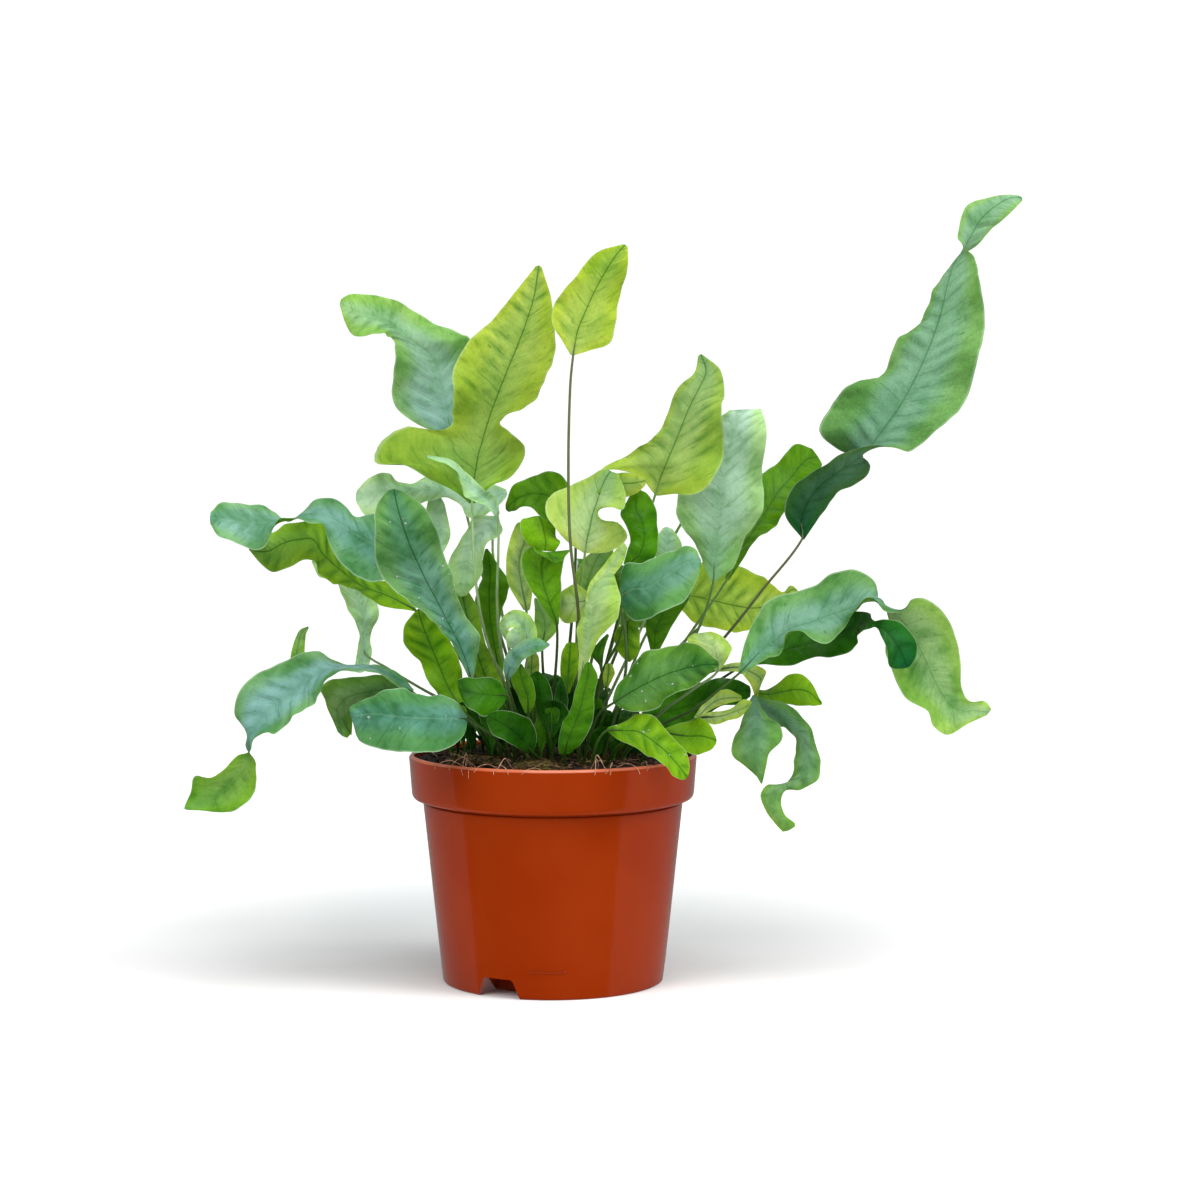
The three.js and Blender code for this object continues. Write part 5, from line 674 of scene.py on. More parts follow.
        (43.5, 185, 47.5, 185, 53.5, 182.5, 38, 1, -1), (45.7, 188.8, 47.3, 189.3, 49.5, 188.5, 40, 0, 0),
     ]]),
    # The big round blue leaf on the right of the crown, and the dark one under it
    ("frond_27", "blue", (21, -26), 0.5, 0,
     [(30, 127, -33), (30, 147, -37)],
     [[
        (27.6, 160.2, 27.4, 159, 27.5, 157.8, -38, 0, 0), (29.5, 173, 32, 163, 33, 150.7, -38, 6, -5),
        (38, 173.6, 39.5, 164, 41, 151.3, -40, 9, -6), (45, 179.5, 46, 168, 48.5, 154.8, -41, 10, -6),
        (53, 181, 52.5, 172.5, 55, 159, -41, 9, -5), (59, 179.3, 58, 175, 60, 167, -41, 5, -2),
        (61.5, 175.8, 61.6, 174.5, 61.5, 172.5, -41, 0, 0),
     ]]),
    # The long pale leaf folded along its midrib
    ("frond_28", "pale", (11, -30.5), 0.3, 0,
     [(11, 108, -37)],
     [[
        (10.4, 123, 11.2, 122.7, 12.2, 123, -41, 0, 0), (10.4, 133, 12.8, 133.5, 15, 133.3, -42, 1, -1),
        (10.8, 142, 14.5, 143, 19, 143, -43, 2, -2), (11.2, 151, 15.8, 152, 27.3, 151, -44, 2, -3),
        (13, 159.5, 16.8, 160.5, 28.2, 159, -44, 2, -3), (17.5, 165, 20.5, 166.5, 26.8, 165.5, -43, 1, -1),
        (23.5, 170, 24.6, 170.3, 25.4, 169.3, -42, 0, 0),
     ], [
        (13.5, 158.5, 14.6, 157.8, 15.6, 157.2, -43.6, 0, 0),
        (15.3, 165.5, 17.5, 164.5, 20, 163.5, -38, 1, 0), (20, 172, 22.5, 170.5, 25.5, 169.5, -34, 1, 0),
        (25, 178.8, 27, 177, 29.3, 174.8, -31, 1, 0), (29, 182.8, 30, 182.3, 31, 180.5, -29, 0, 0),
     ]]),
    # The lime leaf behind it
    ("frond_29", "lime", (7.5, -19), 0.2, 0,
     [(14, 124, -25), (18, 145, -27)],
     [[
        (17.8, 157.3, 18, 158.5, 18, 159.7, -27, 0, 0), (10, 150.5, 10, 158, 10, 165.6, -23, 0, 1),
        (5, 149.3, 5, 157, 5, 164.3, -20, 0, 1), (1.8, 154.5, 1.6, 157.5, 2, 161, -18, 0, 0),
     ]]),
    # The narrow waved frond at the very front
    ("frond_30", "green", (5.5, -40.5), 0.7, 0,
     [],
     [[
        (2.6, 94.6, 4.8, 94.2, 7, 94.7, -43.5, 0, 0), (2.3, 99.5, 6, 99.5, 11.5, 99, -45, 0, 0),
        (4, 107, 9, 107, 15.8, 106, -47, 0, -1), (7, 113, 11.5, 114, 16.8, 113, -49, 0, -2),
        (9, 120.5, 13, 121, 17.5, 120.5, -50, -1, 0), (11.3, 127, 14.5, 127.5, 18.6, 127, -51, 0, 1),
        (13.3, 132.2, 14.8, 133, 16.5, 132, -52, 0, 0),
     ]]),
    # The green frond at the front right, with drops on it
    ("frond_31", "green", (13, -36), 0.7, 0,
     [(18.5, 110.5, -44)],
     [[
        (24.8, 117, 25.2, 115.9, 26, 115, -48, 0, 0), (27, 125, 31, 119.5, 33, 112.3, -51, 5, -3),
        (35, 132.3, 38, 123.5, 41, 113.3, -55, 8, -5), (43, 138.2, 46, 127.3, 49, 118, -59, 10, -5),
        (51.5, 142, 54, 130, 57, 122, -63, 10, -4), (59, 140, 61, 131.5, 63.5, 127, -66, 7, -2),
        (66, 135.7, 66.5, 132, 67.3, 129.8, -68, 3, -1), (68.7, 133.2, 69, 132, 68.9, 130.8, -69, 0, 0),
     ]]),
    # The lime leaf that hangs over the rim at the front right
    ("frond_32", "lime", (16.5, -41), 0.6, 0,
     [(18.3, 99, -46)],
     [[
        (22.7, 105.5, 22.7, 104.5, 23.2, 103.5, -51, 0, 0),
        (27.5, 107.5, 28.5, 104.3, 28.5, 99.8, -54, 3, -2), (34, 111.3, 35.5, 103.8, 35, 97.2, -58, 5, -4),
        (41.5, 109.5, 41.5, 100, 40.5, 94, -61, 6, -4), (48.5, 103, 47, 95.5, 45.5, 89.5, -64, 5, -4),
        (55, 97, 52, 90, 50, 85.2, -66, 4, -3), (57, 89.5, 55, 86, 53.5, 83.7, -67, 1, -1),
        (56.6, 85.6, 56, 84.6, 55, 83.6, -67, 0, 0),
     ]]),
    # The short lime leaf behind it
    ("frond_33", "lime", (22.5, -33), 0.5, 0,
     [(33, 102.5, -42)],
     [[
        (45.5, 104.6, 45.5, 103.5, 46, 102.4, -46, 0, 0), (55, 108.7, 55.5, 102, 56, 95.3, -47, 4, -3),
        (61, 109.2, 61.5, 102, 61.5, 94.9, -48, 4, -3), (66, 105.8, 66, 101, 65.8, 96, -48, 2, -1),
        (68, 101.5, 68.3, 100, 67.9, 98.5, -48, 0, 0),
     ]]),
    # The long dark leaf in the shade on the right
    ("frond_34", "dark", (31, -16), 0.6, 0,
     [],
     [[
        (33.5, 107.5, 33.7, 106.3, 34, 105.2, -19, 0, 0), (42, 117, 43, 111, 44, 104.5, -20, 2, -2),
        (52, 121, 53, 113.5, 54, 105.5, -20, 2, -2), (61, 124, 62, 117, 63, 109.5, -20, 2, -2),
        (69, 126.5, 70, 121, 71, 114.5, -20, 1, -2), (77, 125.5, 77.5, 121, 78, 115.5, -20, 1, -1),
        (82, 123, 82.5, 121, 82.3, 118.5, -20, 0, 0),
     ]]),
    # The pale round leaf behind the front right frond
    ("frond_35", "pale", (28, -24), 0.4, 0,
     [(43, 110, -33), (59, 122, -39)],
     [[
        (67.5, 129.4, 68.7, 129.2, 70, 130, -40, 0, 0), (62, 134, 68, 136.5, 73.8, 136.5, -41, 0, 0),
        (58, 138.5, 66, 140.5, 74.9, 140, -40, 0, 1), (56, 142, 63, 143, 71.5, 144.2, -38, 0, 2),
        (58.5, 144.8, 61.5, 145.2, 65.5, 145.8, -36, 0, 0),
     ]]),
    # The broad yellow-lime frond behind the right side
    ("frond_36", "lime", (19, 7), 0.8, 0,
     [(28, 118, 16), (39, 145, 29)],
     [[
        (49.5, 161, 50, 159.8, 50.2, 158.5, 37, 0, 0), (58, 172, 58, 160.5, 57, 151, 43, 6, -4),
        (67, 176, 67, 158.5, 66, 147.5, 49, 9, -6), (77, 174.3, 76, 156.5, 74.5, 145, 54, 9, -7),
        (86, 168.7, 84, 155.5, 83, 147.7, 58, 8, -6), (92, 164, 90.5, 157, 89.5, 150, 61, 4, -3),
        (96, 162.7, 96, 160.5, 95.5, 157, 63, 1, -1), (99, 165, 99.6, 163.3, 100, 161, 65, 0, 0),
        (101.2, 163.6, 101.8, 162.9, 101.8, 161.7, 66, 0, 0),
     ]]),
    # The big pale blue-green frond, upright on the right
    ("frond_37", "blue", (19, -1), 1, 0,
     [(36, 113, 3), (53, 133, 6), (61.5, 149, 7)],
     [[
        (65.7, 166.5, 66.6, 166, 67.5, 166.5, 8, 0, 0), (61.5, 174.5, 67, 174.5, 75, 173, 9, 2, 2),
        (58, 184.5, 67.7, 184, 80.5, 184, 10, 3, 3), (51.5, 195, 68.7, 193.5, 85.5, 194, 11, 4, 3),
        (51.5, 205, 70, 204, 87.6, 205, 12, 5, 2), (56, 215, 71.3, 214.5, 87.2, 215.5, 14, 5, 0),
        (62, 224.5, 73, 224, 88.8, 228.5, 16, 4, -2), (69, 234, 75.5, 232.5, 87.5, 235, 18, 3, -3),
        (73, 237.7, 79, 238, 86.3, 238.2, 20, 0, 0),
     ]]),
    # The lime frond with a side lobe, right of the middle
    ("frond_38", "lime", (12, -3.5), 0.9, 0,
     [(18, 118, -2), (29, 155, 1), (37, 184, 3)],
     [[
        (41.6, 203.6, 42.5, 202.6, 43.6, 202.2, 3, 0, 0), (36, 210, 44.3, 208.5, 51.5, 203, 2, -1, -4),
        (27, 213.2, 45.8, 212.5, 58.5, 202.5, 1, -1, -8), (20.3, 214, 47, 215.5, 65, 206, 0, 0, -9),
        (26, 218.6, 48.5, 219, 68.5, 213, 0, 3, -8), (36, 221.3, 50.2, 223, 70.2, 221, 0, 4, -7),
        (43, 227, 53.3, 230.5, 70.8, 231.5, 0, 3, -6), (47, 236, 56.5, 238.5, 70.5, 240, 1, 2, -5),
        (51.5, 246.3, 60.5, 246.5, 70.6, 247, 3, 1, -4), (58.5, 253, 63.5, 253.5, 69.5, 254.3, 6, 0, -2),
        (60.2, 260, 61.3, 260.8, 62.5, 260.3, 9, 0, 0),
     ]]),
    # The long frond at the top right: dark and rolled at its base, broad, then twisted to its pale tip
    ("frond_39", "green", (25, -1), 1.1, 0,
     [(46, 116, -2), (72, 144, -3), (87, 163, -2)],
     [[
        (103, 185.2, 103.6, 184.3, 104.4, 184, 0, 0, 0), (97, 192.6, 103, 191, 108.5, 190, 0, -3, 2),
        (96.2, 197.5, 105.5, 199, 112.5, 196, -1, -4, 4), (100.5, 206.3, 111.5, 207, 118, 203, -2, -6, 6),
        (110.5, 214.5, 119, 212.5, 127, 207.5, -3, -8, 8),
        (122, 220.5, 126, 217.5, 131, 214.5, -4, -10, 11),
        (135, 221.3, 131, 221.3, 119.5, 220.5, -4, -10, 10),
        (146, 221.6, 135.5, 227.5, 111, 229.5, -3, -9, 8), (155, 226, 141, 235, 113.8, 237.5, -1, -7, 6),
        (164.5, 233, 146, 243, 118.5, 244, 2, -6, 4), (170.5, 241.5, 150, 250.5, 127, 248.3, 5, -6, 3),
        (175.3, 255.5, 153.7, 258.3, 136.5, 254, 8, -6, 2), (178, 266.5, 157.5, 268, 141.7, 264, 11, -5, 2),
        (178.3, 279, 160.7, 278, 149, 271.5, 14, -5, 2), (176.5, 292, 163, 288, 156, 283.5, 17, -5, 3),
        (174, 300, 165.5, 296.5, 161.8, 292.3, 20, -5, 4),
        (171, 303.3, 168.6, 302, 166.2, 300.5, 22, -5, 5),
        (168.2, 310, 172, 308.5, 177.5, 308.2, 24, -3, 4), (169.5, 320, 176.5, 316, 183.5, 313.8, 27, 0, 2),
        (176, 324.2, 182.5, 321.5, 188, 318.2, 30, 1, 1),
        (185, 326.4, 188.5, 324.8, 191.3, 321.3, 33, 0, 0),
        (192, 326, 193.5, 325.2, 193.6, 323.7, 35, 0, 0),
     ]]),
    # The blue frond that arches to the right and turns its green side out as it comes down
    ("frond_40", "blue", (26, -19.5), 1, 0,
     [(38, 103, -24), (59, 113.5, -32), (70, 122, -35)],
     [[
        (77.3, 129.3, 77.8, 128.5, 78.4, 127.9, -35, 0, 0), (80.3, 143, 86, 137, 90, 134.6, -33, 4, -3),
        (85, 152.5, 92.5, 142, 93, 136.5, -31, 7, -6), (91, 159, 99, 147, 97.5, 144.6, -30, 8, -8),
        (100, 163, 107, 149.5, 105.5, 143.2, -30, 9, -8),
        (109.5, 165.5, 113.5, 152, 112.5, 141.6, -30, 9, -8),
        (117, 169.8, 119.5, 154, 118.5, 144.8, -30, 9, -7),
        (124.5, 171, 125, 156, 123.5, 150.8, -31, 9, -7),
        (132, 168.5, 130, 158.5, 128.3, 155.7, -32, 9, -7),
        (137.3, 163.5, 134.5, 159.3, 133.5, 157.6, -33, 9, -8),
        (137.5, 157.5, 138.2, 157, 139, 156.4, -33, 9, -9), (138, 149.5, 143, 153, 146, 156.6, -32, 9, -8),
        (138.5, 141, 148, 147.5, 153, 159, -30, 7, -6), (140, 133.5, 152, 140.5, 161, 155.5, -28, 4, -4),
        (143, 125, 155.8, 132.5, 167, 145, -26, 0, -1), (148, 117, 159.3, 125, 170, 134, -24, -3, 0),
        (155.5, 112.5, 163, 118.5, 170.3, 123, -22, -4, 0), (158.5, 106, 167, 114, 173, 117.3, -21, -5, 1),
        (165, 102.5, 171.5, 112.5, 178, 117, -20, -4, 2), (173, 107, 176.5, 112.8, 181, 116, -19, -2, 1),
        (181, 110.8, 182, 112, 182.8, 113.3, -18, 0, 0),
     ]]),
    # The dark frond below it, with its lobe in front of the turned tip
    ("frond_41", "dark", (21, -6.5), 0.4, 0,
     [(42, 108, -4), (64, 122, -7)],
     [[
        (79.5, 132.9, 80, 132, 80.6, 131.3, -9, 0, 0), (88, 139, 88, 135, 88, 131.8, -10, 2, -2),
        (97, 144, 97, 138, 98, 131.8, -12, 4, -3), (106, 147, 106, 140.5, 107, 134, -12, 5, -4),
        (115, 149, 115, 142.5, 116.5, 134.8, -14, 5, -5),
        (122, 153, 122.5, 146.5, 124.5, 139.8, -19, 4, -5),
        (129, 154, 129.5, 149.8, 130, 145.2, -29, 2, -4),
        (133.6, 150.3, 134, 148.9, 133.8, 147.6, -40, 0, 0),
        (138.5, 150.8, 138.5, 146, 137, 143, -46, 1, -2),
        (145.5, 149.3, 142.5, 141, 138.3, 137, -49, 2, -3),
        (151.3, 142.5, 145.3, 136.3, 140, 131.5, -50, 2, -3),
        (151.5, 136, 147, 132.5, 142.5, 130, -50, 1, -1),
        (149.5, 132.2, 148.3, 131, 146.5, 130.3, -49, 0, 0),
     ]]),
    # The lobed frond that hangs at the lower right
    ("frond_42", "blue", (26, -8), 0.6, 0,
     [(45, 115, -12), (58, 125, -14.5)],
     [[
        (68.7, 131, 68.9, 130, 69, 129, -15, 0, 0), (77, 133, 77, 130.8, 77, 128.6, -14, 1, -1),
        (85, 131.5, 83, 128.5, 81, 125.6, -13, 0, -2), (89, 128.8, 86.5, 126, 83, 122.5, -13, 0, -1),
        (87, 124, 85.5, 121.5, 83.8, 119.5, -12, 0, 0), (85.5, 119, 84.5, 118, 83.7, 117.2, -13, 0, 0),
     ], [
        (84, 121.5, 84.3, 120, 84.5, 118.3, -12, 0, 0), (89, 122, 89.5, 119.5, 90, 116.8, -8, 3, -2),
        (95, 124.7, 95.5, 120.5, 96, 116.6, -4, 4, -3), (101, 127.6, 101.5, 121.5, 101.5, 114.5, -1, 4, -3),
        (107, 126.6, 106.5, 120.5, 107, 114.4, 2, 3, -2), (110.5, 119, 110.3, 117, 110.5, 114.9, 4, 0, -1),
        (112, 116.5, 112.2, 115.7, 111.8, 115, 4, 0, 0),
     ], [
        (84.8, 118.8, 83.8, 119.3, 83, 118.8, -12, 0, 0), (88, 113, 84.5, 112, 80, 112.3, -20, 1, 2),
        (92.5, 107, 84.5, 105.5, 76.8, 106, -25, 3, 3), (95.3, 101.5, 84.3, 99.5, 75.4, 99, -28, 4, 3),
        (92, 95, 84.7, 94, 76.7, 93, -29, 3, 3), (89.3, 89.5, 85.5, 88.5, 80.5, 88.8, -29, 2, 2),
        (88, 84.5, 86.8, 84.3, 85, 85, -28, 0, 0), (87.4, 82.3, 87, 81.9, 86.6, 82.3, -28, 0, 0),
     ], [
        (84.8, 119, 84.5, 118, 84.7, 117, -12, 0, 0), (91, 116.8, 90, 113, 89, 110, -13, -3, 3),
        (98, 114.7, 95, 110, 92.5, 106, -15, -4, 4), (104, 110.3, 99.5, 106.3, 96.5, 104.5, -18, -4, 5),
        (108.5, 104.5, 104, 102, 100.8, 100.8, -20, -3, 5), (110.2, 97, 106, 96, 101.9, 95, -22, -2, 5),
        (112.2, 90, 106.5, 89.5, 101.3, 89.5, -23, 0, 4), (111, 83.5, 104.5, 85, 98.5, 85, -23, 2, 2),
        (103.5, 81.2, 99, 82.5, 93.5, 81.8, -23, 3, 1), (97, 79, 93, 79, 88.5, 80.5, -24, 3, 0),
        (95.6, 74.5, 91.5, 75, 86.6, 77, -25, 2, 0), (96.8, 69.5, 93.5, 69.5, 89.3, 70, -26, 1, 1),
        (101, 65.5, 97.5, 64.5, 93.3, 64.5, -27, 0, 1), (101.2, 64, 98.5, 62.3, 96, 61.8, -27, 0, 0),
     ]]),
    # Two small leaves under the front right frond, on one stalk
    ("frond_43", "green", (36, -27), 0.3, 0,
     [(47, 101, -31)],
     [[
        (60.5, 110.3, 61, 109.6, 61.5, 108.9, -32, 0, 0), (67, 112.8, 68, 110, 67.5, 106.7, -34, 2, -1),
        (74, 113.5, 74, 111.5, 73, 108.8, -35, 2, -1), (80, 117, 80, 114, 78.5, 110.3, -36, 2, -1),
        (83, 116.5, 82.7, 115.5, 82, 114.3, -37, 0, 0),
     ], [
        (58.8, 109.9, 59.6, 109, 60.4, 108.4, -31.6, 0, 0),
        (62.5, 115.5, 63.8, 113.5, 64.8, 112.3, -29, 1, 0), (67, 119.6, 68.5, 117, 69.5, 114.6, -27, 1, 0),
        (73, 121.5, 74, 118, 75, 116.3, -26, 1, 0), (78.5, 119, 78.8, 118, 78.5, 117, -25, 0, 0),
     ]]),
    # The frond behind the big blue-green one: dark below, lime above
    ("frond_44", "lime", (25, 7.5), 0.6, 0,
     [(43, 124, 15), (62, 152, 22)],
     [[
        (71.5, 168, 72.3, 167.2, 73.3, 167, 28, 0, 0), (76, 185, 79, 181, 82, 180, 35, 4, -2),
        (83, 199, 87, 193, 92, 190.8, 42, 6, -3), (87, 212, 93, 203, 98, 197, 48, 6, -4),
        (95, 217.8, 99.5, 210.5, 104, 204, 54, 5, -3), (101.5, 223.5, 105, 217, 109.5, 211, 59, 3, -2),
        (107.5, 221.8, 110, 218.5, 111.8, 215.3, 62, 0, 0),
     ]]),
    # The dark lime leaf that hangs under the big round one
    ("frond_45", "green", (16, -17), 0.2, 0,
     [(20, 127, -22), (27, 141, -28), (29.8, 149.3, -28.5)],
     [[
        (33, 150.7, 31.3, 151.2, 29.9, 150.7, -26.5, 0, 0), (36, 145.5, 31, 146, 26, 146, -22.5, 0.5, 0.5),
        (36.3, 139.5, 31.2, 139, 25.5, 140, -20, 1, 1), (34.3, 135, 31.5, 135, 28.5, 135.3, -19, 0, 0),
        (32.5, 133.3, 31.8, 133, 31, 133.3, -19, 0, 0),
     ]]),
    # Two small leaves on one stalk, right of the folded pale leaf
    ("frond_46", "green", (15.5, -24.5), 0, 0,
     [(22.5, 117, -30)],
     [[
        (19.3, 131.5, 19.9, 130.8, 20.6, 130.6, -33, 0, 0),
        (16, 136.5, 18.8, 136.5, 21.2, 136.5, -35, 0, 0), (19, 141.5, 20.5, 141.5, 22.3, 141, -36, 0, 0),
        (22.2, 144.5, 22.8, 144.8, 23.4, 144, -36, 0, 0),
     ], [
        (21.4, 122, 22.2, 121.3, 23, 122, -31, 0, 0), (20.8, 127.5, 23, 127.5, 25.8, 128, -34, 0, 0),
        (22, 132, 23.3, 132.6, 24.8, 132, -36, 0, 0),
     ]]),
    # The blue frond behind the tall lobed one, with its tip folded over to the left
    ("frond_47", "blue", (-8, 11), 0.9, 0,
     [(-16, 125, 23), (-28, 165, 40), (-37, 200, 50)],
     [[
        (-43, 226.7, -41.5, 226, -40, 226.7, 54, 0, 0), (-57, 232.3, -43.5, 235, -36, 236, 55, -3, 3),
        (-65.5, 240, -45.5, 243.5, -34, 247, 56, -6, 4), (-66, 252, -48, 253, -33, 257, 56, -8, 4),
        (-65.6, 263, -51.5, 261, -33, 265, 55, -8, 3), (-66, 268, -58, 266, -37, 268.5, 52, -5, 7),
        (-69.5, 268.8, -65, 271.5, -50, 275, 49, -5, 10), (-75, 268.5, -72, 275.5, -63, 281.8, 46, -5, 9),
        (-81.5, 268.4, -79.5, 277.5, -74, 284.7, 43, -4, 7),
        (-85.5, 273.5, -85, 279.5, -83, 285.7, 41, -2, 3),
        (-87.7, 280, -87.9, 281.7, -87.3, 283.5, 40, 0, 0),
     ]]),
    # Small leaves in the heart of the crown
    ("frond_48", "lime", (3.5, -25.5), 0.2, 0,
     [(4, 106, -25)],
     [[
        (4.2, 120, 5.5, 119.5, 7, 120, -24, 0, 0), (3, 129, 6.5, 129, 10, 129.5, -23, 0, 1),
        (3.5, 136.5, 7, 137, 10.6, 136.5, -22, 0, 1), (5.5, 140.8, 7.5, 141.3, 9.8, 141, -21, 0, 0),
     ]]),
    ("frond_49", "dark", (0, -32.5), 0.2, 0,
     [],
     [[
        (-2.4, 102.5, -1.4, 102, -0.4, 102.5, -35, 0, 0), (-7, 112, -4, 111, -0.5, 111, -35, 1, 0),
        (-9, 121, -5.5, 120.5, 0, 119, -34, 2, 0), (-9.3, 127.5, -6.5, 126.5, -2, 125, -33, 1, 0),
        (-7.5, 129, -6.3, 129.2, -5, 128.5, -33, 0, 0),
     ], [
        (-1.6, 102, -0.5, 101.4, 0.7, 102.3, -35, 0, 0), (0.2, 111, 2.5, 111, 5, 110.5, -33, 0, 0),
        (0.6, 118, 3.3, 118, 6.3, 117, -31, 0, 0), (2, 124, 3.4, 123.7, 5.2, 122, -30, 0, 0),
        (2.7, 126.2, 3.4, 126.4, 4.2, 125.6, -29, 0, 0),
     ]]),
    ("frond_50", "lime", (-6, -24.5), 0.2, 0,
     [(-8, 108, -25)],
     [[
        (-10, 121.5, -8.8, 121, -7.5, 121.5, -23, 0, 0), (-12, 128, -9, 128.5, -5.8, 128.5, -22, 0, 0),
        (-11.3, 134, -8.8, 134.5, -5.8, 134.3, -22, 0, 0), (-9.5, 137.2, -8.3, 137.6, -7, 137, -23, 0, 0),
     ]]),
    ("frond_51", "dark", (9, -7.5), 0.3, 0,
     [(9.5, 125, -7)],
     [[
        (9.5, 149, 10.8, 148.5, 12.2, 149, -6, 0, 0), (8, 162, 13, 161, 19, 162.5, -4, 0, 0),
        (10, 171, 16, 171, 23, 171.5, -3, 0, 0), (14, 177, 19, 177.3, 25, 177, -3, 0, 0),
        (20, 181, 22.5, 181.7, 25, 181, -3, 0, 0),
     ]]),
    ("frond_52", "dark", (19.5, -12), 0.4, 0,
     [(29, 115, -11)],
     [[
        (41, 136, 42, 135.5, 43.2, 136, -8, 0, 0), (38.5, 148.5, 43, 147, 49, 146.5, -12, 0, 0),
        (41, 156, 47, 155, 53.5, 154.5, -15, 0, 0), (46.5, 161.5, 51.5, 161.3, 57.3, 161, -18, 0, 0),
        (53, 166.5, 55, 166.8, 57, 166.3, -20, 0, 0),
     ]]),
    # Fronds at the back of the plant, where the photographed side hides them
    ("frond_53", "blue", (-15, 12), 1.2, 0,
     [(-27, 122, 30), (-40, 143, 52)],
     [[
        (-46, 149.5, -47, 150.5, -48, 151.2, 62, 0, 0), (-43, 144, -48.5, 151, -54, 155.5, 72, -3, 3),
        (-42, 139, -49.5, 148, -57.5, 153.5, 84, -5, 3), (-42.5, 133, -50, 143, -58, 148, 96, -5, 2),
        (-44.5, 128, -50.5, 136.5, -55.5, 140.5, 106, -4, 0),
        (-47, 125, -50.8, 129.5, -53, 132.5, 113, -2, -1),
        (-49.2, 123.8, -50.4, 125, -51.4, 126.3, 117, 0, 0),
     ]]),
    ("frond_54", "green", (3, 15), 1.2, 0,
     [(10, 130, 34), (15, 157, 56)],
     [[
        (17.5, 167.8, 18.5, 168, 19.5, 167.6, 66, 0, 0), (11, 174, 22, 174, 34, 171, 76, 6, -2),
        (10, 174, 25, 173.5, 42, 168, 88, 7, -3), (11, 168.5, 27, 166.5, 45, 160.5, 100, 5, -3),
        (14, 159, 29, 156, 44, 150.5, 110, 3, -2), (21, 153, 30.5, 150.5, 39, 148.5, 117, 1, -1),
        (28, 148.5, 30.7, 147.3, 33, 147, 121, 0, 0),
     ]]),
    ("frond_55", "blue", (22, 16), 1.2, 0,
     [(36, 121, 38), (53, 140, 62)],
     [[
        (61, 149.7, 62, 148.8, 62.8, 148, 72, 0, 0), (64.5, 163, 67.5, 157, 69, 150.5, 82, 3, -2),
        (73, 169.5, 76, 160, 77, 151.5, 94, 4, -3), (82.5, 168, 84, 158.5, 84, 150, 106, 4, -3),
        (90, 161.5, 90.5, 154.5, 90, 149, 116, 3, -2), (95, 155, 95.5, 151.5, 95, 149, 123, 1, -1),
        (98, 151, 98.3, 150, 98, 149, 127, 0, 0),
     ]]),
    ("frond_56", "green", (12, 21), 1, 0,
     [(32, 150, 38), (54, 192, 56)],
     [[
        (62.5, 206.8, 63.6, 206.5, 64.6, 206, 63, 0, 0), (57, 216, 67, 213, 78, 209, 68, 5, -3),
        (57.5, 226, 70.5, 221.5, 83.5, 217, 76, 6, -4), (60, 234, 73.5, 228, 85.8, 223.5, 86, 5, -5),
        (65.5, 236.5, 75.5, 231.5, 84, 227.5, 98, 3, -4), (71, 234.5, 76.5, 231.5, 80.5, 229, 108, 1, -2),
        (75, 230.5, 76.7, 229.6, 78.5, 228.8, 115, 0, 0),
     ]]),
]


def linear(color):
    """A colour out of 255 as Blender's linear red, green, blue and alpha."""
    parts = [c / 255 for c in color]
    return tuple(c / 12.92 if c < 0.04045 else ((c + 0.055) / 1.055) ** 2.4 for c in parts) + (1,)


# Smooth lines and surfaces

def unit(vectors):
    """Vectors with the length of 1."""
    return vectors / np.maximum(np.linalg.norm(vectors, axis=-1, keepdims=True), 1e-9)


def headings(points):
    """The direction of a smooth line at each of its points."""
    before = np.vstack([points[:1], points[:-1]])
    after = np.vstack([points[1:], points[-1:]])
    length = np.linalg.norm(before - points, axis=1) + np.linalg.norm(points - after, axis=1)
    return (after - before) / length[:, None]


def on_line(points, places):
    """Points on the smooth line through the given ones: a place counts the points passed."""
    i = np.clip(np.floor(places).astype(int), 0, len(points) - 2)
    t = (places - i)[:, None]
    span = np.linalg.norm(points[i + 1] - points[i], axis=1)[:, None]
    turn = headings(points)
    out = points[i] * (2 * t ** 3 - 3 * t ** 2 + 1) + points[i + 1] * (3 * t ** 2 - 2 * t ** 3)
    return out + span * (turn[i] * (t ** 3 - 2 * t ** 2 + t) + turn[i + 1] * (t ** 3 - t ** 2))


def cut(points, step):
    """Places along a smooth line, about a step apart, and one at each of its points."""
    places = [0.0]
    for i in range(len(points) - 1):
        count = max(2, round(np.linalg.norm(points[i + 1] - points[i]) / step))
        places += [i + (k + 1) / count for k in range(count)]
    return np.array(places)


def seen(x, z, depth):
    """The place of a point of the fronds' table."""
    spread = (depth - EYE[1]) / -EYE[1]
    return EYE[0] + (x - EYE[0]) * spread, depth, EYE[2] + (z - EYE[2]) * spread


def rails_of(stations):
    """The left edge, midrib and right edge of a blade, point by point."""
    left = [seen(s[0], s[1], s[6] + s[7]) for s in stations]
    middle = [seen(s[2], s[3], s[6]) for s in stations]
    right = [seen(s[4], s[5], s[6] + s[8]) for s in stations]
    return np.array(left), np.array(middle), np.array(right)


# Meshes

def circle(radius, height, sides, centre=(0, 0)):
    """A level ring of points."""
    angles = [2 * math.pi * k / sides for k in range(sides)]
    return [(centre[0] + radius * math.cos(a), centre[1] + radius * math.sin(a), height) for a in angles]


def sleeve(rings, sides):
    """Faces between rings of points that follow one another."""
    faces = []
    for start in range(0, (rings - 1) * sides, sides):
        for k in range(sides):
            a = start + k
            b = start + (k + 1) % sides
            faces.append((a, b, b + sides, a + sides))
    return faces


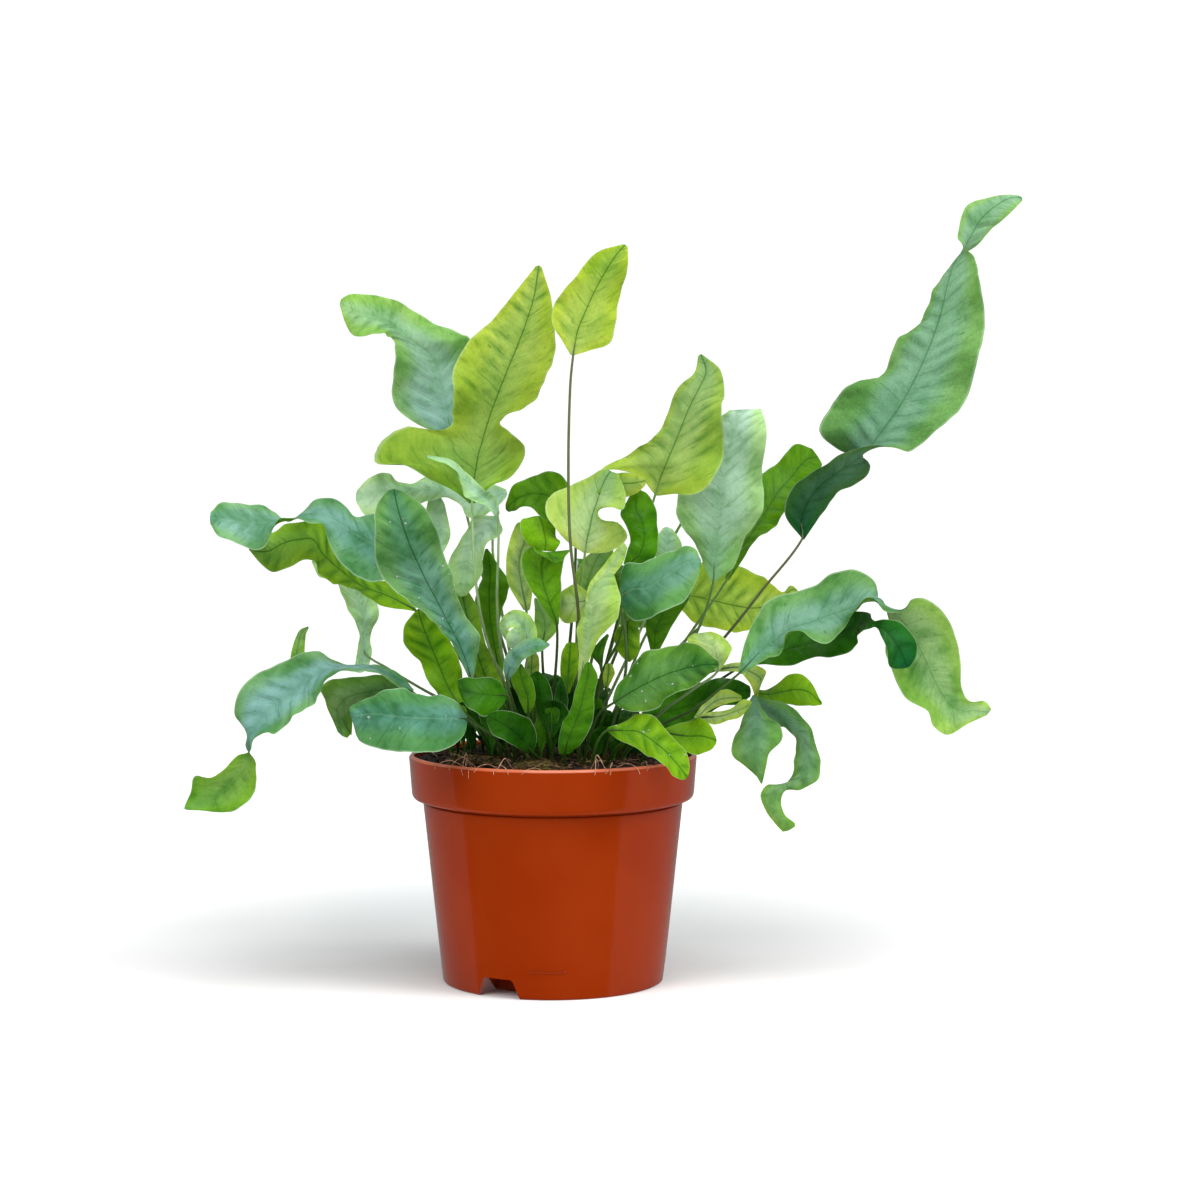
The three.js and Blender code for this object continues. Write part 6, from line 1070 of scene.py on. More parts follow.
def closed(rings, sides):
    """Faces of a sleeve with two further points that close it, first its start and then its end."""
    faces = sleeve(rings, sides)
    start = rings * sides
    last = start - sides
    for k in range(sides):
        after = (k + 1) % sides
        faces.append((start, after, k))
        faces.append((start + 1, last + k, last + after))
    return faces


def tube(middle, radii, sides):
    """Points and faces of a closed tube along a line of points, with its radius at each."""
    along = unit(np.gradient(middle, axis=0))
    across = np.array([1.0, 0.0, 0.0])
    angles = 2 * np.pi * np.arange(sides) / sides
    points = []
    for centre, way, radius in zip(middle, along, radii):
        across = unit(across - way * np.dot(across, way))
        other = np.cross(way, across)
        ring = centre + radius * (np.outer(np.cos(angles), across) + np.outer(np.sin(angles), other))
        points += list(ring)
    return points + [middle[0], middle[-1]], closed(len(middle), sides)


def mesh_from(name, points, faces):
    """A mesh in metres, from points in millimetres."""
    mesh = bpy.data.meshes.new(name)
    mesh.from_pydata([tuple(c * MM for c in p) for p in points], [], faces)
    return mesh


def finish_mesh(mesh, sharp_angle):
    """Smooths a mesh, except at edges that turn by more than an angle in degrees."""
    mesh.polygons.foreach_set("use_smooth", [True] * len(mesh.polygons))
    mesh.set_sharp_from_angle(angle=math.radians(sharp_angle))


class Shape:
    """Points, faces and what each point and face carries, collected for one mesh."""

    def __init__(self):
        self.points = []
        self.faces = []
        self.looks = []
        self.over = []
        self.under = []
        self.place = []
        self.habit = []

    def add(self, points, faces, look, over=None, under=None, place=None, habit=(0, 0, 0)):
        """Adds a part. Its faces count its own points from 0."""
        start = len(self.points)
        number = len(points)
        self.points += [tuple(p) for p in points]
        self.faces += [tuple(start + c for c in face) for face in faces]
        self.looks += [look] * len(faces) if isinstance(look, int) else look
        self.over += [GREY] * number if over is None else [tuple(c) for c in over]
        self.under += [GREY] * number if under is None else [tuple(c) for c in under]
        self.place += [(0, 0, 0)] * number if place is None else [tuple(p) for p in place]
        self.habit += [habit] * number

    def build(self, name, materials, node=None):
        """Makes the mesh piece, riding on the plant's body."""
        mesh = mesh_from(name, self.points, self.faces)
        for material in materials:
            mesh.materials.append(material)
        mesh.polygons.foreach_set("material_index", self.looks)
        for key, values in (("over", self.over), ("under", self.under)):
            store(mesh, key, "FLOAT_COLOR", "color", values)
        for key, values in (("place", self.place), ("habit", self.habit)):
            store(mesh, key, "FLOAT_VECTOR", "vector", values)
        mesh.validate()
        finish_mesh(mesh, PIECE_SHARP_ANGLE)
        piece = bpy.data.objects.new(name, mesh)
        bpy.context.scene.collection.objects.link(piece)
        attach(piece, "root")
        if node:
            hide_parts(node)


def store(mesh, name, kind, field, values):
    """Keeps a value for each point of a mesh, which its materials read."""
    attribute = mesh.attributes.new(name, kind, "POINT")
    attribute.data.foreach_set(field, np.array(values, dtype=np.float32).ravel())


# Materials

class Shader:
    """The nodes of a material or of the world, made a step at a time."""

    def __init__(self, block, output):
        self.block = block
        block.use_nodes = True
        self.tree = block.node_tree
        self.tree.nodes.clear()
        self.output = self.add(output)

    def put(self, socket, value):
        """Links a socket to another, or gives it a value."""
        if isinstance(value, bpy.types.NodeSocket):
            self.tree.links.new(value, socket)
        else:
            socket.default_value = value

    def add(self, kind, inputs=(), **settings):
        node = self.tree.nodes.new("ShaderNode" + kind)
        for key, value in settings.items():
            setattr(node, key, value)
        for key, value in dict(inputs).items():
            self.put(node.inputs[key], value)
        return node

    def math(self, operation, a, b=0.0):
        return self.add("Math", {0: a, 1: b}, operation=operation).outputs[0]

    def plus(self, a, b):
        return self.math("ADD", a, b)

    def minus(self, a, b):
        return self.math("SUBTRACT", a, b)

    def times(self, a, b):
        return self.math("MULTIPLY", a, b)

    def ramp(self, value, low, high, to_low=0.0, to_high=1.0):
        """A smooth step of a number, from to_low at low to to_high at high."""
        inputs = {"Value": value, "From Min": low, "From Max": high, "To Min": to_low, "To Max": to_high}
        return self.add("MapRange", inputs, interpolation_type="SMOOTHSTEP").outputs[0]

    def mix(self, factor, a, b, blend="MIX"):
        """A colour from a to b, as far as the factor says."""
        return self.add("Mix", {0: factor, 6: a, 7: b}, data_type="RGBA", blend_type=blend).outputs[2]

    def tint(self, share, color, tint):
        """A colour multiplied by a tint, as far as the share says."""
        return self.mix(share, color, self.mix(1.0, color, tint + (1,), "MULTIPLY"))

    def position(self):
        return self.add("TexCoord").outputs["Object"]

    def noise(self, scale, detail, rough=0.55, vector=None, distortion=0.0):
        inputs = {"Scale": scale, "Detail": detail, "Roughness": rough, "Distortion": distortion}
        inputs["Vector"] = self.position() if vector is None else vector
        return self.add("TexNoise", inputs).outputs["Fac"]

    def attribute(self, name, output):
        return self.add("Attribute", attribute_name=name).outputs[output]

    def split(self, vector):
        return self.add("SeparateXYZ", {0: vector}).outputs

    def joined(self, x, y, z):
        return self.add("CombineXYZ", {0: x, 1: y, 2: z}).outputs[0]

    def bump(self, height, strength, distance):
        return self.add("Bump", {"Height": height, "Strength": strength, "Distance": distance}).outputs[0]

    def skin(self, color, rough, more=()):
        """The plain shader of a surface. `more` gives further inputs by name."""
        inputs = {"Base Color": color, "Roughness": rough, **dict(more)}
        return self.add("BsdfPrincipled", inputs).outputs[0]

    def surface(self, shader):
        """Ends the nodes with a shader."""
        self.put(self.output.inputs["Surface"], shader)
        return self.block


def new_shader(name):
    """A shader for a new material."""
    return Shader(bpy.data.materials.new(name), "OutputMaterial")


def leaf_marks(s):
    """Where the marks of a leaf lie, from the place of each point on its blade."""
    along, across, edge = s.split(s.attribute("place", "Vector"))
    side = s.math("ABSOLUTE", across)
    flow = s.minus(along, s.times(side, VEIN_SLANT))
    flow = s.plus(flow, s.times(s.noise(110, 2), VEIN_WANDER))
    clouds = s.noise(30, 2)
    stretched = s.joined(s.times(flow, 0.34), s.times(side, 0.1), s.times(clouds, 3.0))
    swing = s.math("PINGPONG", flow, VEIN_SPACING / 2)
    side_vein = s.times(s.ramp(swing, 0.0, 0.6, 1.0, 0.0), s.ramp(edge, 0.4, 0.9, 1.0, 0.1))
    cells = s.joined(s.times(flow, 0.45), s.times(side, 0.55), 0.0)
    spots = {"Vector": cells, "Scale": 1.0, "Randomness": 0.85}
    net = s.add("TexVoronoi", spots, feature="DISTANCE_TO_EDGE").outputs["Distance"]
    return SimpleNamespace(
        edge=edge,
        side=side,
        swing=swing,
        clouds=clouds,
        patches=s.noise(80, 3),
        streaks=s.noise(1.0, 4, 0.6, vector=stretched),
        flecks=s.ramp(s.noise(2.3, 3, 0.6, vector=stretched), 0.66, 0.74),
        side_vein=s.times(side_vein, s.ramp(s.noise(170, 2), 0.42, 0.6, 0.15, 1.0)),
        net=s.ramp(net, 0.01, 0.1, 1.0, 0.0),
    )


def washed_color(s, marks, base, face, dark, thin, gloss):
    """A leaf's washed colour: rubbed bloom, stains, streaks, painted quilt shade and highlights, painted
    shade by the midrib.
    """
    stained = s.ramp(thin, 0.13, 0.3, 0.85, 0.4)
    rubbed = s.ramp(gloss, 0.1, 0.2, 0.5, 0.9)
    bare = s.mix(s.ramp(dark, 0.45, 0.9), BARE_PALE_TINT + (1,), BARE_DARK_TINT + (1,))
    outward = s.plus(marks.edge, s.times(marks.clouds, 0.9))
    color = s.mix(s.ramp(outward, 0.72, 1.28, 0.0, rubbed), base, s.mix(1.0, base, bare, "MULTIPLY"))
    # The quilting's shading is painted: shade in its grooves and highlight on its ridges
    quilt_shading_mask = s.times(s.ramp(marks.edge, 0.0, 0.3), s.ramp(marks.edge, 0.6, 1.0, 1.0, 0.0))
    quilt_shading_mask = s.times(quilt_shading_mask, s.ramp(s.noise(38, 2), 0.46, 0.62, 0.0, face.quilting))
    quilt_shading_mask = s.times(quilt_shading_mask, s.ramp(dark, 0.25, 0.8, 0.3, 1.0))
    washes = (
        (s.ramp(marks.clouds, 0.36, 0.64, 0.0, stained), CLOUD_TINT),
        (s.ramp(marks.patches, 0.47, 0.66, 0.0, stained), STAIN_TINT),
        (s.ramp(marks.patches, 0.47, 0.3, 0.0, s.times(stained, 0.7)), LIT_TINT),
        (s.ramp(marks.streaks, 0.5, 0.68, 0.0, face.streaks), STREAK_TINT),
        (s.ramp(s.noise(620, 3), 0.45, 0.75, 0.0, 0.25), GRAIN_TINT),
        # painted shade in the quilting's grooves, then painted highlight on its ridges
        (s.times(s.ramp(marks.swing, 0.3, 2.2, 1.0, 0.0), quilt_shading_mask), GROOVE_SHADE_TINT),
        (s.times(s.ramp(marks.swing, 1.8, 3.4), quilt_shading_mask), RIDGE_HIGHLIGHT_TINT),
        # painted shade beside the midrib, where the blade folds
        (s.ramp(marks.side, 0.5, 3.0, 0.3, 0.0), MIDRIB_SHADE_TINT),
    )
    for share, tint in washes:
        color = s.tint(share, color, tint)
    return color


def veined_color(s, marks, color, face, dark):
    """A leaf's washed colour with flecks, side veins, net, midrib and a pale margin, partly painted rim
    light.
    """
    darker = s.tint(1.0, color, VEIN_TINT)
    lighter = s.mix(0.35, color, linear(PALE_VEIN))
    color = s.mix(s.times(marks.flecks, 0.75), color, darker)
    strength = s.times(s.plus(dark, 0.2), face.veins)
    fine = s.times(marks.net, s.times(strength, face.net))
    color = s.mix(s.math("MAXIMUM", s.times(marks.side_vein, strength), fine), color, darker)
    midrib = s.times(s.ramp(marks.side, 0.1, 0.5, 1.0, 0.0), s.ramp(dark, 0.2, 0.8, 0.15, 0.85))
    color = s.mix(midrib, color, s.mix(s.ramp(dark, 0.32, 0.48), lighter, darker))
    # the pale margin: partly the leaf's own pale edge, partly painted rim light
    margin = s.mix(0.5, color, linear(PALE_MARGIN_AND_RIM_LIGHT))
    return s.mix(s.ramp(marks.edge, 0.945, 0.99, 0.0, 0.5), color, margin)


def leaf_material(name, attribute, face):
    """A waxy leaf face, mottled and veined, with light that comes through from behind."""
    s = new_shader(name)
    base = s.attribute(attribute, "Color")
    dark, thin, gloss = s.split(s.attribute("habit", "Vector"))
    marks = leaf_marks(s)
    color = veined_color(s, marks, washed_color(s, marks, base, face, dark, thin, gloss), face, dark)
    relief = s.plus(s.times(marks.side_vein, face.vein_height), s.times(marks.net, face.net_height))
    relief = s.plus(relief, s.times(s.noise(900, 2), 0.35))
    normal = s.bump(relief, 0.5, 0.00025)
    rough = s.minus(s.ramp(marks.patches, 0.25, 0.75, 0.42, 0.55), s.times(gloss, 0.2))
    leaf = s.skin(color, rough, {"Normal": normal, "Specular IOR Level": 0.14})
    glow = s.tint(1.0, s.mix(0.35, color, base), GLOW_TINT)
    behind = s.add("BsdfTranslucent", {"Color": glow, "Normal": normal}).outputs[0]
    return s.surface(s.add("MixShader", {0: thin, 1: leaf, 2: behind}).outputs[0])


def stalk_material():
    """A thin smooth stem in the colour its points carry, with fine lengthwise streaks."""
    s = new_shader("stalk")
    streak = s.add("Mapping", {"Vector": s.position(), "Scale": (1, 1, 0.06)}).outputs[0]
    fine = s.noise(1800, 2, vector=streak)
    color = s.mix(s.ramp(fine, 0.35, 0.7, 0.0, 0.35), s.attribute("over", "Color"), linear((58, 78, 26)))
    rough = s.ramp(fine, 0.3, 0.7, 0.4, 0.55)
    relief = s.bump(fine, 0.3, 0.00012)
    return s.surface(s.skin(color, rough, {"Normal": relief, "Specular IOR Level": 0.25}))


def water_painted_highlight_material():
    """Clear water with a faint ripple, whitened in its colour as a painted highlight."""
    s = new_shader("water")
    ripple = s.bump(s.noise(300, 1), 0.05, 0.0001)
    clear = {"IOR": 1.33, "Transmission Weight": 0.75, "Normal": ripple}
    # the whitish base colour is a painted highlight
    return s.surface(s.skin((0.92, 0.97, 0.95, 1), 0.03, clear))


def dry_material(name, low, high):
    """Dry fibres, bark and rootlets, mottled between two colours."""
    s = new_shader(name)
    fine = s.noise(800, 3)
    color = s.mix(s.ramp(fine, 0.3, 0.7), linear(low), linear(high))
    return s.surface(s.skin(color, 0.7, {"Normal": s.bump(fine, 0.3, 0.0002)}))


def scale_material():
    """Papery golden-brown scales, as on the rhizomes and at the foot of the stalks."""
    s = new_shader("scales")
    fine = s.noise(700, 3)
    color = s.mix(s.ramp(fine, 0.3, 0.7), linear((48, 34, 16)), linear((116, 92, 48)))
    color = s.mix(s.ramp(s.noise(240, 2), 0.5, 0.7, 0.0, 0.8), color, linear((96, 104, 40)))
    return s.surface(s.skin(color, 0.75, {"Normal": s.bump(fine, 0.4, 0.0002)}))


def soil_material():
    """Dark moist peat: crumbs in several browns, with paler dry flecks."""
    s = new_shader("soil")
    coarse = s.noise(160, 5, 0.65)
    fine = s.noise(1500, 4, 0.7)
    flecks = s.add("TexVoronoi", {"Vector": s.position(), "Scale": 620.0}).outputs["Distance"]
    color = s.mix(s.ramp(coarse, 0.35, 0.65), linear((14, 9, 6)), linear((40, 26, 18)))
    color = s.mix(s.ramp(fine, 0.55, 0.8, 0.0, 0.5), color, linear((74, 50, 34)))
    color = s.mix(s.ramp(flecks, 0.0, 0.12, 0.25, 0.0), color, linear((104, 78, 52)))
    height = s.plus(s.times(coarse, 0.8), s.times(fine, 0.5))
    rough = s.ramp(coarse, 0.3, 0.7, 0.72, 0.95)
    return s.surface(s.skin(color, rough, {"Normal": s.bump(height, 0.7, 0.0009)}))


def rhizome_material():
    """A furry brown stem, lighter in spots."""
    s = new_shader("rhizome")
    fine = s.noise(900, 4)
    color = s.mix(s.ramp(s.noise(260, 3), 0.35, 0.65), linear((30, 24, 10)), linear((66, 58, 22)))
    color = s.mix(s.ramp(fine, 0.5, 0.75, 0.0, 0.5), color, linear((104, 88, 44)))
    return s.surface(s.skin(color, 0.85, {"Normal": s.bump(fine, 0.6, 0.0004)}))


def pot_material():
    """Moulded terracotta-coloured plastic: a satin skin with a faint orange peel, small scuffs and a painted
    highlight along the lip.
    """
    s = new_shader("pot_plastic")
    cloud = s.noise(24, 3)
    scuff = s.ramp(s.noise(330, 5, 0.7, distortion=0.6), 0.68, 0.8, 0.0, 0.16)
    color = s.mix(s.ramp(cloud, 0.3, 0.7), linear((138, 41, 1)), linear((144, 46, 2)))
    color = s.mix(scuff, color, linear((166, 84, 48)))
    height = s.split(s.position())[2]
    # a painted highlight along the bevel of the lip
    lip = s.ramp(height, (POT_HEIGHT - LIP_BEVEL) * MM, (POT_HEIGHT - 0.6 * LIP_BEVEL) * MM)
    color = s.mix(lip, color, linear((190, 98, 66)))
    rough = s.plus(s.ramp(cloud, 0.3, 0.7, 0.06, 0.1), s.times(scuff, 0.5))
    peel = s.bump(s.noise(1500, 2), 0.03, 0.0002)
    return s.surface(s.skin(color, rough, {"Normal": peel, "Specular IOR Level": 0.4}))


def floor_material():
    """White, with a painted shadow behind the pot: darker there, and cooler against the warm light that the
    pot's own colour throws on it.
    """
    s = new_shader("floor")
    x, y, _ = s.split(s.position())
    back = s.minus(y, 0.13)
    aside = s.plus(x, 0.02)
    away = s.math("SQRT", s.plus(s.times(aside, aside), s.times(back, back)))
    # painted shadow: darker and cooler close behind the pot
    painted_shadow = s.times(s.ramp(away, 0.04, 0.26, 1.0, 0.0), s.ramp(y, -0.055, 0.03))
    white = s.mix(s.ramp(s.noise(3, 2), 0.3, 0.7), (0.9, 0.9, 0.9, 1), (0.92, 0.92, 0.92, 1))
    color = s.mix(painted_shadow, white, (0.62, 0.642, 0.645, 1))
    return s.surface(s.skin(color, 0.9, {"Specular IOR Level": 0.1}))


# Fronds

def spread_columns(count):
    """Places across a blade from -1 to 1, closer together at the midrib."""
    even = np.linspace(-1, 1, count + 1)
    return 0.55 * even + 0.45 * even ** 3


def blade_sheet(rails):
    """A smooth sheet through the lines of a blade, its upper directions, and the places of its rows."""
    widest = np.linalg.norm(rails[2] - rails[0], axis=1).max()
    columns = int(np.clip(round(widest / COLUMN_STEP), FEWEST_COLUMNS, MOST_COLUMNS)) // 2 * 2
    rows = cut(rails[1], ROW_STEP)
    left, middle, right = [on_line(rail, rows)[:, None, :] for rail in rails]
    across = spread_columns(columns)[None, :, None]
    bend = (left + right) / 2 - middle
    sheet = middle + (right - left) / 2 * across + bend * np.abs(across) ** FOLD_SHARPNESS
    upward = unit(np.cross(np.gradient(sheet, axis=1), np.gradient(sheet, axis=0)))
    return sheet, upward, rows


def measured(sheet):
    """How far each point of a sheet lies along its midrib, and how far aside of it."""
    half = sheet.shape[1] // 2
    steps = np.linalg.norm(np.diff(sheet, axis=1), axis=2)
    travelled = np.hstack([np.zeros((len(sheet), 1)), np.cumsum(steps, axis=1)])
    across = travelled - travelled[:, half:half + 1]
    spans = np.linalg.norm(np.diff(sheet[:, half], axis=0), axis=1)
    along = np.concatenate([[0], np.cumsum(spans)])[:, None] * np.ones_like(across)
    return along, across


def blade_surface(rails, ripple, phase):
    """The waved middle surface of a blade as rows of points, its upper directions, and the places on it."""
    sheet, upward, rows = blade_sheet(rails)
    along, across = measured(sheet)
    along += PHASE_SHIFT * phase
    columns = spread_columns(sheet.shape[1] - 1)[None, :]
    edge = np.abs(columns)
    part = (rows / (len(rails[1]) - 1))[:, None]
    swell = np.sin(np.pi * part) ** 0.7
    room = swell * np.clip(np.abs(across).max(axis=1, keepdims=True) / WIDE_HALF, 0, 1)
    side = np.where(columns < 0, LEFT_PHASE, 0.0)
    lag = np.where(columns < 0, RIPPLE_LAG, 0.0)
    wave = swell * ripple * edge ** 2 * np.sin(2 * np.pi * rows[:, None] / RIPPLE_PERIOD + lag)
    wave += BUCKLE * room * edge ** 1.4 * np.sin(2 * np.pi * along / BUCKLE_LENGTH + 1.5 * side)
    wave += FRILL * room * edge ** 3 * np.sin(2 * np.pi * along / FRILL_LENGTH + side)
    flow = along - np.abs(across) * VEIN_SLANT
    puckered = 0.55 + 0.45 * np.sin(2 * np.pi * along / PUCKER_LENGTH + side)
    ridges = np.sin(np.pi * edge ** 0.8) * np.cos(2 * np.pi * flow / VEIN_SPACING)
    wave -= QUILT * room * puckered * ridges
    ones = np.ones_like(across)
    return sheet + upward * wave[..., None], upward, along, across, part * ones, edge * ones


def blend_colors(first, second, share):
    """Linear colours between two, by a share for each point."""
    a = np.array(linear(first))
    b = np.array(linear(second))
    return a + (b - a) * share[:, None]


def add_blade(shape, rails, ripple, look, phase):
    """Adds a thin closed blade with its midrib. Its two faces share the points of its margin."""
    surface, upward, along, across, part, edge = blade_surface(rails, ripple, phase)
    rows, row = along.shape
    ends = np.minimum(np.arange(rows), np.arange(rows)[::-1])[:, None]
    ends = np.clip(ends / END_ROWS, 0, 1)
    thin = np.sqrt(np.clip(1 - edge ** MARGIN_SHARPNESS, 0, 1)) * ends
    rib = np.exp(-(across / MIDRIB_WIDTH) ** 2) * ends * (1 - MIDRIB_FADE * part)
    over = surface + upward * (SHEET_HALF * thin - MIDRIB_GROOVE * rib)[..., None]
    under = surface - upward * (SHEET_HALF * thin + MIDRIB_RIDGE * rib)[..., None]
    inner = np.zeros((rows, row), dtype=bool)
    inner[1:-1, 1:-1] = True
    upper = np.arange(rows * row).reshape(rows, row)
    lower = upper.copy()
    lower[inner] = rows * row + np.arange(inner.sum())
    faces = []
    for grid, order in ((upper, 1), (lower, -1)):
        corners = (grid[:-1, :-1], grid[:-1, 1:], grid[1:, 1:], grid[1:, :-1])
        faces += np.stack([c.ravel() for c in corners], axis=1)[:, ::order].tolist()
    looks = [UPPER] * (len(faces) // 2) + [UNDER] * (len(faces) // 2)

    def on_both(values):
        """Values of the points of the upper face, then of those that only the lower face has."""
        return np.concatenate([values.reshape(rows * row, -1), values[inner].reshape(inner.sum(), -1)])

    points = np.concatenate([over.reshape(rows * row, 3), under[inner]])
    share = on_both(part)[:, 0]
    place = np.hstack([on_both(along), on_both(across), on_both(edge)])
    top = blend_colors(look[0], look[1], share)
    bottom = blend_colors(look[2], look[3], share)
    shape.add(points, faces, looks, top, bottom, place, look[4:7])
    return surface, upward


def add_drops(shape, surface, upward, count, draw):
    """Adds round drops of water that sit on the upper face."""
    rows, row = surface.shape[:2]
    for _ in range(count):
        i = draw.randrange(rows // 10, rows - rows // 8)
        place = draw.uniform(-0.85, 0.85)
        j = int(np.abs(spread_columns(row - 1) - place).argmin())
        radius = DROP_RADIUS + DROP_GROWTH * draw.random() ** 2
        normal = upward[i, j]
        one = unit(surface[i, min(j + 1, row - 1)] - surface[i, j - 1])
        other = np.cross(normal, one)
        centre = surface[i, j] + normal * SHEET_HALF * 0.8
        high = normal * radius * DROP_HEIGHT
        points = []
        for r in range(DROP_RINGS):
            turn = math.pi / 2 * r / DROP_RINGS
            for a, b, lift in circle(radius * math.cos(turn), math.sin(turn), DROP_SIDES):
                points.append(centre + one * a + other * b + high * lift)
        points += [centre - normal * DROP_SINK, centre + high]
        shape.add(points, closed(DROP_RINGS, DROP_SIDES), WATER)


def soil_height(x, y):
    """Height of the mound of soil without its crumbs."""
    out = min(math.hypot(x, y) / SOIL_TOP_RADIUS, 1)
    return SOIL_CROWN_HEIGHT + (SOIL_EDGE_HEIGHT - SOIL_CROWN_HEIGHT) * out * out


def add_stalk(shape, frond, color):
    """Adds the stalk: up out of the soil, through its points, and on into the first blade."""
    _, _, (x, y), _, join, stops, blades = frond
    ground = soil_height(x, y)
    points = [(x, y, ground - STALK_DEPTH), (x, y, ground + STALK_RISE)]
    points += [seen(*stop) for stop in stops]
    points += list(rails_of(blades[0][join:join + 2])[1])
    points = np.array(points)
    places = cut(points, STALK_STEP)
    line = on_line(points, places)
    radii = STALK_FOOT_RADIUS + (STALK_TOP_RADIUS - STALK_FOOT_RADIUS) * places / places[-1]
    inside = np.clip(places - (len(points) - 2), 0, 1)
    radii = radii * (1 - STALK_END_TAPER * inside) * np.where(inside > 0, STALK_END_SHARE, 1)
    ring, faces = tube(line, radii, STALK_SIDES)
    # darker towards the foot: partly the stalk's own darker base, partly painted shade of the crown
    above = np.repeat(np.clip((line[:, 2] - ground) / STALK_FOOT_HEIGHT, 0, 1), STALK_SIDES)
    above = np.concatenate([above, [above[0], above[-1]]])
    shape.add(ring, faces, STEM, blend_colors(STALK_FOOT_COLOR_AND_SHADE, color, above ** 1.1))


def add_scales(shape, line, radius, count, length, look, draw):
    """Adds small pointed scales that lie along a line of points, each a closed sliver."""
    along = unit(np.gradient(line, axis=0))
    for _ in range(count):
        i = draw.randrange(len(line))
        way = along[i]
        out = unit(np.array([draw.gauss(0, 1), draw.gauss(0, 1), draw.gauss(0, 1)]))
        out = unit(out - way * np.dot(out, way))
        side = np.cross(way, out)
        size = length * (0.6 + 0.7 * draw.random())
        base = line[i] + out * radius * 0.9
        lean = way * (1 if draw.random() < 0.7 else -1) + out * (0.25 + 0.5 * draw.random())
        tip = base + unit(lean + side * draw.uniform(-0.4, 0.4)) * size
        width = size * 0.22
        points = [base - side * width, base + side * width, base + out * width * 0.5,
                  (base + tip) / 2 + side * width * 0.8 + out * 0.1 * size, tip]
        faces = [(0, 1, 2), (1, 3, 2), (3, 4, 2), (4, 0, 2), (1, 0, 3), (3, 0, 4)]
        shape.add(points, faces, look)


def make_fronds():
    """Makes a piece of each frond: its blades with their drops, its stalk, and the scales at its foot."""
    materials = [leaf_material("leaf_upper", "over", UPPER_FACE),
                 leaf_material("leaf_under", "under", UNDER_FACE),
                 stalk_material(), water_painted_highlight_material(), scale_material()]
    for number, frond in enumerate(FRONDS):
        name, colour, root, ripple, _, _, blades = frond
        draw = random.Random(SEED * 100 + number)
        looks = LOOKS_OF.get(name, (colour,))
        shape = Shape()
        for k, stations in enumerate(blades):
            look = LOOKS[looks[min(k, len(looks) - 1)]]
            sheet = add_blade(shape, rails_of(stations), ripple, look, draw.uniform(0, 2 * math.pi))
            if k == 0 and name in DROPS:
                add_drops(shape, *sheet, DROPS[name], draw)
        add_stalk(shape, frond, STALK_SHADES[STALKS_OF.get(name, colour)])
        ground = soil_height(*root)
        foot = np.array([(root[0], root[1], ground + 0.5 * h) for h in range(9)])
        add_scales(shape, foot, STALK_FOOT_RADIUS, FOOT_SCALES, FOOT_SCALE_LENGTH, SCALE, draw)
        shape.build(name + "_leaf", materials, name)
    make_shoots(materials)


def add_shoot(shape, draw):
    """Adds a young frond, still short, in the shade between the stalks."""
    radius = SHOOT_REACH * math.sqrt(draw.random())
    angle = draw.uniform(0, 2 * math.pi)
    x = radius * math.cos(angle)
    y = 0.85 * radius * math.sin(angle) + SHOOT_BACKWARD
    tall = draw.uniform(*SHOOT_HEIGHTS) * (1 - 0.25 * radius / SHOOT_REACH)
    tall += SHOOT_CROWN_RISE if x < SHOOT_CROWN_EDGE else 0
    wide = SHOOT_WIDTH * draw.uniform(0.7, 1.25)
    lean = np.array([0.35 * x / SHOOT_REACH + draw.uniform(-0.2, 0.2), 0.3 * y / SHOOT_REACH, 0])
    turn = draw.uniform(-0.9, 0.9)
    side = np.array([math.cos(turn), math.sin(turn), draw.uniform(-0.2, 0.2)])
    foot = np.array([x, y, soil_height(x, y) - 2])
    curl = draw.uniform(0.1, 0.3)
    rails = [[], [], []]
    for share, width in SHOOT_OUTLINE:
        middle = foot + tall * (lean * share ** 1.5 + np.array([0, 0, share - 0.25 * share ** 3]))
        back = np.array([0, curl * wide * width, 0])
        for rail, aside in zip(rails, (-1, 0, 1)):
            rail.append(middle + aside * side * wide * width + abs(aside) * back)
    # dark looks: partly the shoot's own colour, partly painted shade between the stalks
    look = LOOKS[draw.choice(SHADED_SHOOT_LOOKS)]
    rails = [np.array(rail) for rail in rails]
    add_blade(shape, rails, SHOOT_RIPPLE, look, draw.uniform(0, 2 * math.pi))


def make_shoots(materials):
    """Makes one piece of all the young shoots, which stand for no node."""
    draw = random.Random(SEED + 2)
    shape = Shape()
    for _ in range(SHOOTS):
        add_shoot(shape, draw)
    shape.build("young_shoots", materials)


# Soil and rhizomes

def soil_surface():
    """Points of the soil: rings up its side and in over its top, then the middles of foot and top."""
    points = []
    for radius, height in SOIL_SIDE:
        points += circle(radius, height, SOIL_SIDES)
    for r in range(SOIL_RINGS):
        for x, y, _ in circle(SOIL_TOP_RADIUS * (1 - r / SOIL_RINGS), 0, SOIL_SIDES):
            where = Vector((x, y, 0.0))
            lumps = noise.fractal(where * 0.22, 0.9, 2.1, 4) + 0.35 * noise.fractal(where * 0.9, 0.8, 2, 3)
            points.append((x, y, soil_height(x, y) + SOIL_ROUGHNESS * lumps - SOIL_SINK))
    return points + [(0, 0, SOIL_SIDE[0][1]), (0, 0, soil_height(0, 0))]


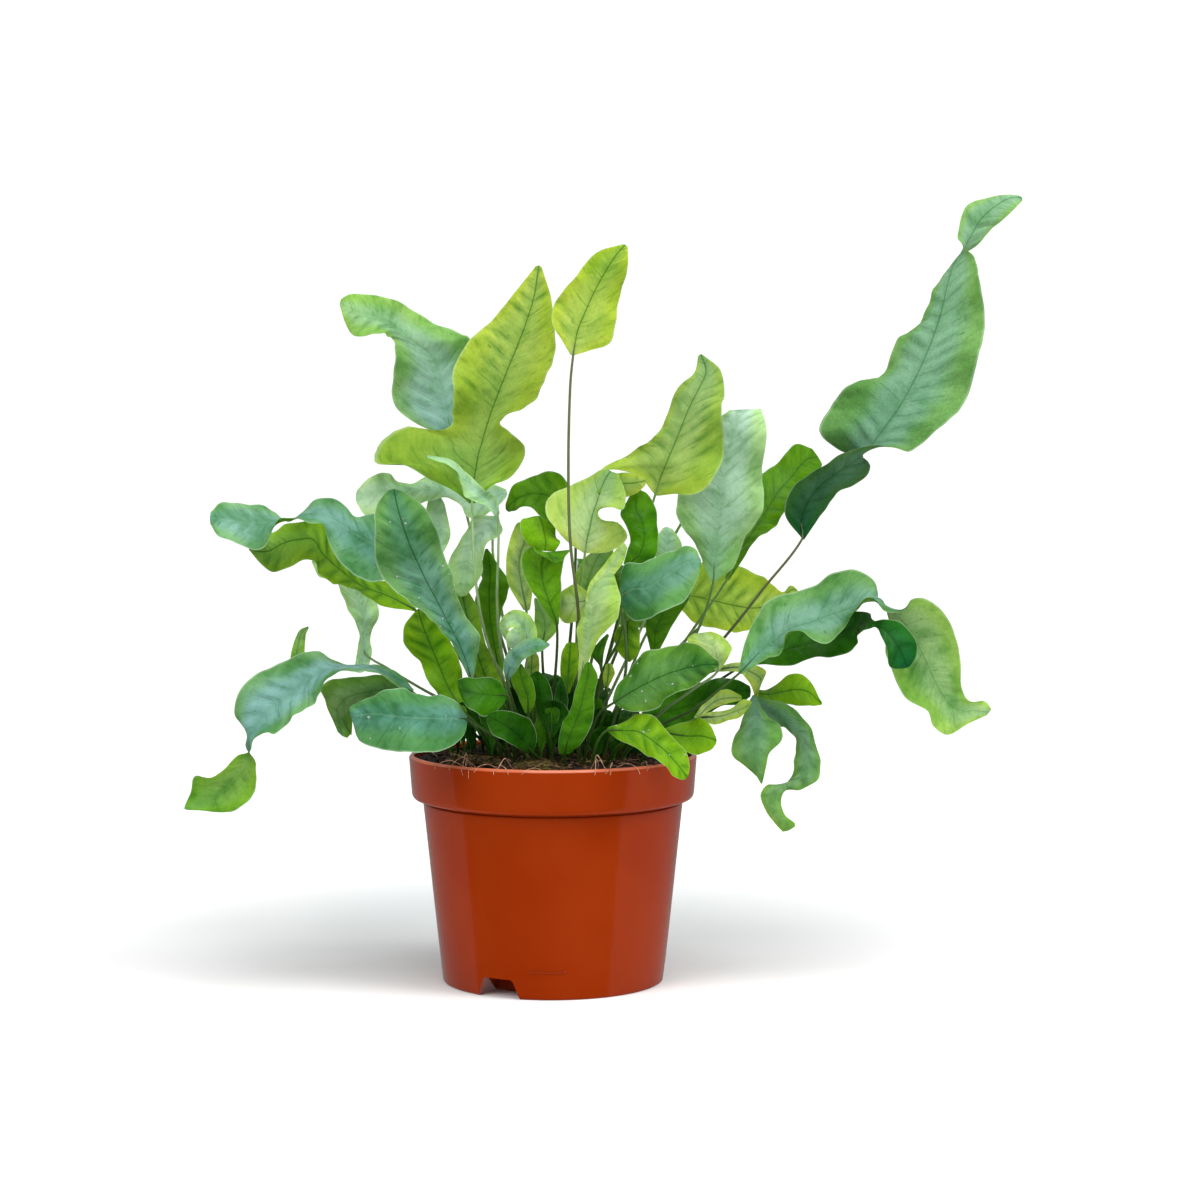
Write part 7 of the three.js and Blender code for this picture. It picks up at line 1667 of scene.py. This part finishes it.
def make_soil():
    """Makes the soil's piece, with its crumbs, fibres and rootlets."""
    draw = random.Random(SEED)
    shape = Shape()
    shape.add(soil_surface(), closed(len(SOIL_SIDE) + SOIL_RINGS, SOIL_SIDES), PEAT)
    for _ in range(CRUMBS):
        add_crumb(shape, draw)
    for _ in range(STRAWS):
        add_straw(shape, draw)
    for rootlet in ROOTLETS:
        add_rootlet(shape, *rootlet, draw)
    materials = [soil_material(), dry_material("straw", (112, 86, 54), (170, 144, 104)),
                 dry_material("rootlet", (150, 96, 74), (216, 176, 150)),
                 dry_material("bark", (58, 36, 24), (104, 70, 46))]
    shape.build("soil_bed", materials, "soil")


def on_soil(draw, reach):
    """A random place on the soil, within a share of its radius."""
    radius = SOIL_TOP_RADIUS * reach * math.sqrt(draw.random())
    angle = draw.uniform(0, 2 * math.pi)
    x = radius * math.cos(angle)
    y = radius * math.sin(angle)
    return x, y, soil_height(x, y)


def add_crumb(shape, draw):
    """Adds a small lump of peat or bark, half sunk in the soil."""
    x, y, z = on_soil(draw, 0.96)
    size = CRUMB_RADIUS + CRUMB_GROWTH * draw.random() ** 3
    wide, deep, high = draw.uniform(0.7, 1.5), draw.uniform(0.7, 1.3), draw.uniform(0.5, 0.9)
    twist = draw.uniform(0, math.pi)
    cosine, sine = math.cos(twist), math.sin(twist)
    points = []
    for r in range(1, CRUMB_RINGS + 1):
        turn = math.pi * r / (CRUMB_RINGS + 1)
        for a, b, lift in circle(math.sin(turn), math.cos(turn), CRUMB_SIDES):
            rough = draw.uniform(0.75, 1.2) * size
            a *= rough * wide
            b *= rough * deep
            points.append((x + a * cosine - b * sine, y + a * sine + b * cosine,
                           z + lift * rough * high + size * 0.1))
    points += [(x, y, z + size * high + size * 0.1), (x, y, z - size * high)]
    faces = [face[::-1] for face in closed(CRUMB_RINGS, CRUMB_SIDES)]
    shape.add(points, faces, BARK if draw.random() < 0.3 else PEAT)


def add_straw(shape, draw):
    """Adds a thin bent fibre that lies on the soil."""
    x, y, _ = on_soil(draw, 0.9)
    length = draw.uniform(*STRAW_LENGTHS)
    way = draw.uniform(0, 2 * math.pi)
    bend = draw.uniform(-0.9, 0.9)
    line = []
    for k in range(STRAW_STEPS + 1):
        share = k / STRAW_STEPS - 0.5
        turn = way + bend * share
        px = x + length * share * math.cos(turn)
        py = y + length * share * math.sin(turn)
        inward = min(SOIL_TOP_RADIUS * 0.98 / max(math.hypot(px, py), 1), 1)
        px, py = px * inward, py * inward
        line.append((px, py, soil_height(px, py) + 0.5 + 0.7 * math.cos(share * 3)))
    radius = draw.uniform(*STRAW_RADII)
    radii = [radius * (1 - 0.5 * abs(2 * k / STRAW_STEPS - 1)) for k in range(STRAW_STEPS + 1)]
    shape.add(*tube(np.array(line), radii, 5), STRAW if draw.random() < 0.6 else BARK)


def add_rootlet(shape, angle, come, rise, hang, draw):
    """Adds a pale rootlet that rises from the soil and hangs over the pot's lip."""
    route = [(SOIL_TOP_RADIUS - 9, come, SOIL_EDGE_HEIGHT),
             (SOIL_TOP_RADIUS - 5, 0.7 * come, 93 + 0.6 * rise),
             (SOIL_TOP_RADIUS - 1.5, 0.35 * come, 94 + rise),
             (RIM_RADIUS - LIP_WIDTH / 2, 0, POT_HEIGHT + 0.2),
             (RIM_RADIUS + 0.1, -0.15 * come, POT_HEIGHT - 0.8),
             (RIM_RADIUS + 0.2, -0.2 * come, POT_HEIGHT - 1 - hang)]
    line = []
    for radius, turn, height in route:
        place = math.radians(angle + turn + draw.uniform(-0.6, 0.6))
        line.append((radius * math.cos(place), radius * math.sin(place), height + draw.uniform(-0.3, 0.3)))
    line = np.array(line)
    line = on_line(line, cut(line, ROOT_STEP))
    radii = ROOTLET_FOOT_RADIUS + (ROOTLET_TIP_RADIUS - ROOTLET_FOOT_RADIUS) * np.linspace(0, 1, len(line))
    shape.add(*tube(line, radii, ROOTLET_SIDES), ROOTLET)


def make_rhizomes():
    """Makes a piece of each rhizome: a stem that tapers to both ends, under scales."""
    draw = random.Random(SEED + 1)
    materials = [rhizome_material(), scale_material()]
    for name, (radius, route) in RHIZOMES.items():
        points = np.array(route, dtype=float)
        places = cut(points, ROOT_STEP)
        line = on_line(points, places)
        radii = radius - RHIZOME_TAPER * (2 * places / places[-1] - 1) ** 4
        radii = radii * np.array([1 + 0.06 * noise.noise(Vector(p) * 0.6) for p in line])
        radii[[0, -1]] *= RHIZOME_END_SHARE
        shape = Shape()
        shape.add(*tube(line, radii, RHIZOME_SIDES), 0)
        add_scales(shape, line[1:-1], radius * 0.98, RHIZOME_SCALES, RHIZOME_SCALE_LENGTH, 1, draw)
        shape.build(name + "_stem", materials, name)


# Pot

def turned(profile, sides, centre=(0, 0)):
    """A solid turned about an upright axis, from the radius and height of its profile's corners."""
    corners = [p for p in profile if p[0] > 0]
    points = []
    for radius, height in corners:
        points += circle(radius, height, sides, centre)
    last = len(points) - sides
    ends = [tuple(range(sides - 1, -1, -1)), tuple(range(last, last + sides))]
    return bpy.data.objects.new("turned", mesh_from("turned", points, sleeve(len(corners), sides) + ends))


def rounded(profile, rounds, steps=5):
    """A profile with some of its corners rounded: `rounds` maps a corner to its radius."""
    out = []
    for i, corner in enumerate(profile):
        radius = rounds.get(i, 0)
        if not radius:
            out.append(corner)
            continue
        here = np.array(corner, dtype=float)
        before = unit(np.array(profile[i - 1], dtype=float) - here) * radius
        after = unit(np.array(profile[i + 1], dtype=float) - here) * radius
        for k in range(steps + 1):
            t = k / steps
            out.append(tuple(here + before * (1 - t) ** 2 + after * t ** 2))
    return out


def prism(section, start, length, turn):
    """A closed bar with a section (x, z), from y = -start to -start - length, turned about the axis."""
    cosine, sine = math.cos(turn), math.sin(turn)
    points = []
    for y in (-start, -start - length):
        points += [(x * cosine - y * sine, x * sine + y * cosine, z) for x, z in section]
    count = len(section)
    faces = [tuple(range(count)), tuple(range(2 * count - 1, count - 1, -1))]
    for k in range(count):
        after = (k + 1) % count
        faces.append((after, k, count + k, count + after))
    return bpy.data.objects.new("prism", mesh_from("prism", points, faces))


def channel_section(grow):
    """The section of a drain channel, with its top corners cut, larger by `grow` on each side."""
    foot = CHANNEL_FOOT_WIDTH / 2 + grow
    top = CHANNEL_TOP_WIDTH / 2 + grow
    high = CHANNEL_HEIGHT + grow
    half = [(foot, -CUT_PAST), (top + 0.5, high - 1), (top - 0.7, high)]
    return [(-foot, -CUT_PAST)] + half + [(-x, z) for x, z in half[:0:-1]]


def face_out(mesh):
    """Turns every face of a closed mesh outwards."""
    shell = bmesh.new()
    shell.from_mesh(mesh)
    bmesh.ops.recalc_face_normals(shell, faces=shell.faces)
    shell.to_mesh(mesh)
    shell.free()


def carve(piece, cutter):
    """Takes the cutter's solid out of the piece, and removes the cutter."""
    scene = bpy.context.scene.collection
    for thing in (piece, cutter):
        face_out(thing.data)
        if thing.name not in scene.objects:
            scene.objects.link(thing)
    modifier = piece.modifiers.new("cut", "BOOLEAN")
    modifier.operation = "DIFFERENCE"
    modifier.solver = "EXACT"
    modifier.object = cutter
    done = piece.evaluated_get(bpy.context.evaluated_depsgraph_get())
    mesh = bpy.data.meshes.new_from_object(done)
    piece.modifiers.clear()
    piece.data = mesh
    bpy.data.objects.remove(cutter)


def pot_outside():
    """The solid of the pot's outside, with a ledge under its band."""
    ledge = BODY_TOP_RADIUS - 0.8
    outline = [(0, 0), (FOOT_RADIUS - 0.3, 0), (BODY_TOP_RADIUS, BAND_LEDGE_HEIGHT - 1),
               (ledge, BAND_LEDGE_HEIGHT - 0.5), (ledge, BAND_LEDGE_HEIGHT + 0.3),
               (BAND_BOTTOM_RADIUS, BAND_LEDGE_HEIGHT + 0.4), (RIM_RADIUS, POT_HEIGHT - LIP_BEVEL),
               (RIM_RADIUS - 0.9 * LIP_BEVEL, POT_HEIGHT), (0, POT_HEIGHT)]
    return turned(rounded(outline, {1: 1.1, 2: 0.4, 5: 2.8, 6: 0.3, 7: 0.3}), POT_SIDES)


def pot_inside():
    """The pot's hollow, which goes on past its top to cut it open."""
    mouth = RIM_RADIUS - LIP_WIDTH
    outline = [(0, WALL), (FOOT_RADIUS + BODY_SLOPE * WALL - WALL, WALL),
               (BODY_TOP_RADIUS - WALL, BAND_LEDGE_HEIGHT + 0.8),
               (BAND_BOTTOM_RADIUS - BAND_WALL, BAND_LEDGE_HEIGHT + 3), (mouth, POT_HEIGHT - 0.8),
               (mouth + 0.6, POT_HEIGHT + 0.02), (mouth + 0.7, POT_HEIGHT + CUT_PAST),
               (0, POT_HEIGHT + CUT_PAST)]
    return turned(rounded(outline, {1: 2, 2: 1, 3: 1, 4: 0.4}), POT_SIDES)


def mould_mark():
    """The fine seam left by the mould above the foot, which ends in a small round stud."""
    radius = FOOT_RADIUS + BODY_SLOPE * SEAM_HEIGHT
    places = np.radians(-90) + np.linspace(SEAM_LEFT, SEAM_RIGHT, SEAM_POINTS) / radius
    line = [(radius * math.cos(a), radius * math.sin(a), SEAM_HEIGHT) for a in places]
    shape = Shape()
    shape.add(*tube(np.array(line), [SEAM_THICKNESS] * SEAM_POINTS, 6), 0)
    x, y, z = line[-1]
    stud = [(x * (1 + k / radius), y * (1 + k / radius), z + 0.5) for k in (-0.6, 0.1, 0.25)]
    shape.add(*tube(np.array(stud), [STUD_RADIUS, STUD_RADIUS, 0.6 * STUD_RADIUS], 12), 0)
    return mesh_from("mark", shape.points, shape.faces)


def make_pot():
    """Hollows the pot out round its three channels, cuts them and their holes, and adds the mould's mark."""
    pot = pot_outside()
    inside = pot_inside()
    turns = [math.radians(FIRST_CHANNEL_ANGLE + 360 / CHANNEL_COUNT * i) for i in range(CHANNEL_COUNT)]
    reach = RIM_RADIUS - CHANNEL_INNER_END
    for turn in turns:
        carve(inside, prism(channel_section(WALL), CHANNEL_INNER_END - WALL, reach + WALL, turn))
    carve(pot, inside)
    for turn in turns:
        carve(pot, prism(channel_section(0), CHANNEL_INNER_END, reach, turn))
        place = (DRAIN_HOLE_PLACE * math.sin(turn), -DRAIN_HOLE_PLACE * math.cos(turn))
        hole = [(DRAIN_HOLE_RADIUS, -CUT_PAST), (DRAIN_HOLE_RADIUS, CHANNEL_HEIGHT + 4)]
        carve(pot, turned(hole, DRAIN_HOLE_SIDES, place))
    joined = bmesh.new()
    joined.from_mesh(pot.data)
    joined.from_mesh(mould_mark())
    joined.to_mesh(pot.data)
    joined.free()
    pot.name = "pot_shell"
    pot.data.name = "pot_shell"
    pot.data.materials.clear()
    pot.data.materials.append(pot_material())
    finish_mesh(pot.data, POT_SHARP_ANGLE)
    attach(pot, "root")
    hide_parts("pot")


# Stage

def make_floor():
    """Makes the white floor, which the pot's gloss doesn't mirror."""
    mesh = bpy.data.meshes.new("floor")
    corners = [(x * FLOOR_HALF, y * FLOOR_HALF, 0) for x, y in ((-1, -1), (1, -1), (1, 1), (-1, 1))]
    mesh.from_pydata(corners, [], [(0, 1, 2, 3)])
    mesh.materials.append(floor_material())
    floor = bpy.data.objects.new("floor", mesh)
    bpy.context.scene.collection.objects.link(floor)
    floor.visible_glossy = False


def aimed(thing, place, towards):
    """Puts a camera or light in the scene, at a place and turned towards another."""
    thing.location = place
    thing.rotation_euler = (Vector(towards) - Vector(place)).to_track_quat("-Z", "Y").to_euler()
    bpy.context.scene.collection.objects.link(thing)


def make_camera():
    """Makes the camera, which sees the plant from the eye's place."""
    data = bpy.data.cameras.new("camera")
    data.lens = LENS
    data.sensor_width = SENSOR
    data.shift_y = SHIFT_Y
    data.clip_start = 0.01
    data.clip_end = 50
    camera = bpy.data.objects.new("camera", data)
    aimed(camera, Vector(EYE) * MM, Vector(LOOK_AT) * MM)
    bpy.context.scene.camera = camera


def sun(name, place, power, spread):
    """A soft sun that shines from a place towards the pot's foot. Its spread is an angle in degrees."""
    data = bpy.data.lights.new(name, "SUN")
    data.energy = power
    data.angle = math.radians(spread)
    light = bpy.data.objects.new(name, data)
    light.visible_glossy = False
    aimed(light, place, (0, 0, 0))


def make_roof_panel():
    """Makes a soft lamp above the plant, in metres."""
    data = bpy.data.lights.new("roof_panel", "AREA")
    data.energy = 6.5
    data.shape = "RECTANGLE"
    data.size = 0.9
    data.size_y = 0.7
    aimed(bpy.data.objects.new("roof_panel", data), (0.1, -0.35, 1.5), (0, 0, 0.1))


def make_room():
    """A white room whose front, seen in the pot, is dark between two edges."""
    s = Shader(bpy.data.worlds.new("studio"), "OutputWorld")
    x, y, z = s.split(s.add("TexCoord").outputs["Generated"])
    turn = s.math("ARCTAN2", x, s.times(y, -1.0))
    left = s.ramp(turn, math.radians(LEFT_EDGE - 1), math.radians(LEFT_EDGE + 1), 1.0, 0.0)
    right = s.ramp(turn, math.radians(RIGHT_EDGE - 1), math.radians(RIGHT_EDGE + 1))
    walls = s.plus(s.times(s.math("MAXIMUM", left, right), SIDE_LIGHT - FRONT_LIGHT), FRONT_LIGHT)
    roof = s.ramp(z, 0.35, 0.8)
    room = s.plus(s.times(walls, s.minus(1.0, roof)), s.times(roof, ROOF_LIGHT))
    backdrop = s.times(s.add("LightPath").outputs["Is Camera Ray"], BACKDROP_LIGHT)
    light = {"Color": (1, 1, 1, 1), "Strength": s.math("MAXIMUM", room, backdrop)}
    bpy.context.scene.world = s.surface(s.add("Background", light).outputs[0])


def make_light():
    """Lights the plant by the room, three soft suns and a panel above."""
    make_room()
    sun("left_light", (-0.8, -0.75, 0.9), 1.0, 30)
    sun("right_light", (1.0, -0.4, 0.95), 1.75, 30)
    sun("front_light", (0.1, -1.0, 0.55), 0.95, 80)
    make_roof_panel()


bpy.context.scene.view_settings.view_transform = "Standard"
make_camera()
make_light()
make_floor()
make_pot()
make_soil()
make_rhizomes()
make_fronds()
